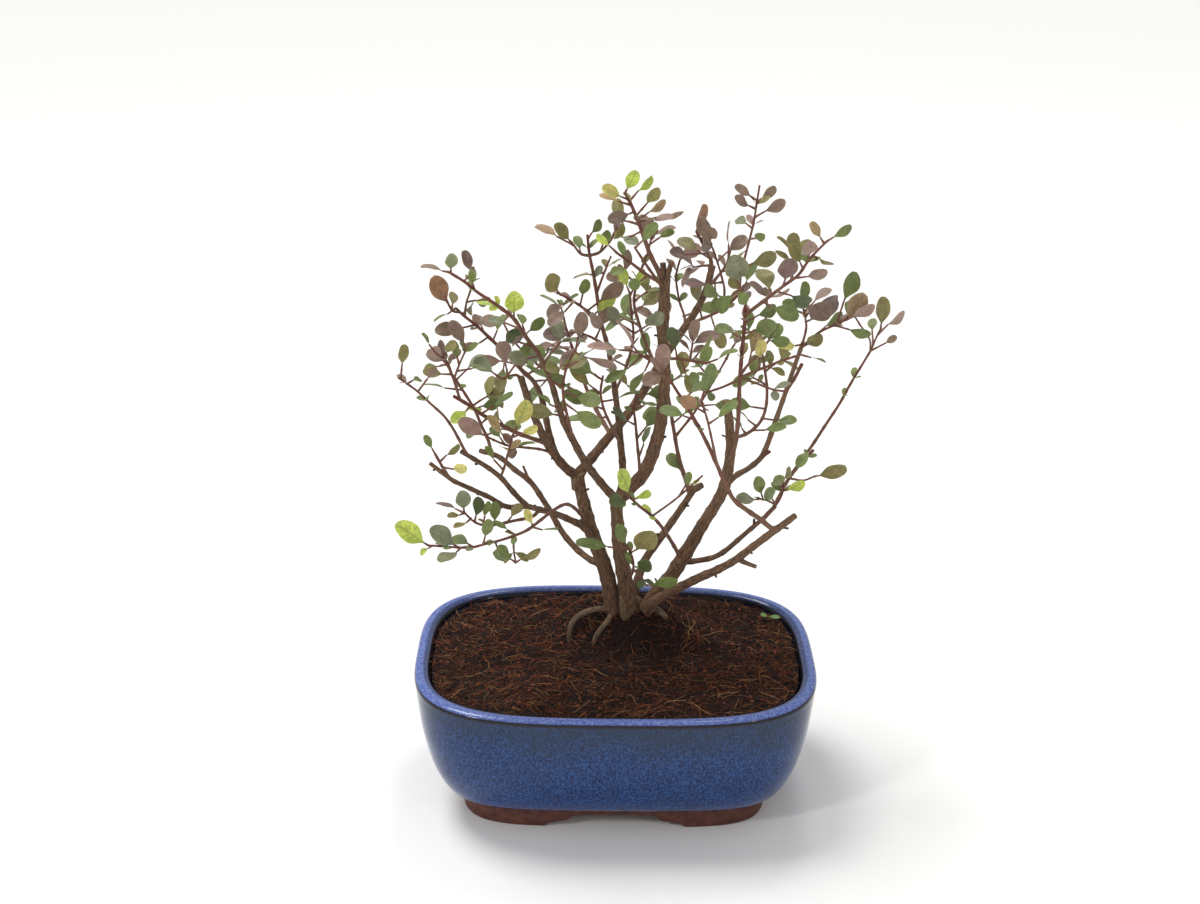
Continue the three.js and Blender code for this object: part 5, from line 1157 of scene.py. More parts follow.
class Tree:
    """The whole tree, as it grew limb by limb."""

    def __init__(self) -> None:
        """Sets out all the wood, then every limb's leaves, each clear of what is there already."""
        self.crowd = Crowd()
        self.shoot_count = 0
        for stem in BARE_STEMS.values():
            self.crowd.add_stem(-1, seen_route(stem), stem.thick)
        self.limbs = {name: self.set_out(owner, limb) for owner, (name, limb) in enumerate(LIMBS.items())}
        self.crowd.close()
        draws = Draws(SEED)
        for owner, grown in enumerate(self.limbs.values()):
            self.set_leaves(owner, grown, draws)

    def set_out(self, owner: int, limb: Limb) -> Grown:
        """Sets out a limb's stems and shoots.

        Args:
            owner: its number.
            limb: the limb.

        Returns:
            The limb without its leaves.
        """
        stems = rooted(limb)
        grown = Grown(limb.colour, [(seen_route(stem), stem.thick) for stem in stems], self.shoot_count)
        for route, thick in grown.stems:
            self.crowd.add_stem(owner, route, thick)
        for x0, z0, x1, z1, y1, count, size, colour, *face in limb.shoots:
            shoot = Shoot(seen(on_stems(stems, x0, z0)), seen((x1, z1, y1)), count, size, colour, *face)
            self.crowd.add_stem(owner, np.array([shoot.start, shoot.end]), SHOOT_THICK, self.shoot_count)
            grown.shoots.append(shoot)
            self.shoot_count += 1
        return grown

    def set_leaves(self, owner: int, grown: Grown, draws: Draws) -> None:
        """Sets a limb's leaves, and leaves out each one that no try finds room for.

        Args:
            owner: the limb's number.
            grown: the limb.
            draws: the run of random numbers.
        """
        for number, shoot in enumerate(grown.shoots, grown.first_shoot):
            for bud in shoot.buds(draws):
                tries = (shoot.pose(bud, attempt) for attempt in range(TRIES))
                leaf = next((leaf for leaf in tries if self.crowd.is_free(owner, leaf, number)), None)
                if leaf is not None:
                    self.crowd.add_leaf(owner, leaf)
                    grown.leaves.append(leaf)


# Meshes


def linear(code: str) -> Array:
    """Turns a colour code of six hex digits into linear red, green and blue."""
    shares = np.array([int(code[i:i + 2], 16) / 255 for i in (0, 2, 4)])
    return np.where(shares <= 0.04045, shares / 12.92, ((shares + 0.055) / 1.055) ** 2.4)


def smooth_path(points: Array, step: float) -> Array:
    """A smooth path through some points.

    Args:
        points: the points that it runs through.
        step: about how far apart its own points are.

    Returns:
        The path's points, the ends included.
    """
    padded = np.vstack([2 * points[0] - points[1], points, 2 * points[-1] - points[-2]])
    path = []
    for i in range(1, len(padded) - 2):
        before, a, b, after = padded[i - 1:i + 3]
        count = max(1, round(float(np.linalg.norm(b - a)) / step))
        for t in np.arange(count) / count:
            path.append(0.5 * (2 * a + (b - before) * t + (2 * before - 5 * a + 4 * b - after) * t ** 2
                               + (3 * a - before - 3 * b + after) * t ** 3))
    path.append(points[-1])
    return np.array(path)


class Draft:
    """Gathers the points and faces of one piece, with a colour and a pattern place at each point."""

    def __init__(self) -> None:
        """Starts with nothing."""
        self.count = 0
        self.points: list[Array] = []
        self.tints: list[Array] = []
        self.patterns: list[Array] = []
        self.faces: list[Array] = []
        self.slots: list[Array] = []

    def add(self, points: Array, faces: Sequence[Array], tint: Array, pattern: Array,
            slot: int = 0) -> None:
        """Adds a form.

        Args:
            points: its points, in millimetres in the pot's frame.
            faces: arrays of point numbers, each array with faces of one size.
            tint: one linear colour, or one for each point.
            pattern: where each point lies in the finish's pattern.
            slot: its material slot.
        """
        self.points.append(points)
        self.tints.append(np.broadcast_to(tint, points.shape))
        self.patterns.append(np.broadcast_to(pattern, points.shape))
        for group in faces:
            self.add_faces(group, slot, self.count)
        self.count += len(points)

    def add_faces(self, faces: Array, slot: int, start: int = 0) -> None:
        """Adds faces of one size between points that are there.

        Args:
            faces: the point numbers, one face a row.
            slot: their material slot.
            start: the number of the point that they count from.
        """
        self.faces.append(np.asarray(faces, dtype=np.int64) + start)
        self.slots.append(np.full(len(faces), int(slot)))

    def add_tube(self, rings: Array, tint: Array, pattern: Array, slot: int = 0,
                 ends: tuple[float, float] = (0.0, 0.0)) -> None:
        """Adds a closed tube.

        Args:
            rings: its points, as ring, place round it, axis.
            tint: one colour, or one for each ring.
            pattern: where each point lies in the pattern, shaped as the rings are.
            slot: its material slot.
            ends: how far each end is domed outwards.
        """
        rows, sides = rings.shape[:2]
        axis = rings.mean(axis=1)
        first = axis[0] + unit(axis[0] - axis[1]) * ends[0]
        last = axis[-1] + unit(axis[-1] - axis[-2]) * ends[1]
        points = np.vstack([rings.reshape(-1, 3), first, last])
        around = np.arange(sides)
        along = np.arange(rows - 1)[:, None] * sides
        after = (around + 1) % sides
        quads = np.stack([
            along + around, along + after, along + sides + after, along + sides + around,
        ], axis=-1)
        top = (rows - 1) * sides
        fans = np.concatenate([
            np.stack([np.full(sides, rows * sides), after, around], axis=-1),
            np.stack([np.full(sides, rows * sides + 1), top + around, top + after], axis=-1),
        ])
        if np.ndim(tint) == 2:
            tint = np.vstack([np.repeat(tint, sides, axis=0), tint[0], tint[-1]])
        flat = np.vstack([pattern.reshape(-1, 3), pattern[0].mean(axis=0), pattern[-1].mean(axis=0)])
        self.add(points, [quads.reshape(-1, 4), fans], tint, flat, slot)

    def build(self, name: str, materials: Sequence[bpy.types.Material], crease: float = 40,
              own_frame: bool = False) -> bpy.types.Object:
        """Makes the piece.

        Args:
            name: its name.
            materials: its material slots.
            crease: edges sharper than this many degrees stay sharp.
            own_frame: whether the points stay as they are, for a form that is set many times.

        Returns:
            The object, with its place in its mesh.
        """
        points = np.vstack(self.points)
        if not own_frame:
            points = points * MM + SHIFT
        mesh = bpy.data.meshes.new(name)
        mesh.vertices.add(len(points))
        mesh.vertices.foreach_set("co", points.astype(np.float32).ravel())
        sizes = np.concatenate([np.full(len(group), group.shape[1]) for group in self.faces])
        loops = np.concatenate([group.ravel() for group in self.faces])
        mesh.loops.add(len(loops))
        mesh.loops.foreach_set("vertex_index", loops.astype(np.int32))
        mesh.polygons.add(len(sizes))
        starts = np.concatenate([[0], np.cumsum(sizes)[:-1]])
        mesh.polygons.foreach_set("loop_start", starts.astype(np.int32))
        slots = np.concatenate(self.slots).astype(np.int32)
        mesh.polygons.foreach_set("material_index", slots)
        mesh.update(calc_edges=True)
        mesh.validate()
        mesh.shade_smooth()
        mesh.set_sharp_from_angle(angle=math.radians(crease))
        tint = mesh.attributes.new("tint", "FLOAT_COLOR", "POINT")
        colours = np.hstack([np.vstack(self.tints), np.ones((len(points), 1))])
        tint.data.foreach_set("color", colours.astype(np.float32).ravel())
        pattern = mesh.attributes.new("pattern", "FLOAT_VECTOR", "POINT")
        pattern.data.foreach_set("vector", np.vstack(self.patterns).astype(np.float32).ravel())
        for material in materials:
            mesh.materials.append(material)
        made = bpy.data.objects.new(name, mesh)
        bpy.context.scene.collection.objects.link(made)
        return made


def make_plain(piece: bpy.types.Object) -> None:
    """Turns a piece and its modifiers into plain mesh."""
    bpy.context.view_layer.update()
    graph = bpy.context.evaluated_depsgraph_get()
    plain = bpy.data.meshes.new_from_object(piece.evaluated_get(graph))
    piece.modifiers.clear()
    old, piece.data = piece.data, plain
    bpy.data.meshes.remove(old)
    plain.name = piece.name


def rough(place: Array, scale: float, depth: int = 1) -> float:
    """Soft noise between about -1 and 1 at a place, with lumps about one over scale across."""
    spot = Vector([float(part) * scale for part in place])
    return noise.fractal(spot, 1.0, 2.0, depth) if depth > 1 else noise.noise(spot)


def triangle_count(made: bpy.types.Object) -> int:
    """How many triangles a piece's mesh has."""
    return sum(len(face.vertices) - 2 for face in made.data.polygons)


def hand_in(made: bpy.types.Object, nodes: Sequence[str] = ()) -> None:
    """Gives a finished piece its body, hides the CAD nodes that it stands for, and logs its triangles.

    Args:
        made: the piece.
        nodes: the CAD nodes that it replaces.
    """
    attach(made, "root")
    if nodes:
        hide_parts(*nodes)
    LOG.info("%s: %d triangles", made.name, triangle_count(made))


# Shader trees


class Nodes:
    """Adds nodes to a tree and joins them."""

    def __init__(self, tree: bpy.types.NodeTree) -> None:
        """Starts on an empty tree."""
        self.tree = tree
        tree.nodes.clear()

    def add(self, kind: str, inputs: Optional[dict] = None, **settings: object) -> bpy.types.Node:
        """Adds a node.

        Args:
            kind: the node's type.
            inputs: a value, or another node's socket, for each input that isn't left as it is.
            **settings: the node's own settings.

        Returns:
            The node.
        """
        node = self.tree.nodes.new(kind)
        for key, value in settings.items():
            setattr(node, key, value)
        for key, value in (inputs or {}).items():
            self.feed(node.inputs[key], value)
        return node

    def feed(self, socket: bpy.types.NodeSocket, value: object) -> None:
        """Joins a socket to another, or sets its value."""
        if isinstance(value, bpy.types.NodeSocket):
            self.tree.links.new(value, socket)
        else:
            socket.default_value = value

    def math(self, operation: str, *values: object) -> bpy.types.NodeSocket:
        """A sum on one, two or three numbers."""
        return self.add("ShaderNodeMath", dict(enumerate(values)), operation=operation).outputs[0]

    def inverse(self, value: object) -> bpy.types.NodeSocket:
        """One less a number."""
        return self.math("SUBTRACT", 1.0, value)

    def weighted(self, *terms: tuple[object, float]) -> bpy.types.NodeSocket:
        """The sum of two numbers, each multiplied by its weight."""
        return self.math("ADD", *(self.math("MULTIPLY", value, weight) for value, weight in terms))

    def span(self, value: object, low: float, high: float) -> bpy.types.NodeSocket:
        """0 below one limit, 1 above another and smooth between."""
        inputs = {0: value, 1: low, 2: high, 3: 0.0, 4: 1.0}
        return self.add("ShaderNodeMapRange", inputs, interpolation_type="SMOOTHSTEP").outputs[0]

    def mix(self, share: object, a: object, b: object, blend: str = "MIX") -> bpy.types.NodeSocket:
        """A mixture of two colours."""
        inputs = {0: share, 6: a, 7: b}
        return self.add("ShaderNodeMix", inputs, data_type="RGBA", blend_type=blend).outputs[2]

    def scaled(self, vector: object, factors: Sequence[float]) -> bpy.types.NodeSocket:
        """A vector with each part multiplied."""
        inputs = {0: vector, 1: tuple(factors)}
        return self.add("ShaderNodeVectorMath", inputs, operation="MULTIPLY").outputs[0]

    def noise(self, vector: object, scale: float, detail: float = 2.0) -> bpy.types.NodeSocket:
        """Soft noise between 0 and 1."""
        inputs = {"Vector": vector, "Scale": scale, "Detail": detail, "Roughness": 0.55}
        return self.add("ShaderNodeTexNoise", inputs).outputs[0]

    def cells(self, vector: object, scale: float, feature: str) -> bpy.types.NodeSocket:
        """The distance in a pattern of cells, to their points or to their edges."""
        inputs = {"Vector": vector, "Scale": scale}
        return self.add("ShaderNodeTexVoronoi", inputs, feature=feature).outputs["Distance"]

    def bump(self, height: object, strength: float, distance: float) -> bpy.types.NodeSocket:
        """A normal raised by a height, in metres."""
        inputs = {"Height": height, "Strength": strength, "Distance": distance}
        return self.add("ShaderNodeBump", inputs).outputs[0]

    def attribute(self, name: str) -> bpy.types.Node:
        """The node that reads one of the mesh's own attributes."""
        return self.add("ShaderNodeAttribute", attribute_name=name)

    def place(self) -> bpy.types.NodeSocket:
        """The place on the piece, in metres in the row frame."""
        return self.add("ShaderNodeTexCoord").outputs["Object"]


def rgba(code: str) -> Rgba:
    """A hex colour as a linear colour for a socket."""
    return (*(float(part) for part in linear(code)), 1.0)


def node_group(name: str, inputs: Sequence[tuple[str, str, object]], outputs: Sequence[str],
               fill: Callable[[Nodes, bpy.types.Node], dict]) -> bpy.types.NodeTree:
    """Builds a shader node group.

    Args:
        name: its name.
        inputs: each input's name, its kind of socket and its first value.
        outputs: the names of its outputs, all of them numbers.
        fill: adds the nodes, and returns the socket for each output.

    Returns:
        The group.
    """
    group = bpy.data.node_groups.new(name, "ShaderNodeTree")
    for label, kind, value in inputs:
        socket = group.interface.new_socket(label, in_out="INPUT", socket_type=kind)
        if value is not None:
            socket.default_value = value
    for label in outputs:
        group.interface.new_socket(label, in_out="OUTPUT", socket_type="NodeSocketFloat")
    nodes = Nodes(group)
    entry = nodes.add("NodeGroupInput")
    results = fill(nodes, entry)
    ending = nodes.add("NodeGroupOutput")
    for label, socket in results.items():
        nodes.feed(ending.inputs[label], socket)
    return group


RIDGE_STRETCH, FINE_STRETCH = (1.0, 1.0, 0.13), (1.0, 1.0, 0.3)
RIDGE_WEIGHT, FINE_WEIGHT = 0.65, 0.35
RIDGE_EDGE, BLOTCH_EDGE = (0.36, 0.64), (0.35, 0.68)
BLOTCH_SCALE = 0.35


def fibre_group() -> bpy.types.NodeTree:
    """The grain of bark: ridges that run lengthwise, and broad blotches."""

    def fill(nodes: Nodes, entry: bpy.types.Node) -> dict:
        """Adds the ridges and the blotches."""
        pattern = entry.outputs["Pattern"]
        ridges = nodes.noise(nodes.scaled(pattern, RIDGE_STRETCH), entry.outputs["Ridge scale"], 4.0)
        fine = nodes.noise(nodes.scaled(pattern, FINE_STRETCH), entry.outputs["Fine scale"], 3.0)
        both = nodes.weighted((ridges, RIDGE_WEIGHT), (fine, FINE_WEIGHT))
        blotch = nodes.noise(pattern, BLOTCH_SCALE)
        return {"Ridge": nodes.span(both, *RIDGE_EDGE), "Blotch": nodes.span(blotch, *BLOTCH_EDGE)}

    inputs = [("Pattern", "NodeSocketVector", None), ("Ridge scale", "NodeSocketFloat", 2.2),
              ("Fine scale", "NodeSocketFloat", 6.0)]
    return node_group("fibre_grain", inputs, ["Ridge", "Blotch"], fill)


MIDRIB_EDGE, SIDE_VEIN_EDGE, NET_EDGE = (0.02, 0.09), (0.03, 0.13), (0.0, 0.12)
SIDE_VEIN_SLANT, SIDE_VEIN_WANDER, SIDE_VEIN_FADE = -0.26, 0.05, (0.75, 1.0)
NET_STRETCH, NET_WEIGHT, FINE_VEINS = (1.0, 0.4, 1.0), 0.45, 0.8


def vein_group() -> bpy.types.NodeTree:
    """The veins of a blade: the midrib, the side veins and the net between them.

    The pattern's x runs from the stalk to the tip and its y from edge to edge, from -1 to 1.
    """

    def fill(nodes: Nodes, entry: bpy.types.Node) -> dict:
        """Adds the three kinds of vein."""
        pattern = entry.outputs["Pattern"]
        split = nodes.add("ShaderNodeSeparateXYZ", {0: pattern})
        along, across = split.outputs[0], nodes.math("ABSOLUTE", split.outputs[1])
        midrib = nodes.inverse(nodes.span(across, *MIDRIB_EDGE))
        lead = nodes.math("MULTIPLY_ADD", across, SIDE_VEIN_SLANT, along)
        lead = nodes.math("MULTIPLY_ADD", nodes.noise(pattern, 5.0, 1.0), SIDE_VEIN_WANDER, lead)
        phase = nodes.math("FRACT", nodes.math("MULTIPLY", lead, entry.outputs["Side veins"]))
        line = nodes.math("ABSOLUTE", nodes.math("SUBTRACT", phase, 0.5))
        side = nodes.inverse(nodes.span(line, *SIDE_VEIN_EDGE))
        side = nodes.math("MULTIPLY", side, nodes.inverse(nodes.span(across, *SIDE_VEIN_FADE)))
        stretched = nodes.scaled(pattern, NET_STRETCH)
        mesh = nodes.cells(stretched, entry.outputs["Net scale"], "DISTANCE_TO_EDGE")
        net = nodes.math("MULTIPLY", nodes.inverse(nodes.span(mesh, *NET_EDGE)), NET_WEIGHT)
        fine = nodes.math("MULTIPLY", nodes.math("MAXIMUM", side, net), FINE_VEINS)
        return {"Vein": nodes.math("MAXIMUM", midrib, fine), "Midrib": midrib}

    inputs = [("Pattern", "NodeSocketVector", None), ("Side veins", "NodeSocketFloat", 6.0),
              ("Net scale", "NodeSocketFloat", 15.0)]
    return node_group("blade_veins", inputs, ["Vein", "Midrib"], fill)


BEAD_RUN = (1.0, 1.0, 0.62)
BEAD_EDGE, DOT_EDGE, CLOUD_EDGE = (0.42, 0.62), (0.1, 0.45), (0.35, 0.66)
DOT_WEIGHT, CLOUD_SCALE = 0.6, 42.0


def mottle_group() -> bpy.types.NodeTree:
    """The mottling of a fired glaze: fine beads that run a little downwards, and broad clouds."""

    def fill(nodes: Nodes, entry: bpy.types.Node) -> dict:
        """Adds the beads, the dots among them and the clouds."""
        runs = nodes.scaled(entry.outputs["Place"], BEAD_RUN)
        beads = nodes.span(nodes.noise(runs, entry.outputs["Bead scale"]), *BEAD_EDGE)
        dots = nodes.inverse(nodes.span(nodes.cells(runs, entry.outputs["Dot scale"], "F1"), *DOT_EDGE))
        beads = nodes.math("MAXIMUM", beads, nodes.math("MULTIPLY", dots, DOT_WEIGHT))
        clouds = nodes.noise(entry.outputs["Place"], CLOUD_SCALE, 3.0)
        return {"Beads": beads, "Clouds": nodes.span(clouds, *CLOUD_EDGE)}

    inputs = [("Place", "NodeSocketVector", None), ("Bead scale", "NodeSocketFloat", 1150.0),
              ("Dot scale", "NodeSocketFloat", 900.0)]
    return node_group("glaze_mottle", inputs, ["Beads", "Clouds"], fill)


class Groups:
    """The shader node groups that the materials share, each built once."""

    def __init__(self) -> None:
        """Builds them."""
        self.fibre = fibre_group()
        self.veins = vein_group()
        self.mottle = mottle_group()


def start_material(name: str) -> Nodes:
    """Makes a material with an empty tree."""
    material = bpy.data.materials.new(name)
    material.use_nodes = True
    return Nodes(material.node_tree)


def end_material(nodes: Nodes, inputs: dict) -> bpy.types.Material:
    """Adds the shader and the output.

    Args:
        nodes: the material's tree.
        inputs: the shader's inputs.

    Returns:
        The material.
    """
    shader = nodes.add("ShaderNodeBsdfPrincipled", inputs)
    nodes.add("ShaderNodeOutputMaterial", {"Surface": shader.outputs[0]})
    return next(m for m in bpy.data.materials if m.node_tree == nodes.tree)


@dataclass(frozen=True)
class BarkFinish:
    """Bark: fibrous ridges over the piece's own tint."""

    name: str
    light: float = 1.75
    dark: float = 0.42
    roughness: float = 0.85
    relief: float = 0.0007
    bump: float = 0.9
    blotches: float = 0.5
    ridge_scale: float = 2.2
    fine_scale: float = 6.0
    warmth: Rgba = (1.18, 0.98, 0.8, 1.0)

    def build(self, groups: Groups) -> bpy.types.Material:
        """Builds the material.

        Args:
            groups: the shared node groups.

        Returns:
            The material.
        """
        nodes = start_material(self.name)
        grain = nodes.add("ShaderNodeGroup", node_tree=groups.fibre)
        nodes.feed(grain.inputs["Pattern"], nodes.attribute("pattern").outputs["Vector"])
        nodes.feed(grain.inputs["Ridge scale"], self.ridge_scale)
        nodes.feed(grain.inputs["Fine scale"], self.fine_scale)
        ridge, blotch = grain.outputs["Ridge"], grain.outputs["Blotch"]
        tint = nodes.attribute("tint").outputs["Color"]
        shade = nodes.mix(ridge, (self.dark,) * 3 + (1.0,), (self.light,) * 3 + (1.0,))
        colour = nodes.mix(1.0, tint, shade, "MULTIPLY")
        warm = nodes.mix(1.0, colour, self.warmth, "MULTIPLY")
        colour = nodes.mix(nodes.math("MULTIPLY", blotch, self.blotches), colour, warm)
        return end_material(nodes, {
            "Base Color": colour, "Roughness": self.roughness,
            "Normal": nodes.bump(ridge, self.bump, self.relief),
        })


@dataclass(frozen=True)
class BladeFinish:
    """A leaf's surface over its own tint, with veins in a colour of their own and a paler underside."""

    name: str
    vein_share: float
    roughness: float
    glow: float
    side_veins: float = 6.5
    cloud_scale: float = 330.0
    cloud_dark: Rgba = (0.98, 0.98, 0.92, 1.0)
    cloud_light: Rgba = (1.62, 1.55, 1.42, 1.0)
    underside: float = 0.45
    wetness: float = 0.12

    def build(self, groups: Groups) -> bpy.types.Material:
        """Builds the material.

        Args:
            groups: the shared node groups.

        Returns:
            The material.
        """
        nodes = start_material(self.name)
        pattern = nodes.attribute("pattern").outputs["Vector"]
        veins = nodes.add("ShaderNodeGroup", node_tree=groups.veins)
        nodes.feed(veins.inputs["Pattern"], pattern)
        nodes.feed(veins.inputs["Side veins"], self.side_veins)
        mask = veins.outputs["Vein"]
        below = nodes.add("ShaderNodeSeparateXYZ", {0: pattern}).outputs[2]
        tint = nodes.attribute("tint").outputs["Color"]
        vein = nodes.attribute("vein").outputs["Color"]
        cloud = nodes.span(nodes.noise(nodes.place(), self.cloud_scale, 3.0), 0.3, 0.72)
        mottled = nodes.mix(cloud, nodes.mix(1.0, tint, self.cloud_dark, "MULTIPLY"),
                            nodes.mix(1.0, tint, self.cloud_light, "MULTIPLY"))
        colour = nodes.mix(nodes.math("MULTIPLY", mask, self.vein_share), mottled, vein)
        paler = nodes.mix(self.underside, colour, vein)
        colour = nodes.mix(nodes.span(below, 0.5, 0.9), colour, paler)
        wet = nodes.math("MULTIPLY_ADD", cloud, self.wetness, self.roughness - self.wetness / 2)
        inputs = {
            "Base Color": colour, "Roughness": wet, "Specular IOR Level": 0.45,
            "Subsurface Weight": self.glow, "Subsurface Radius": (0.6, 0.7, 0.25),
            "Subsurface Scale": 0.0008,
            "Normal": nodes.bump(nodes.inverse(mask), 0.5, 0.0002),
        }
        return end_material(nodes, inputs)


@dataclass(frozen=True)
class GlazeFinish:
    """The pot's blue glaze, which runs from grey under the lip to deep blue where it pools."""

    name: str = "blue_glaze"
    rim: str = "4a5c9c"
    rim_bead: str = "8595c6"
    edge: str = "1f1512"
    lip_shade: str = "1e2a3e"
    body: str = "0c2350"
    body_bead: str = "345c98"
    pool: str = "0b2459"
    pool_bead: str = "2f5ca4"
    edge_low: float = 0.0712
    edge_high: float = 0.0726
    edge_depth: float = 0.88
    drift: float = 0.008
    pool_top: tuple[float, float] = (0.016, 0.034)
    shade_top: tuple[float, float] = (0.05, 0.075)
    body_beads: float = 0.62
    pool_beads: float = 0.55
    lip_beads: float = 0.3
    rim_beads: float = 0.6
    gloss: float = 0.15
    coat: float = 0.35
    coat_roughness: float = 0.035
    relief: float = 0.0003

    def build(self, groups: Groups) -> bpy.types.Material:
        """Builds the material.

        Args:
            groups: the shared node groups.

        Returns:
            The material.
        """
        nodes = start_material(self.name)
        place = nodes.place()
        height = nodes.add("ShaderNodeSeparateXYZ", {0: place}).outputs[2]
        mottle = nodes.add("ShaderNodeGroup", {"Place": place}, node_tree=groups.mottle)
        beads, clouds = mottle.outputs["Beads"], mottle.outputs["Clouds"]

        def beaded(share: float, plain: str, bead: str) -> bpy.types.NodeSocket:
            """A colour with beads of another, which cover at most a share of it."""
            return nodes.mix(nodes.math("MULTIPLY", beads, share), rgba(plain), rgba(bead))

        drift = nodes.math("MULTIPLY_ADD", clouds, self.drift, height)
        body = beaded(self.body_beads, self.body, self.body_bead)
        pool = beaded(self.pool_beads, self.pool, self.pool_bead)
        colour = nodes.mix(nodes.span(drift, *self.pool_top), pool, body)
        colour = nodes.mix(nodes.span(drift, *self.shade_top), colour,
                           beaded(self.lip_beads, self.lip_shade, self.body_bead))
        on_rim = nodes.span(height, self.edge_high - 0.0003, self.edge_high + 0.0006)
        colour = nodes.mix(on_rim, colour, beaded(self.rim_beads, self.rim, self.rim_bead))
        over = nodes.span(height, self.edge_low - 0.0008, self.edge_low + 0.0006)
        under = nodes.inverse(nodes.span(height, self.edge_high - 0.0004, self.edge_high + 0.0007))
        line = nodes.math("MULTIPLY", nodes.math("MULTIPLY", over, under), self.edge_depth)
        colour = nodes.mix(line, colour, rgba(self.edge))
        # The tint darkens the inside of the pot below its crest: painted shade.
        colour = nodes.mix(1.0, colour, nodes.attribute("tint").outputs["Color"], "MULTIPLY")
        peel = nodes.math("ADD", nodes.math("MULTIPLY", beads, 0.3), nodes.noise(place, 160.0, 2.0))
        return end_material(nodes, {
            "Base Color": colour, "Roughness": nodes.math("MULTIPLY_ADD", beads, 0.08, 0.14),
            "Specular IOR Level": self.gloss, "Coat Weight": self.coat,
            "Coat Roughness": self.coat_roughness, "Normal": nodes.bump(peel, 0.1, self.relief),
        })


@dataclass(frozen=True)
class GroundFinish:
    """A rough, broken surface between two colours, such as clay or compost."""

    name: str
    dark: str
    light: str
    scale: float
    roughness: float
    relief: float

    def build(self, groups: Groups) -> bpy.types.Material:
        """Builds the material.

        Args:
            groups: the shared node groups, which it doesn't use.

        Returns:
            The material.
        """
        nodes = start_material(self.name)
        place = nodes.place()
        broad = nodes.noise(place, self.scale, 6.0)
        fine = nodes.noise(place, self.scale * 7, 3.0)
        grain = nodes.weighted((broad, 0.6), (fine, 0.4))
        return end_material(nodes, {
            "Base Color": nodes.mix(nodes.span(grain, 0.34, 0.66), rgba(self.dark), rgba(self.light)),
            "Roughness": self.roughness, "Specular IOR Level": 0.3,
            "Normal": nodes.bump(grain, 0.6, self.relief),
        })


@dataclass(frozen=True)
class LitterFinish:
    """Coir strands and crumbs, each of its own shade, with darker flecks."""

    name: str
    fleck: Rgba = (0.62, 0.6, 0.58, 1.0)
    fleck_scale: float = 700.0

    def build(self, groups: Groups) -> bpy.types.Material:
        """Builds the material.

        Args:
            groups: the shared node groups, which it doesn't use.

        Returns:
            The material.
        """
        nodes = start_material(self.name)
        tint = nodes.attribute("tint").outputs["Color"]
        flecks = nodes.span(nodes.noise(nodes.place(), self.fleck_scale), 0.35, 0.7)
        colour = nodes.mix(flecks, nodes.mix(1.0, tint, self.fleck, "MULTIPLY"), tint)
        return end_material(nodes, {"Base Color": colour, "Roughness": 0.8, "Specular IOR Level": 0.25})


# Repeats


def repeat_tree() -> bpy.types.NodeTree:
    """A tree that sets forms on points and adds them to the piece that it works on.

    Each point's attributes say which form it takes, and how that is turned and scaled.
    """
    tree = bpy.data.node_groups.new("set_many", "GeometryNodeTree")
    face = tree.interface
    face.new_socket("Geometry", in_out="INPUT", socket_type="NodeSocketGeometry")
    face.new_socket("Points", in_out="INPUT", socket_type="NodeSocketObject")
    face.new_socket("Forms", in_out="INPUT", socket_type="NodeSocketCollection")
    face.new_socket("Material", in_out="INPUT", socket_type="NodeSocketMaterial")
    face.new_socket("Geometry", in_out="OUTPUT", socket_type="NodeSocketGeometry")
    nodes = Nodes(tree)
    entry = nodes.add("NodeGroupInput")

    def read(name: str, kind: str) -> bpy.types.NodeSocket:
        """Reads one of the points' attributes."""
        node = nodes.add("GeometryNodeInputNamedAttribute", {"Name": name}, data_type=kind)
        return node.outputs["Attribute"]

    points = nodes.add("GeometryNodeObjectInfo", {"Object": entry.outputs["Points"]})
    forms = nodes.add("GeometryNodeCollectionInfo", {
        "Collection": entry.outputs["Forms"], "Separate Children": True, "Reset Children": True,
    })
    copies = nodes.add("GeometryNodeInstanceOnPoints", {
        "Points": points.outputs["Geometry"], "Instance": forms.outputs[0], "Pick Instance": True,
        "Instance Index": read("form", "INT"), "Rotation": read("turn", "FLOAT_VECTOR"),
        "Scale": read("size", "FLOAT_VECTOR"),
    })
    real = nodes.add("GeometryNodeRealizeInstances", {"Geometry": copies.outputs[0]})
    finished = nodes.add("GeometryNodeSetMaterial", {
        "Geometry": real.outputs[0], "Material": entry.outputs["Material"],
    })
    joined = nodes.add("GeometryNodeJoinGeometry")
    tree.links.new(finished.outputs[0], joined.inputs[0])
    tree.links.new(entry.outputs["Geometry"], joined.inputs[0])
    nodes.add("NodeGroupOutput", {0: joined.outputs[0]})
    return tree


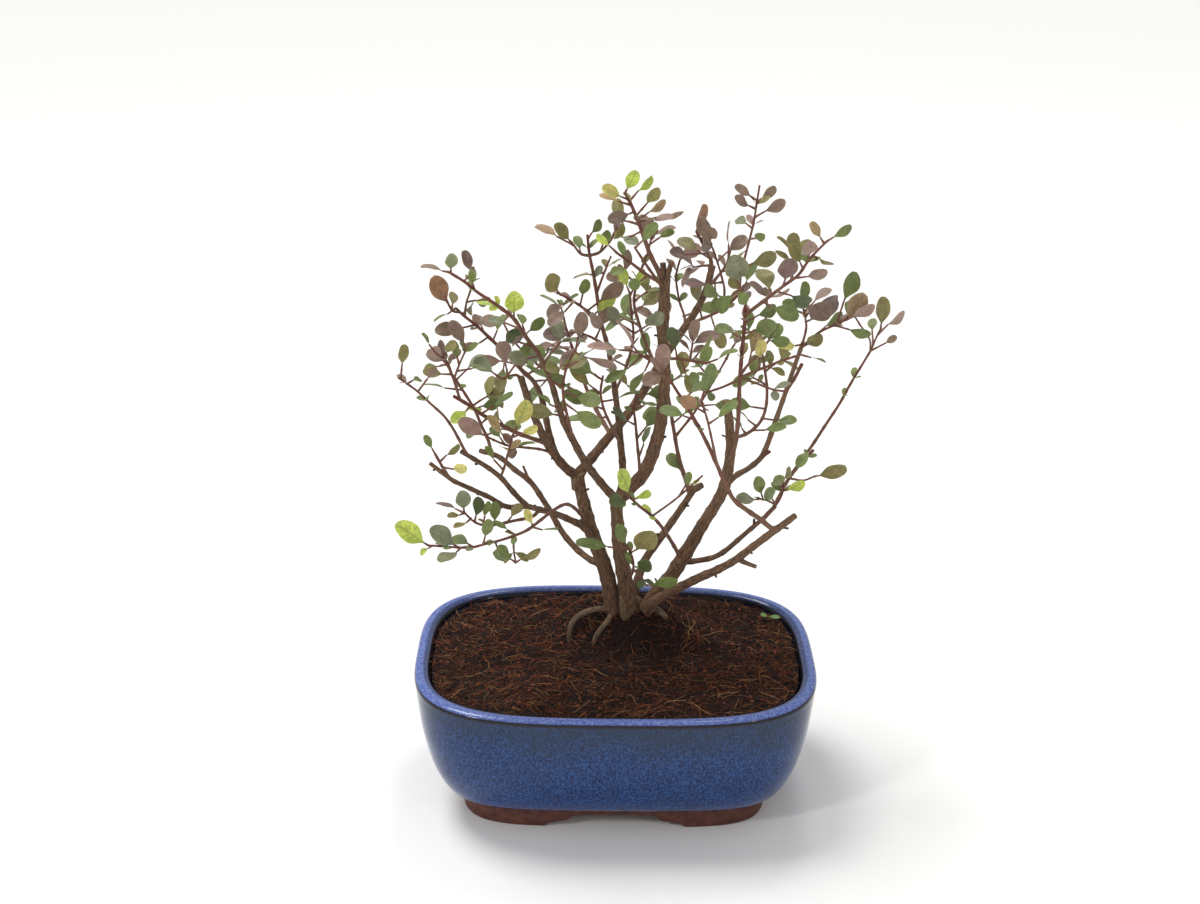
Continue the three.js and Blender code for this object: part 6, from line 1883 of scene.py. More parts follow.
@dataclass
class Copies:
    """Where copies of some forms stand: in millimetres, in the pot's frame."""

    places: list[Array] = field(default_factory=list)
    turns: list[tuple[float, float, float]] = field(default_factory=list)
    sizes: list[tuple[float, float, float]] = field(default_factory=list)
    forms: list[int] = field(default_factory=list)
    tints: list[Array] = field(default_factory=list)
    veins: list[Array] = field(default_factory=list)

    def add(self, place: Array, turn: Euler, size: tuple[float, float, float], form: int,
            tint: Array, vein: Array) -> None:
        """Adds one copy.

        Args:
            place: where its origin goes.
            turn: its rotation.
            size: its scale along each of its own axes, in millimetres.
            form: the number of the form.
            tint: its linear colour.
            vein: the linear colour of its veins or flecks.
        """
        self.places.append(np.asarray(place, dtype=float))
        self.turns.append(tuple(turn))
        self.sizes.append(size)
        self.forms.append(form)
        self.tints.append(tint)
        self.veins.append(vein)

    def points(self, name: str) -> bpy.types.Object:
        """Makes the points that the tree reads."""
        mesh = bpy.data.meshes.new(name)
        count = len(self.places)
        mesh.vertices.add(count)
        mesh.vertices.foreach_set("co", (np.array(self.places) * MM + SHIFT).astype(np.float32).ravel())
        for label, rows in (("turn", self.turns), ("size", np.array(self.sizes) * MM)):
            values = np.array(rows, dtype=np.float32).ravel()
            mesh.attributes.new(label, "FLOAT_VECTOR", "POINT").data.foreach_set("vector", values)
        for label, rows in (("tint", self.tints), ("vein", self.veins)):
            values = np.hstack([np.array(rows), np.ones((count, 1))]).astype(np.float32).ravel()
            mesh.attributes.new(label, "FLOAT_COLOR", "POINT").data.foreach_set("color", values)
        forms = np.array(self.forms, dtype=np.int32)
        mesh.attributes.new("form", "INT", "POINT").data.foreach_set("value", forms)
        return bpy.data.objects.new(name, mesh)


class Setter:
    """Runs the tree that sets copies of forms on a piece."""

    def __init__(self) -> None:
        """Builds the tree once."""
        self.tree = repeat_tree()

    def run(self, piece: bpy.types.Object, copies: Copies, forms: bpy.types.Collection,
            material: bpy.types.Material) -> None:
        """Adds the copies to a piece, as plain mesh.

        Args:
            piece: the piece, whose own mesh stays as it is.
            copies: where the copies stand.
            forms: the collection of forms.
            material: what the copies are finished in.
        """
        points = copies.points(piece.name + "_points")
        modifier = piece.modifiers.new("set_many", "NODES")
        modifier.node_group = self.tree
        values = {"Points": points, "Forms": forms, "Material": material}
        for socket in self.tree.interface.items_tree:
            if socket.in_out == "INPUT" and socket.name in values:
                modifier[socket.identifier] = values[socket.name]
        make_plain(piece)
        bpy.data.meshes.remove(points.data)


def form_from(draft: Draft, name: str, crease: float) -> bpy.types.Object:
    """Makes a form from its draft. Its copies bring their own colours, so it keeps none.

    Args:
        draft: the form, one unit long or across.
        name: its name.
        crease: edges sharper than this many degrees stay sharp.

    Returns:
        The form.
    """
    form = draft.build(name, [], crease=crease, own_frame=True)
    form.data.attributes.remove(form.data.attributes["tint"])
    return form


def keep_forms(name: str, forms: Sequence[bpy.types.Object]) -> bpy.types.Collection:
    """Puts forms in a collection that isn't part of the scene, in the order of their names."""
    store = bpy.data.collections.new(name)
    for form in forms:
        for user in form.users_collection:
            user.objects.unlink(form)
        store.objects.link(form)
    return store


# Wood


@dataclass(frozen=True)
class WoodLook:
    """How a length of wood is shaped and coloured, from its start to its end."""

    start: str
    end: str
    ridge: float
    knot: float
    sides: int
    step: float


OLD_WOOD = WoodLook("745742", "80664d", 0.1, 0.1, 28, 0.9)
BRANCH_WOOD = WoodLook("775c46", "7b604b", 0.07, 0.14, 14, 0.9)
SHOOT_WOOD = WoodLook("7c5c47", "733d35", 0.03, 0.18, 8, 1.0)
ROOT_WOOD = WoodLook("84705a", "5a4634", 0.12, 0.08, 18, 0.9)
SPUR_WOOD = WoodLook("6f5745", "5c4636", 0.05, 0.0, 7, 0.8)
SCRAP_WOOD = WoodLook("6e5642", "8f7556", 0.2, 0.0, 18, 0.8)
BARK_SCRAP = Stem((6.4, 1.4), ((5.4, 14.4, 82), (4.6, 13.0, 87), (3.6, 13.0, 93), (2.4, 14.6, 100)))
CUT_FACE = linear("b59a72")
KNOT_SPACING, KNOT_SPREAD = 9.0, 1.6
BROAD_RIDGES, FINE_RIDGES = (1.5, 0.045), (4.5, 0.16)
FINE_RIDGE_SHARE = 0.6
PATTERN_SHIFT = np.array([3.1, 1.7, 1.0])
FLARE_REACH = 0.9
CUT_DOME, TIP_DOME = 0.1, 0.5
CUT_RINGS, CUT_PATTERN = (0.86, 0.4), (0.9, 0.5)
THICK_FROM, LEAFY_THICK_FROM = 4.5, 2.6

SPUR_SPACING = (11.0, 26.0)
SPUR_LENGTH = (0.6, 2.6)
SPUR_THICK = (0.8, 1.3)
SPUR_LEAN = (0.2, 1.0)
SPUR_ROOT = 1.5
SPUR_MARGIN = 4


def wood_rings(path: Array, radii: Array, look: WoodLook, seed: float) -> tuple[Array, Array]:
    """The rings of a rough stem, and where their points lie in the bark's pattern.

    Args:
        path: the stem's middle line.
        radii: its radius at each point.
        look: how it is shaped.
        seed: shifts the noise, so that no two stems are alike.

    Returns:
        The rings and the pattern, each as ring, place round it, axis.
    """
    tangents = np.gradient(path, axis=0)
    side = square_to(unit(tangents[0]), vec(0.31, 0.9, 0.22))
    walked, rings, pattern = 0.0, [], []
    angles = np.arange(look.sides) * (WHOLE_TURN / look.sides)
    for i, middle in enumerate(path):
        along = unit(tangents[i])
        side = square_to(along, side)
        third = np.cross(along, side)
        if i:
            walked += float(np.linalg.norm(middle - path[i - 1]))
        outward = np.outer(np.cos(angles), side) + np.outer(np.sin(angles), third)
        radius = radii[i]
        from_knot = ((walked + seed) % KNOT_SPACING) - KNOT_SPACING / 2
        knot = look.knot * math.exp(-from_knot ** 2 / KNOT_SPREAD)
        swell = np.empty(look.sides)
        for k, angle in enumerate(angles):
            broad, fine = (
                rough((math.cos(angle) * wide, math.sin(angle) * wide, walked * tall + seed), 1.0)
                for wide, tall in (BROAD_RIDGES, FINE_RIDGES)
            )
            swell[k] = 1 + knot + look.ridge * (broad + FINE_RIDGE_SHARE * fine)
        rings.append(middle + outward * (radius * swell)[:, None])
        height = np.full(look.sides, walked)
        grain = np.stack([np.cos(angles) * radius, np.sin(angles) * radius, height], axis=1)
        pattern.append(grain + PATTERN_SHIFT * seed)
    return np.array(rings), np.array(pattern)


def add_stem(draft: Draft, route: Array, thick: tuple[float, float], look: WoodLook, seed: float,
             cut: bool = False, flare: float = 0.0) -> None:
    """Adds a stem.

    Args:
        draft: the piece that it goes into.
        route: its points.
        thick: its diameters at the two ends.
        look: how it is shaped.
        seed: shifts its noise.
        cut: whether its end was sawn off.
        flare: how much it widens where it starts, as a share.
    """
    path = smooth_path(route, look.step)
    radii = taper(path, thick)
    walked = np.concatenate([[0.0], np.cumsum(np.linalg.norm(np.diff(path, axis=0), axis=1))])
    radii = radii * (1 + flare * np.exp(-(walked / (thick[0] * FLARE_REACH)) ** 2))
    rings, pattern = wood_rings(path, radii, look, seed)
    share = (walked / walked[-1])[:, None]
    tint = linear(look.start) * (1 - share) + linear(look.end) * share
    if cut:
        rings, pattern, tint = sawn_end(rings, pattern, tint)
    draft.add_tube(rings, tint, pattern, ends=(0.0, radii[-1] * (CUT_DOME if cut else TIP_DOME)))


def sawn_end(rings: Array, pattern: Array, tint: Array) -> tuple[Array, Array, Array]:
    """Adds the pale cut face to a stem: a rim of bark, and the wood within it."""
    middle = rings[-1].mean(axis=0)
    inner = [middle + (rings[-1] - middle) * share for share in CUT_RINGS]
    rings = np.concatenate([rings, inner])
    pattern = np.concatenate([pattern, [pattern[-1] * share for share in CUT_PATTERN]])
    return rings, pattern, np.vstack([tint, CUT_FACE, CUT_FACE])


@dataclass(frozen=True)
class Crown:
    """The swollen foot of the tree, with its middle, half widths, height and rough skin."""

    x: float = 7
    y: float = 20.5
    z: float = 72
    wide: float = 12.5
    deep: float = 8.5
    tall: float = 42
    levels: tuple[tuple[float, float], ...] = (
        (-0.9, 0.6), (-0.4, 0.85), (0, 1), (0.15, 0.97), (0.3, 0.86), (0.39, 0.72), (0.47, 0.5), (0.5, 0.22),
    )
    sides: int = 72
    level_step: float = 0.025
    broad_lobes: float = 0.06
    fine_lobes: float = 0.04
    lumps: float = 0.9
    lump_scale: float = 0.22
    # The foot's colour is painted shade and the top's is lit bark; the crown blends between them upwards.
    shaded_foot_tint: str = "4a372c"
    lit_top_tint: str = "6f5543"

    def add_to(self, draft: Draft) -> None:
        """Adds the crown to the trunk's draft."""
        levels = smooth_path(np.array(self.levels), self.level_step)
        angles = np.arange(self.sides) * (WHOLE_TURN / self.sides)
        rings, pattern = [], []
        for level, wide in levels:
            lobes = 1 + self.broad_lobes * np.cos(angles * 5 + 0.7)
            lobes = lobes + self.fine_lobes * np.cos(angles * 9 + level * 3)
            across = np.cos(angles) * self.wide * wide * lobes
            along = np.sin(angles) * self.deep * wide * lobes
            height = np.full(self.sides, self.z + level * self.tall)
            ring = np.stack([self.x + across, self.y + along, height], axis=1)
            out = np.stack([np.cos(angles), np.sin(angles), np.zeros(self.sides)], axis=1)
            lumps = np.array([rough(point, self.lump_scale, 3) for point in ring])
            rings.append(ring + out * (lumps * self.lumps)[:, None])
            pattern.append(np.stack([across, along, height], axis=1))
        rings = np.array(rings)
        # Painted shade: darker towards the foot, lighter towards the top.
        shade = np.linspace(0, 1, len(rings))[:, None]
        tint = linear(self.shaded_foot_tint) * (1 - shade) + linear(self.lit_top_tint) * shade
        draft.add_tube(rings, tint, np.array(pattern))


def add_spurs(draft: Draft, route: Array, thick: tuple[float, float], draws: Draws) -> None:
    """Adds the short dead stubs of side shoots along a stem.

    Args:
        draft: the piece that they go into.
        route: the stem's points.
        thick: its diameters at the two ends.
        draws: the run of random numbers.
    """
    path = smooth_path(route, 1.0)
    radii = taper(path, thick)
    at = draws.between(*SPUR_SPACING)
    while at < len(path) - SPUR_MARGIN:
        i = int(at)
        along = unit(path[i + 1] - path[i - 1])
        out = turned(square_to(along, vec(0.2, 0.5, 0.8)), along, draws.between(0, WHOLE_TURN))
        lean = unit(out + along * draws.between(*SPUR_LEAN))
        tip = path[i] + lean * (radii[i] + draws.between(*SPUR_LENGTH))
        size = draws.between(*SPUR_THICK)
        spur = np.array([path[i], (path[i] + tip) / 2, tip])
        add_stem(draft, spur, (size * SPUR_ROOT, size), SPUR_WOOD, at)
        at += draws.between(*SPUR_SPACING)


@dataclass(frozen=True)
class BareWood:
    """The bare wood: the root crown, the roots, the stems and their dead spurs."""

    crown: Crown = Crown()
    sawn: tuple[str, ...] = (
        "knuckle", "rear_knob", "tall_cut_left", "tall_cut_right", "tall", "right", "straight",
        "left_inner_fork", "centre_left", "long_diagonal", "left_fork", "low_right_spur",
    )
    flare: float = 0.12
    root_seed: float = 40.0
    root_seed_step: float = 7.3
    scrap_seed: float = 71.0
    stem_seed_step: float = 5.7
    crease: float = 55

    def build(self, bark: bpy.types.Material) -> bpy.types.Object:
        """Makes the piece.

        Args:
            bark: its material.

        Returns:
            The piece.
        """
        draft = Draft()
        self.crown.add_to(draft)
        for number, root in enumerate(ROOTS):
            seed = self.root_seed + number * self.root_seed_step
            add_stem(draft, np.array(root.route, dtype=float), root.thick, ROOT_WOOD, seed)
        scrap = np.array(BARK_SCRAP.route, dtype=float)
        add_stem(draft, scrap, BARK_SCRAP.thick, SCRAP_WOOD, self.scrap_seed)
        draws = Draws(SEED + 1)
        for number, (name, stem) in enumerate(BARE_STEMS.items()):
            look = OLD_WOOD if stem.thick[0] > THICK_FROM else BRANCH_WOOD
            route = seen_route(stem)
            add_stem(draft, route, stem.thick, look, number * self.stem_seed_step,
                     cut=name in self.sawn, flare=self.flare)
            add_spurs(draft, route, stem.thick, draws)
        return draft.build("bare_wood", [bark], crease=self.crease)


# Leaves


class Blade:
    """The form of a blade one unit long and, from edge to middle, one unit wide."""

    ROWS = 10
    COLUMNS = 6
    THICK = 0.032
    WIDEST = 0.57
    TIP = 1.02
    NECK, NECK_WIDTH, END_WIDTH = 0.03, 0.05, 0.06
    NECK_CURVE, TIP_CURVE = 1.35, 2.1
    ROW_POWER = 0.92
    WAVE, ARCH, FLATTER, SWAY, DROOP = 0.1, 2.2, 0.3, 0.03, 0.1
    WAVE_RUN, WAVE_SHARE = 9, 0.6
    QUILT, QUILT_RUN, QUILT_SLANT = 0.012, 26, 5
    STALK_SHARES = (0.06, 0.2, 0.4, 0.6, 0.78, 0.9)
    STALK_RADII = (0.046, 0.042, 0.034, 0.028, 0.022, 0.016, 0.008)
    STALK_SIDES, STALK_FLATNESS = 5, 1.6

    def __init__(self, fold: float, seed: float) -> None:
        """Sets how far it is folded along its midrib, and what shifts its waves."""
        self.fold = fold
        self.seed = seed

    def half_width(self, share: float) -> float:
        """Half the blade's width at a share of its length."""
        if share < self.WIDEST:
            rise = max(0.0, (share - self.NECK) / (self.WIDEST - self.NECK))
            return max(self.NECK_WIDTH, math.sin(rise * math.pi / 2) ** self.NECK_CURVE)
        fall = (share - self.WIDEST) / (self.TIP - self.WIDEST)
        return max(self.END_WIDTH, math.sqrt(max(0.0, 1 - fall ** self.TIP_CURVE)))

    def surface(self, share: float, across: float) -> Array:
        """A place on the blade's middle surface, with its y and z as shares of the half width."""
        half = self.half_width(share)
        wave = self.WAVE * math.sin(share * self.WAVE_RUN + self.seed * 2 + across) * across ** 2
        height = BLADE_ARCH * self.ARCH * math.sin(math.pi * min(share, 1))
        height *= 1 - self.FLATTER * across ** 2
        cup = self.fold * abs(across) * half
        bent = self.SWAY * math.sin(self.seed * 3.3) * share ** 2
        height = height + cup + wave * self.WAVE_SHARE - self.DROOP * share ** 3
        return vec(share, across * half + bent, height)

    def add_to(self, draft: Draft) -> None:
        """Adds the blade, as two faces that share their edge."""
        shares = [(i / self.ROWS) ** self.ROW_POWER for i in range(self.ROWS + 1)]
        places = [2 * j / self.COLUMNS - 1 for j in range(self.COLUMNS + 1)]
        width = self.COLUMNS + 1
        points, pattern = [], []
        for share in shares:
            for across in places:
                edge = across in (places[0], places[-1]) or share in (shares[0], shares[-1])
                quilt = self.QUILT * math.sin(share * self.QUILT_RUN - abs(across) * self.QUILT_SLANT)
                quilt *= 1 - across ** 2
                lift = 0.0 if edge else self.THICK * 0.5 + quilt
                points.append(self.surface(share, across) + vec(0, 0, lift))
                pattern.append((share, across, 0.0))
        under = {}
        for i in range(1, self.ROWS):
            for j in range(1, self.COLUMNS):
                under[i, j] = len(points)
                points.append(points[i * width + j] - vec(0, 0, self.THICK))
                pattern.append((shares[i], places[j], 1.0))
        top, bottom = [], []
        for i in range(self.ROWS):
            for j in range(self.COLUMNS):
                corners = [(i, j), (i + 1, j), (i + 1, j + 1), (i, j + 1)]
                top.append([r * width + c for r, c in corners])
                bottom.append([under.get((r, c), r * width + c) for r, c in reversed(corners)])
        draft.add(np.array(points), [np.array(top), np.array(bottom)], vec(1, 1, 1), np.array(pattern))

    def add_stalk(self, draft: Draft) -> None:
        """Adds the stalk and the raised midrib under the blade."""
        path = np.array([vec(-0.05, 0, -0.01)] + [
            self.surface(share, 0) - vec(0, 0, self.THICK * 0.55) for share in self.STALK_SHARES
        ])
        turns = np.arange(self.STALK_SIDES) * (WHOLE_TURN / self.STALK_SIDES)
        flat = np.zeros(self.STALK_SIDES)
        rings = []
        for middle, radius in zip(path, self.STALK_RADII):
            wide = np.cos(turns) * radius * self.STALK_FLATNESS
            rings.append(middle + np.stack([flat, wide, np.sin(turns) * radius], axis=1))
        pattern = np.zeros((len(rings), self.STALK_SIDES, 3))
        pattern[..., 2] = 2.0
        draft.add_tube(np.array(rings), vec(1, 1, 1), pattern)


BLADE_FOLDS = (0.08, 0.2, 0.34)
BLADE_WAVES = (0.0, 1.9)


def blade_forms() -> bpy.types.Collection:
    """The blades that every leaf is a copy of."""
    forms = []
    for fold in BLADE_FOLDS:
        for wave in BLADE_WAVES:
            draft = Draft()
            blade = Blade(fold, wave)
            blade.add_to(draft)
            blade.add_stalk(draft)
            forms.append(form_from(draft, f"blade_{len(forms)}", 60))
    return keep_forms("blades", forms)


class LeafTone(Enum):
    """The colours of a leaf: its blade's and its veins'."""

    GREEN = ("5e6a3a", "818f58")
    DARK = ("454f2f", "616f48")
    OLIVE = ("736c44", "918a5c")
    GREY = ("70745c", "8d947c")
    BRONZE = ("77635a", "94726a")
    PURPLE = ("65534f", "866664")
    PINK = ("8b726b", "ab8a84")
    COPPER = ("866149", "a0795c")
    LIME = ("a8b855", "7c914c")
    STRAW = ("b8b168", "8f8f52")
    TAN = ("978062", "7a6a4a")

    def __init__(self, blade: str, vein: str) -> None:
        """Keeps both as linear colours."""
        self.blade = linear(blade)
        self.vein = linear(vein)

    @classmethod
    def named(cls, name: str) -> LeafTone:
        """The tone that a row names."""
        return cls[name.upper()]


# What is added to the CAD model's leaves: a pair of young ones at each shoot's tip, a pair part of the
# way along some shoots, and pairs near the ends of the thin stems. Spreads are slopes from the wood.
BUD_SIZE, BUD_SPREAD = (0.3, 0.5), 0.5
PAIR_SIZE, PAIR_SPREAD_ALONG = (0.55, 0.85), 1.4
PAIR_CHANCE, PAIR_PLACE = 0.62, (0.3, 0.6)
PAIR_SPACING = (9.0, 16.0)
PAIR_LENGTHS, PAIR_WIDTH, PAIR_FOLD = (0.85, 1.1), 0.52, 0.2
PAIR_AXIS, PAIR_ROLL, PAIR_TILTS = (0.15, -0.1, 1), (-0.8, 0.8), ((-0.5, 0.5), (-0.7, 0.3))
STEM_LEAF, STEM_SPREAD = (5.5, 8.5), 1.2
THICKEST_LEAFY = 3.0
LEAFY_FROM = 0.62
LEAN_WIDTH, LONGER = 0.88, 1.04
BLADE_VARIES, VEIN_VARIES = (0.16, 0.05), (0.1, 0.03)


def blade_turn(along: Array, face: Array) -> Euler:
    """The rotation that lays a blade's length and face along two directions at right angles."""
    side = np.cross(face, along)
    return Matrix((along, side, face)).transposed().to_euler()


def varied(colour: Array, draws: Draws, value: float, hue: float) -> Array:
    """A colour a little lighter or darker, and a little off its hue."""
    bright = 1 + draws.between(-value, value)
    return np.clip(colour * bright * vec(*(1 + draws.between(-hue, hue) for _ in range(3))), 0, 1)


class Foliage:
    """The blades of one limb, as copies of the forms."""

    def __init__(self, draws: Draws) -> None:
        """Starts with no blade, and with a run of random numbers."""
        self.copies = Copies()
        self.draws = draws

    def put(self, base: Array, along: Array, face: Array, size: tuple[float, float], fold: float,
            tone: LeafTone) -> None:
        """Adds a blade.

        Args:
            base: where it starts.
            along: the direction from its stalk to its tip.
            face: the direction that its upper side faces.
            size: its length and its width.
            fold: how far it is folded, which picks its form.
            tone: its colours.
        """
        nearest = int(np.argmin([abs(fold - known) for known in BLADE_FOLDS]))
        form = nearest * len(BLADE_WAVES) + int(self.draws.between(0, len(BLADE_WAVES) - 0.001))
        tint = varied(tone.blade, self.draws, *BLADE_VARIES)
        vein = varied(tone.vein, self.draws, *VEIN_VARIES)
        length, half = size[0], size[1] / 2
        self.copies.add(base, blade_turn(along, face), (length, half, half), form, tint, vein)

    def put_pair(self, place: Array, along: Array, spread: float, length: float, tone: LeafTone) -> None:
        """Adds a pair of small leaves.

        Args:
            place: where both start.
            along: the direction of the wood there.
            spread: how steeply they stand away from it.
            length: about how long they are.
            tone: their colours.
        """
        flat = square_to(along, np.cross(along, vec(*PAIR_AXIS)))
        outward = turned(flat, along, self.draws.between(*PAIR_ROLL))
        for side in (1, -1):
            way = unit(along + outward * side * spread)
            face = square_to(way, vec(*(self.draws.between(*tilt) for tilt in PAIR_TILTS), 1))
            size = (length * self.draws.between(*PAIR_LENGTHS), length * PAIR_WIDTH)
            self.put(place, way, face, size, PAIR_FOLD, tone)


@dataclass(frozen=True)
class Kit:
    """What the pieces are made with: the finishes, the tree that sets copies, and the blades' forms."""

    finishes: dict[str, bpy.types.Material]
    setter: Setter
    blades: bpy.types.Collection


@dataclass(frozen=True)
class LeafyLimb:
    """A leafy limb: its wood, its stalks and its blades. Its number seeds its noise."""

    name: str
    number: int
    grown: Grown
    stem_seed_step: float = 3.1
    shoot_seed_steps: tuple[float, float] = (1.7, 0.9)
    stalk_seed_steps: tuple[float, float] = (2.3, 1.1)
    stem_flare: float = 0.25
    shoot_flare: float = 0.3
    shoot_sag: float = 0.25
    stalk_thick: tuple[float, float] = (1.1, 0.8)
    stalk_flare: float = 0.2
    stalk_reach: float = 0.06
    crease: float = 60

    def add_stems(self, draft: Draft) -> None:
        """Adds the stems."""
        for place, (route, thick) in enumerate(self.grown.stems):
            look = BRANCH_WOOD if thick[0] > LEAFY_THICK_FROM else SHOOT_WOOD
            seed = self.number * self.stem_seed_step + place
            add_stem(draft, route, thick, look, seed, flare=self.stem_flare)

    def add_shoots(self, draft: Draft) -> None:
        """Adds the shoots that bear two leaves or more."""
        limb_step, shoot_step = self.shoot_seed_steps
        for place, shoot in enumerate(self.grown.shoots):
            if shoot.count < 2:
                continue
            middle = (shoot.start + shoot.end) / 2
            sag = square_to(unit(shoot.end - shoot.start), vec(0, 0, 1)) * self.shoot_sag
            route = np.array([shoot.start, middle + sag, shoot.end])
            seed = self.number * limb_step + place * shoot_step
            add_stem(draft, route, SHOOT_THICK, SHOOT_WOOD, seed, flare=self.shoot_flare)

    def add_stalks(self, draft: Draft) -> None:
        """Adds the long stalks of the leaves that have no shoot."""
        limb_step, stalk_step = self.stalk_seed_steps
        for place, leaf in enumerate(self.grown.leaves):
            if leaf.stalked:
                route = np.array([leaf.root, leaf.base + leaf.along * self.stalk_reach * leaf.length])
                seed = self.number * limb_step + place * stalk_step
                add_stem(draft, route, self.stalk_thick, SHOOT_WOOD, seed, flare=self.stalk_flare)

    def foliage(self, draws: Draws) -> Foliage:
        """The limb's leaves, and the small ones that are added to them.

        Args:
            draws: the run of random numbers.

        Returns:
            All the blades.
        """
        foliage = Foliage(draws)
        for leaf in self.grown.leaves:
            size = (leaf.length * LONGER, leaf.width * LEAN_WIDTH)
            foliage.put(leaf.base, leaf.along, leaf.face, size, leaf.fold, LeafTone.named(leaf.colour))
        for shoot in self.grown.shoots:
            if shoot.count < 2:
                continue
            along, tone = unit(shoot.end - shoot.start), LeafTone.named(shoot.colour)
            foliage.put_pair(shoot.end, along, BUD_SPREAD, shoot.size * draws.between(*BUD_SIZE), tone)
            if draws.between(0, 1) < PAIR_CHANCE:
                place = shoot.start + (shoot.end - shoot.start) * draws.between(*PAIR_PLACE)
                length = shoot.size * draws.between(*PAIR_SIZE)
                foliage.put_pair(place, along, PAIR_SPREAD_ALONG, length, tone)
        for route, thick in self.grown.stems:
            path = smooth_path(route, 1.0)
            at = len(path) * LEAFY_FROM + draws.between(0, PAIR_SPACING[0])
            while thick[0] < THICKEST_LEAFY and at < len(path) - 3:
                along = unit(path[int(at) + 1] - path[int(at)])
                shoot = self.grown.shoots[int(draws.between(0, len(self.grown.shoots) - 0.001))]
                length = draws.between(*STEM_LEAF)
                foliage.put_pair(path[int(at)], along, STEM_SPREAD, length, LeafTone.named(shoot.colour))
                at += draws.between(*PAIR_SPACING)
        return foliage

    def build(self, kit: Kit) -> bpy.types.Object:
        """Makes the piece.

        Args:
            kit: what it is made with.

        Returns:
            The piece.
        """
        draft = Draft()
        self.add_stems(draft)
        self.add_shoots(draft)
        self.add_stalks(draft)
        piece = draft.build(self.name + "_leafy", [kit.finishes["twig"]], crease=self.crease)
        foliage = self.foliage(Draws(SEED + 7 * self.number))
        kit.setter.run(piece, foliage.copies, kit.blades, kit.finishes["leaf_" + self.grown.colour])
        return piece


# The pot and its compost

PLAN_POINTS = 288
PLAN_STEPS = 2880
CUTTER_SIDES = 48


class PotSkin(IntEnum):
    """What the pot's surface is, in the order of its material slots."""

    GLAZE = 0
    CLAY = 1


class Shell:
    """Rings joined one to the next, with each band in a material slot of its own."""

    def __init__(self) -> None:
        """Starts with no ring."""
        self.rings: list[Array] = []
        self.slots: list[int] = []
        self.shades: list[float] = []

    def add(self, ring: Array, slot: int = 0, shade: float = 1.0) -> None:
        """Adds a ring, with the slot of the band between it and the ring before, and how light it is: below
        1 where shade is painted into the colour.
        """
        self.rings.append(ring)
        self.slots.append(slot)
        self.shades.append(shade)

    def draft(self) -> Draft:
        """Joins the rings, and closes the first and the last one with a fan."""
        draft = Draft()
        ends = [self.rings[0].mean(axis=0), self.rings[-1].mean(axis=0)]
        points = np.vstack([*self.rings, *ends])
        shades = np.concatenate([np.repeat(self.shades, PLAN_POINTS), [1.0, 1.0]])
        draft.add(points, [], shades[:, None], points)
        around = np.arange(PLAN_POINTS)
        after = (around + 1) % PLAN_POINTS
        first_end = len(self.rings) * PLAN_POINTS
        top = first_end - PLAN_POINTS
        for slot in sorted(set(self.slots)):
            for row, above in enumerate(self.slots[1:]):
                low, high = row * PLAN_POINTS, (row + 1) * PLAN_POINTS
                if above == slot:
                    band = [low + around, low + after, high + after, high + around]
                    draft.add_faces(np.stack(band, axis=-1), slot)
            if self.slots[0] == slot:
                fan = [np.full(PLAN_POINTS, first_end), after, around]
                draft.add_faces(np.stack(fan, axis=-1), slot)
            if self.slots[-1] == slot:
                fan = [np.full(PLAN_POINTS, first_end + 1), top + around, top + after]
                draft.add_faces(np.stack(fan, axis=-1), slot)
        return draft


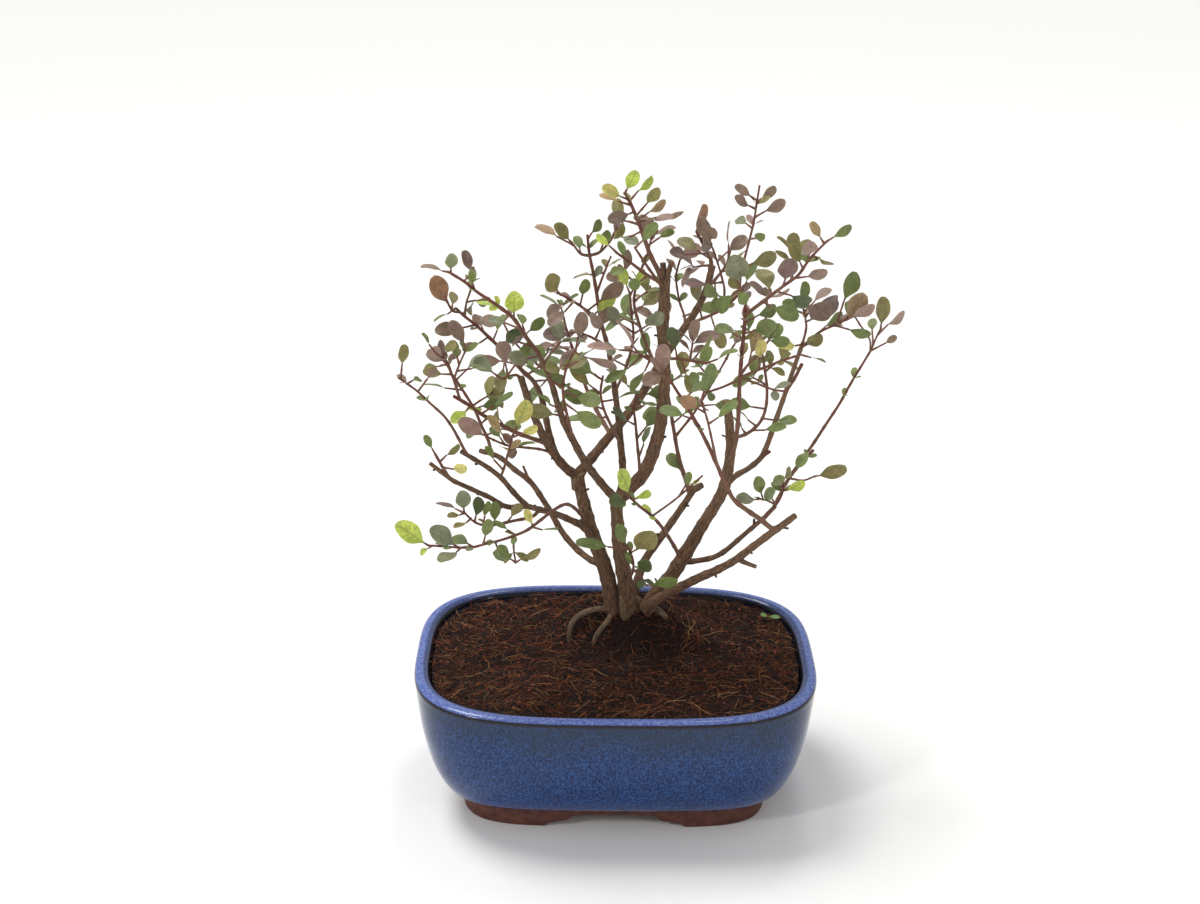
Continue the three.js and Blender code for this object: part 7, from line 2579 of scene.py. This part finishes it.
@dataclass(frozen=True)
class Pot:
    """The pot: a clay foot cut by four arches, a glazed wall and rim, and two drain holes.

    A profile's point is a height above the table, and how far it lies within the rim's own outline.
    """

    half_length: float = 100.0
    half_depth: float = 72.0
    height: float = 74.0
    foot_squareness: float = 4.8
    rim_squareness: float = 3.4
    foot_height: float = 12.7
    foot_edge: float = 23.6
    foot_top_edge: float = 21.4
    foot_wall_edge: float = 35.0
    foot_rows: tuple[float, ...] = (1, 3, 5, 7, 8.4, 10, 11.4, 12.3, 12.7)
    under_height: float = 8.6
    drain_spread: float = 36.0
    drain_radius: float = 7.0
    drain_levels: tuple[float, float] = (2.0, 18.0)
    arch_height: float = 8.2
    arch_long: float = 70.0
    arch_short: float = 44.0
    arch_shape: tuple[tuple[float, float], ...] = (
        (0.0, 1.0), (0.5, 1.0), (0.6, 0.82), (0.68, 0.48), (0.84, 0.42), (0.96, 0.22), (1.0, 0.0),
        (1.02, 0.0),
    )
    arch_from: tuple[float, float] = (42, 20)
    floor: tuple[float, float] = (13, 50)
    crest_height: float = 73.0
    crest_inset: float = 4.4
    # How light the painted shade on the inside below the rim's crest leaves the glaze, as a share of its
    # colour.
    inner_painted_shade: float = 0.42
    profile_step: float = 0.9
    glazed: tuple[tuple[float, float], ...] = (
        (12.8, 21), (12.9, 19.3), (13.6, 17.5), (14.8, 16), (17, 14.2), (23, 10.8), (33, 7), (48, 3.3),
        (64, 1), (69.2, 0.35), (71.6, -0.05), (73.1, 0.5), (73.8, 1.6), (74, 3), (73.9, 4.6), (73.2, 6.1),
        (71.6, 7.3), (69, 7.9), (64, 8.6), (44, 11.5), (26, 18), (17, 24.5), (13.6, 29), (13, 34),
    )

    def plan(self, height: float, inset: float) -> Array:
        """The pot's plan at a height, as evenly spaced points.

        Args:
            height: above the table, which sets how square the plan is.
            inset: how far it lies within the rim's own outline.

        Returns:
            One point a row, x and y.
        """
        share = min(max(height / self.height, 0), 1)
        power = 2 / (self.foot_squareness + (self.rim_squareness - self.foot_squareness) * share)
        turns = np.linspace(0, WHOLE_TURN, PLAN_STEPS + 1)
        cos, sin = np.cos(turns), np.sin(turns)
        x = np.sign(cos) * np.abs(cos) ** power * (self.half_length - inset)
        y = np.sign(sin) * np.abs(sin) ** power * (self.half_depth - inset)
        walked = np.concatenate([[0.0], np.cumsum(np.hypot(np.diff(x), np.diff(y)))])
        wanted = np.arange(PLAN_POINTS) / PLAN_POINTS * walked[-1]
        return np.stack([np.interp(wanted, walked, x), np.interp(wanted, walked, y)], axis=1)

    def ring(self, height: float, inset: float) -> Array:
        """A ring of the pot at one height, as x, y and z."""
        return np.hstack([self.plan(height, inset), np.full((PLAN_POINTS, 1), height)])

    def foot_ring(self, height: float, inset: float) -> Array:
        """A ring of the foot, lifted where an arch has cut the foot away."""
        ring = self.ring(height, inset)
        shares, heights = np.array(self.arch_shape).T
        x, y = np.abs(ring[:, 0]), np.abs(ring[:, 1])
        front = np.interp(x / (self.arch_long / 2), shares, heights) * (y > self.arch_from[1])
        side = np.interp(y / (self.arch_short / 2), shares, heights) * (x > self.arch_from[0])
        ring[:, 2] = np.maximum(height, self.arch_height * np.maximum(front, side))
        return ring

    def add_foot(self, shell: Shell) -> None:
        """Adds the rings of the underside and the foot, from the middle outwards and up."""
        ceiling = self.ring(self.under_height, self.foot_wall_edge + 0.4)
        shell.add(ceiling * vec(0.4, 0.4, 1), PotSkin.CLAY)
        shell.add(ceiling, PotSkin.CLAY)
        wall, edge = self.foot_wall_edge, self.foot_edge
        for height, inset in ((8.4, wall), (0.7, wall), (0.15, wall - 0.5), (0, wall - 1.3),
                              (0, edge + 1.2), (0.2, edge + 0.35)):
            shell.add(self.foot_ring(height, inset), PotSkin.CLAY)
        for height in self.foot_rows:
            inset = edge + (self.foot_top_edge - edge) * height / self.foot_height
            shell.add(self.foot_ring(height, inset), PotSkin.CLAY)

    def add_glazed(self, shell: Shell) -> None:
        """Adds the rings of the wall, the rim and the inside, which has painted shade below its crest."""
        inside = False
        for height, inset in smooth_path(np.array(self.glazed, dtype=float), self.profile_step):
            inside = inside or (height > self.crest_height and inset > self.crest_inset)
            shell.add(self.ring(height, inset), PotSkin.GLAZE, self.inner_painted_shade if inside else 1.0)
        shell.add(self.ring(*self.floor), PotSkin.GLAZE)

    def cut_drains(self, pot: bpy.types.Object, materials: Sequence[bpy.types.Material]) -> None:
        """Cuts the two drain holes.

        Args:
            pot: the pot's piece.
            materials: its materials.
        """
        cutter = Draft()
        turns = np.arange(CUTTER_SIDES) * (WHOLE_TURN / CUTTER_SIDES)
        for side in (-1, 1):
            x = side * self.drain_spread + self.drain_radius * np.cos(turns)
            circle = np.stack([x, self.drain_radius * np.sin(turns)], axis=1)
            rings = np.array([
                np.hstack([circle, np.full((CUTTER_SIDES, 1), level)]) for level in self.drain_levels
            ])
            cutter.add_tube(rings, vec(1, 1, 1), rings, slot=PotSkin.CLAY)
        drains = cutter.build("drain_cutter", materials)
        modifier = pot.modifiers.new("drains", "BOOLEAN")
        modifier.operation, modifier.object, modifier.solver = "DIFFERENCE", drains, "EXACT"
        make_plain(pot)
        bpy.data.meshes.remove(drains.data)

    def build(self, glaze: bpy.types.Material, clay: bpy.types.Material) -> bpy.types.Object:
        """Makes the piece.

        Args:
            glaze: the material of the glazed wall and rim.
            clay: the material of the foot and the underside.

        Returns:
            The piece.
        """
        shell = Shell()
        self.add_foot(shell)
        self.add_glazed(shell)
        pot = shell.draft().build("glazed_pot", [glaze, clay], crease=38)
        self.cut_drains(pot, [glaze, clay])
        return pot


@dataclass(frozen=True)
class Soil:
    """The compost: level against the pot's wall, with a mound at the tree's foot."""

    pot: Pot = Pot()
    edge: float = 70.6
    mound_x: float = 5
    mound_y: float = 25
    mound: float = 17.5
    wide: float = 34
    deep: float = 20
    lumps: float = 1.5
    lump_scale: float = 0.16
    swells: float = 1.1
    swell_scale: float = 0.045
    bottom: float = 13.3
    edge_inset: float = 8.4
    rings: int = 84
    wall: tuple[tuple[float, float], ...] = (
        (13.3, 31.4), (17, 25.1), (26, 18.6), (44, 12.1), (64, 9.2), (69.4, 8.5),
    )
    litter_reach: tuple[float, float] = (91, 63)

    def height(self, x: float, y: float) -> float:
        """The smooth surface's height at a place."""
        away = ((x - self.mound_x) / self.wide) ** 2 + ((y - self.mound_y) / self.deep) ** 2
        return self.edge + self.mound * math.exp(-(away ** 2))

    def surface(self, x: float, y: float) -> float:
        """The lumpy surface's height at a place."""
        lump = rough((x, y, 3.0), self.lump_scale, 3) * self.lumps
        lump += rough((x, y, 9.0), self.swell_scale) * self.swells
        return self.height(x, y) + lump

    def slope(self, x: float, y: float) -> tuple[float, float]:
        """How steeply the smooth surface rises along x and along y."""
        return ((self.height(x + 1, y) - self.height(x - 1, y)) / 2,
                (self.height(x, y + 1) - self.height(x, y - 1)) / 2)

    def holds(self, x: float, y: float) -> bool:
        """Whether litter can lie at a place, clear of the pot's wall."""
        wide, deep = self.litter_reach
        power = self.pot.rim_squareness
        return (abs(x) / wide) ** power + (abs(y) / deep) ** power <= 1

    def build(self, material: bpy.types.Material) -> bpy.types.Object:
        """Makes the compost's body, which follows the inside of the pot."""
        shell = Shell()
        shell.add(self.pot.ring(self.bottom, 34) * vec(0.4, 0.4, 1))
        for height, inset in self.wall:
            shell.add(self.pot.ring(height, inset))
        edge = self.pot.plan(self.edge, self.edge_inset)
        middle = np.array([self.mound_x, self.mound_y])
        for ring in range(self.rings):
            share = 1 - ring / self.rings
            flat = middle + (edge - middle) * share
            heights = np.array([self.surface(x, y) for x, y in flat])
            shell.add(np.hstack([flat, heights[:, None]]))
        return shell.draft().build("coir_compost", [material], crease=70)


# Each strand's bend and how far its middle is lifted, as shares of its length
STRAND_BENDS = ((0.1, 0.03), (0.24, 0.06), (-0.3, 0.1), (0.42, 0.02), (-0.16, 0.14))
STRAND_SIDES, STRAND_RINGS = 3, 7
STRAND_RADII = ((0, 0.018), (0.35, 0.016), (0.5, 0.006))


def strand_forms() -> bpy.types.Collection:
    """Bent coir strands, one unit long."""
    forms = []
    shares = np.linspace(-0.5, 0.5, STRAND_RINGS)
    turns = np.arange(STRAND_SIDES) * (WHOLE_TURN / STRAND_SIDES)
    flat = np.zeros(STRAND_SIDES)
    for number, (bend, lift) in enumerate(STRAND_BENDS):
        curl = np.sin(shares * (4 + number)) * bend * 0.5 + bend * shares ** 2
        path = np.stack([shares * math.cos(bend), curl, lift * (1 - 4 * shares ** 2)], axis=1)
        radii = np.interp(np.abs(shares), *np.array(STRAND_RADII).T)
        rings = np.array([
            middle + np.stack([flat, np.cos(turns) * radius, np.sin(turns) * radius], axis=1)
            for middle, radius in zip(path, radii)
        ])
        draft = Draft()
        draft.add_tube(rings, vec(1, 1, 1), rings)
        forms.append(form_from(draft, f"strand_{number}", 180))
    return keep_forms("strands", forms)


# The height and the width of each ring of a crumb
CRUMB_RINGS = ((-0.4, 0.6), (-0.05, 1.0), (0.38, 0.62))
CRUMB_SIDES, CRUMB_KINDS = 5, 4
CRUMB_FLATNESS, CRUMB_RAGGED = 0.7, 0.28


def crumb_forms() -> bpy.types.Collection:
    """Crumbs of peat and bark, one unit across."""
    forms = []
    turns = np.arange(CRUMB_SIDES) * (WHOLE_TURN / CRUMB_SIDES)
    for number in range(CRUMB_KINDS):
        rings = []
        for row, (height, wide) in enumerate(CRUMB_RINGS):
            radii = 0.5 * wide * (1 + CRUMB_RAGGED * np.sin(turns * 2 + number * 1.9 + row))
            x, y = np.cos(turns) * radii * (1.2 + 0.2 * number), np.sin(turns) * radii
            rings.append(np.stack([x, y, np.full(CRUMB_SIDES, height * CRUMB_FLATNESS)], axis=1))
        draft = Draft()
        draft.add_tube(np.array(rings), vec(1, 1, 1), np.array(rings), ends=(0.1, 0.1))
        forms.append(form_from(draft, f"crumb_{number}", 30))
    return keep_forms("crumbs", forms)


class LitterForm(Enum):
    """What a kind of litter is made of."""

    STRAND = "strand"
    CRUMB = "crumb"


@dataclass(frozen=True)
class MoundShadow:
    """The painted shadow on the litter in front of the tree's foot, where the mound's face lies in shade, as
    its middle and its half widths.
    """

    x: float = 10.0
    y: float = 0.0
    wide: float = 24.0
    deep: float = 17.0

    def share(self, x: float, y: float) -> float:
        """How deep the painted shadow is at a place, from 0 to 1."""
        return math.exp(-(((x - self.x) / self.wide) ** 2 + ((y - self.y) / self.deep) ** 2))


LITTER_FIELD = (92, 64)
LITTER_LIFT, LITTER_LENGTH = (0.2, 1), (0.3, 1)
LITTER_VARIES = (0.3, 0.05)


@dataclass(frozen=True)
class Litter:
    """One kind of loose matter that lies on the compost."""

    name: str
    form: LitterForm
    count: int
    size: tuple[float, float]
    flat: float
    lift: float
    tilt: float
    shades: tuple[str, ...]
    thin: float = 1.0
    # How far the painted shadow in front of the tree's foot darkens this kind of litter, as a share.
    mound_shadow: float = 0.8

    def pose(self, soil: Soil, x: float, y: float, draws: Draws) -> tuple[Array, Euler]:
        """Where one copy lies and how it is turned.

        Args:
            soil: the compost.
            x: its x.
            y: its y.
            draws: the run of random numbers.

        Returns:
            Its place and its rotation.
        """
        place = vec(x, y, soil.surface(x, y) + self.lift * draws.between(*LITTER_LIFT))
        rise_x, rise_y = soil.slope(x, y)
        up = unit(vec(-rise_x, -rise_y, 1))
        along = square_to(up, turned(vec(1, 0.01, 0), vec(0, 0, 1), draws.between(0, WHOLE_TURN)))
        along = unit(along + up * draws.between(-self.tilt, self.tilt))
        return place, blade_turn(along, square_to(along, up))

    def copies(self, soil: Soil, forms: int, seed: int) -> Copies:
        """Strews it over the compost.

        Args:
            soil: the compost.
            forms: how many forms there are to pick from.
            seed: seeds its random numbers.

        Returns:
            Where the copies lie.
        """
        draws, copies, mound_shadow = Draws(seed), Copies(), MoundShadow()
        wide, deep = LITTER_FIELD
        shades = [linear(code) for code in self.shades]
        while len(copies.places) < self.count:
            x, y = draws.between(-wide, wide), draws.between(-deep, deep)
            if not soil.holds(x, y):
                continue
            place, turn = self.pose(soil, x, y, draws)
            longest = draws.between(*self.size)
            length = self.size[0] + (longest - self.size[0]) * draws.between(*LITTER_LENGTH)
            # Painted shadow: the litter is darkened at the mound's front, where shade falls.
            shade = shades[int(draws.between(0, len(shades) - 0.001))] * (1 - self.mound_shadow * mound_shadow.share(x, y))
            tint = varied(shade, draws, *LITTER_VARIES)
            size = (length, length * self.thin, length * self.thin * self.flat)
            copies.add(place, turn, size, int(draws.between(0, forms - 0.001)), tint, tint)
        return copies


LITTER = (
    Litter("coir_strands", LitterForm.STRAND, 3600, (4.5, 16.0), 1.0, 1.0, 0.22,
           ("7a4226", "97573a", "ac7448", "5a2c1a", "40200f", "8a4a2c", "b98e62", "6a361f"),
           thin=0.55, mound_shadow=0.45),
    Litter("coir_fluff", LitterForm.STRAND, 3700, (2.2, 7.5), 1.0, 1.3, 0.45,
           ("5a2d1b", "401d12", "78402a", "2a130c", "8c5030"), thin=0.78),
    Litter("coir_crumbs", LitterForm.CRUMB, 3000, (0.7, 2.2), 0.8, 0.35, 0.3,
           ("2a150e", "1a0d09", "44241a", "5a3020", "7d4a30", "140a07")),
)


@dataclass(frozen=True)
class Sprout:
    """A seedling's pair of small leaves, with its place on the compost."""

    x: float = 80.5
    y: float = 38.0
    sunk: float = 0.6
    stem: float = 2.6
    thick: tuple[float, float] = (0.7, 0.6)
    length: float = 6.4
    width: float = 0.2
    blade: str = "5a8040"
    vein: str = "86a860"

    def build(self, soil: Soil, kit: Kit) -> bpy.types.Object:
        """Makes the seedling.

        Args:
            soil: the compost that it stands in.
            kit: what it is made with.

        Returns:
            The piece.
        """
        foot = vec(self.x, self.y, soil.surface(self.x, self.y) - self.sunk)
        top = foot + vec(0.3, -0.2, self.stem)
        draft = Draft()
        add_stem(draft, np.array([foot, (foot + top) / 2, top]), self.thick, SHOOT_WOOD, 3.0)
        piece = draft.build("seedling", [kit.finishes["twig"]], crease=60)
        copies = Copies()
        for side, rise, share in ((1, 0.1, 1.0), (-1, 0.45, 0.72)):
            along = unit(vec(side, -0.35 * share, rise))
            turn = blade_turn(along, square_to(along, vec(0, -0.5, 1)))
            size = (self.length * share, self.length * self.width, self.length * self.width)
            copies.add(top, turn, size, 0, linear(self.blade), linear(self.vein))
        kit.setter.run(piece, copies, kit.blades, kit.finishes["leaf_green"])
        return piece


# The whole


@dataclass(frozen=True)
class View:
    """The photo's camera, in millimetres and degrees in the pot's frame."""

    place: Point = (-14.85, -798.44, 518.36)
    down: float = 22.852
    right: float = 0.424
    roll: float = 0.727
    focal: float = 1796.0
    width: float = 1200.0
    sensor: float = 36.0
    clip: tuple[float, float] = (0.01, 20.0)

    def build(self) -> bpy.types.Object:
        """Makes the camera and sets it as the scene's."""
        data = bpy.data.cameras.new("photo_camera")
        data.sensor_width = self.sensor
        data.lens = self.focal * self.sensor / self.width
        data.clip_start, data.clip_end = self.clip
        camera = bpy.data.objects.new("photo_camera", data)
        bpy.context.scene.collection.objects.link(camera)
        down, right, roll = (math.radians(angle) for angle in (self.down, self.right, self.roll))
        level = Vector((math.sin(right), math.cos(right), 0))
        ahead = level * math.cos(down) - Vector((0, 0, math.sin(down)))
        side = ahead.cross(Vector((0, 0, 1))).normalized()
        up = side.cross(ahead)
        level_side = side * math.cos(roll) + up * math.sin(roll)
        level_up = up * math.cos(roll) - side * math.sin(roll)
        turn = Matrix((level_side, level_up, -ahead)).transposed().to_4x4()
        camera.matrix_world = Matrix.Translation(Vector(self.place) * MM + Vector(SHIFT)) @ turn
        bpy.context.scene.camera = camera
        return camera


class LampKind(Enum):
    """The kinds of light, by Blender's names."""

    SUN = "SUN"
    PANEL = "AREA"


@dataclass(frozen=True)
class Lamp:
    """A soft light that looks at the middle of the tree.

    A sun's spread is an angle in degrees and its power is in watts a square metre. A panel's spread is
    its side in metres and its power is in watts.
    """

    name: str
    kind: LampKind
    place: Point
    power: float
    spread: float
    aim: Point = (0, 0, 0.14)

    def build(self) -> None:
        """Adds the light."""
        data = bpy.data.lights.new(self.name, self.kind.value)
        data.energy = self.power
        if self.kind is LampKind.SUN:
            data.angle = math.radians(self.spread)
        else:
            data.shape, data.size = "SQUARE", self.spread
        lamp = bpy.data.objects.new(self.name, data)
        lamp.location = self.place
        ahead = Vector(self.aim) - Vector(self.place)
        lamp.rotation_euler = ahead.to_track_quat("-Z", "Y").to_euler()
        bpy.context.scene.collection.objects.link(lamp)


@dataclass(frozen=True)
class Studio:
    """The pale floor, the lights and the even light of a white room."""

    lamps: tuple[Lamp, ...] = (
        Lamp("key_sun", LampKind.SUN, (-0.5, 0.3, 1.5), 1.75, 22),
        Lamp("window", LampKind.PANEL, (-1.0, -0.95, 1.0), 5.0, 0.14),
        Lamp("far_window", LampKind.PANEL, (0.9, -1.1, 0.85), 1.2, 0.1),
        Lamp("strip", LampKind.PANEL, (0.2, 0.75, 1.7), 5.0, 0.3),
    )
    room_light: float = 0.54
    backdrop: float = 0.95
    floor_side: float = 14.0
    floor_drop: float = 0.0002
    paper: str = "f4f3f1"

    def add_floor(self) -> None:
        """Adds the floor, just under the pot's feet."""
        half = self.floor_side / 2
        corners = [(x * half, y * half, -self.floor_drop) for x, y in ((-1, -1), (1, -1), (1, 1), (-1, 1))]
        mesh = bpy.data.meshes.new("paper_floor")
        mesh.from_pydata(corners, [], [(0, 1, 2, 3)])
        inputs = {"Base Color": rgba(self.paper), "Roughness": 0.9, "Specular IOR Level": 0.1}
        mesh.materials.append(end_material(start_material("paper"), inputs))
        floor = bpy.data.objects.new("paper_floor", mesh)
        bpy.context.scene.collection.objects.link(floor)

    def light_room(self) -> None:
        """Lights the room evenly, and shows it brighter than it shines."""
        world = bpy.data.worlds.new("white_room")
        world.use_nodes = True
        tree = Nodes(world.node_tree)
        seen_directly = tree.add("ShaderNodeLightPath").outputs["Is Camera Ray"]
        brighter = self.backdrop - self.room_light
        strength = tree.math("MULTIPLY_ADD", seen_directly, brighter, self.room_light)
        light = tree.add("ShaderNodeBackground", {"Color": (1.0, 1.0, 1.0, 1.0), "Strength": strength})
        tree.add("ShaderNodeOutputWorld", {"Surface": light.outputs[0]})
        bpy.context.scene.world = world

    def build(self) -> None:
        """Sets the studio up."""
        self.add_floor()
        for lamp in self.lamps:
            lamp.build()
        self.light_room()
        bpy.context.scene.view_settings.view_transform = "Standard"


# Each leaf finish's roughness and how much light glows through it
LEAF_FINISHES = {
    "green": (0.42, 0.12), "olive": (0.46, 0.1), "grey": (0.5, 0.1), "bronze": (0.46, 0.08),
    "pink": (0.48, 0.1), "lime": (0.44, 0.22),
}
VEIN_SHARE = 0.75


def build_finishes(groups: Groups) -> dict[str, bpy.types.Material]:
    """All the materials, by name."""
    finishes = {
        "bark": BarkFinish("weathered_bark").build(groups),
        "twig": BarkFinish("red_twig", 1.25, 0.7, 0.6, 0.0002).build(groups),
        "glaze": GlazeFinish().build(groups),
        "clay": GroundFinish("red_clay", "4a2c27", "6c4338", 260.0, 0.75, 0.0002).build(groups),
        "peat": GroundFinish("dark_peat", "080403", "26130d", 520.0, 0.95, 0.0006).build(groups),
        "screen": GroundFinish("screen_plastic", "1c1c1c", "2a2a2a", 300.0, 0.5, 0.00005).build(groups),
        "litter": LitterFinish("coir").build(groups),
    }
    for name, (roughness, glow) in LEAF_FINISHES.items():
        finish = BladeFinish("blade_" + name, VEIN_SHARE, roughness, glow)
        finishes["leaf_" + name] = finish.build(groups)
    return finishes


def add_litter(soil: Soil, kit: Kit) -> None:
    """Strews every kind of litter over the compost.

    Args:
        soil: the compost.
        kit: what the pieces are made with.
    """
    forms = {LitterForm.STRAND: strand_forms(), LitterForm.CRUMB: crumb_forms()}
    for number, litter in enumerate(LITTER):
        piece = bpy.data.objects.new(litter.name, bpy.data.meshes.new(litter.name))
        bpy.context.scene.collection.objects.link(piece)
        store = forms[litter.form]
        copies = litter.copies(soil, len(store.objects), SEED + 100 + number)
        kit.setter.run(piece, copies, store, kit.finishes["litter"])
        hand_in(piece)


def main() -> None:
    """Builds every piece, the studio and the camera."""
    logging.basicConfig(level=logging.INFO, format="%(message)s")
    kit = Kit(build_finishes(Groups()), Setter(), blade_forms())
    finishes = kit.finishes
    pot = Pot()
    soil = Soil(pot)

    hand_in(pot.build(finishes["glaze"], finishes["clay"]), ["pot"])
    hand_in(soil.build(finishes["peat"]), ["compost"])
    add_litter(soil, kit)
    hand_in(BareWood().build(finishes["bark"]), ["trunk"])
    for number, (name, grown) in enumerate(Tree().limbs.items()):
        hand_in(LeafyLimb(name, number, grown).build(kit), [name])
    hand_in(Sprout().build(soil, kit))
    for side in ("left", "right"):
        screen = frame["nodes"]["drain_screen_" + side]
        screen.data.materials.clear()
        screen.data.materials.append(finishes["screen"])

    Studio().build()
    View().build()


if __name__ == "__main__":
    main()
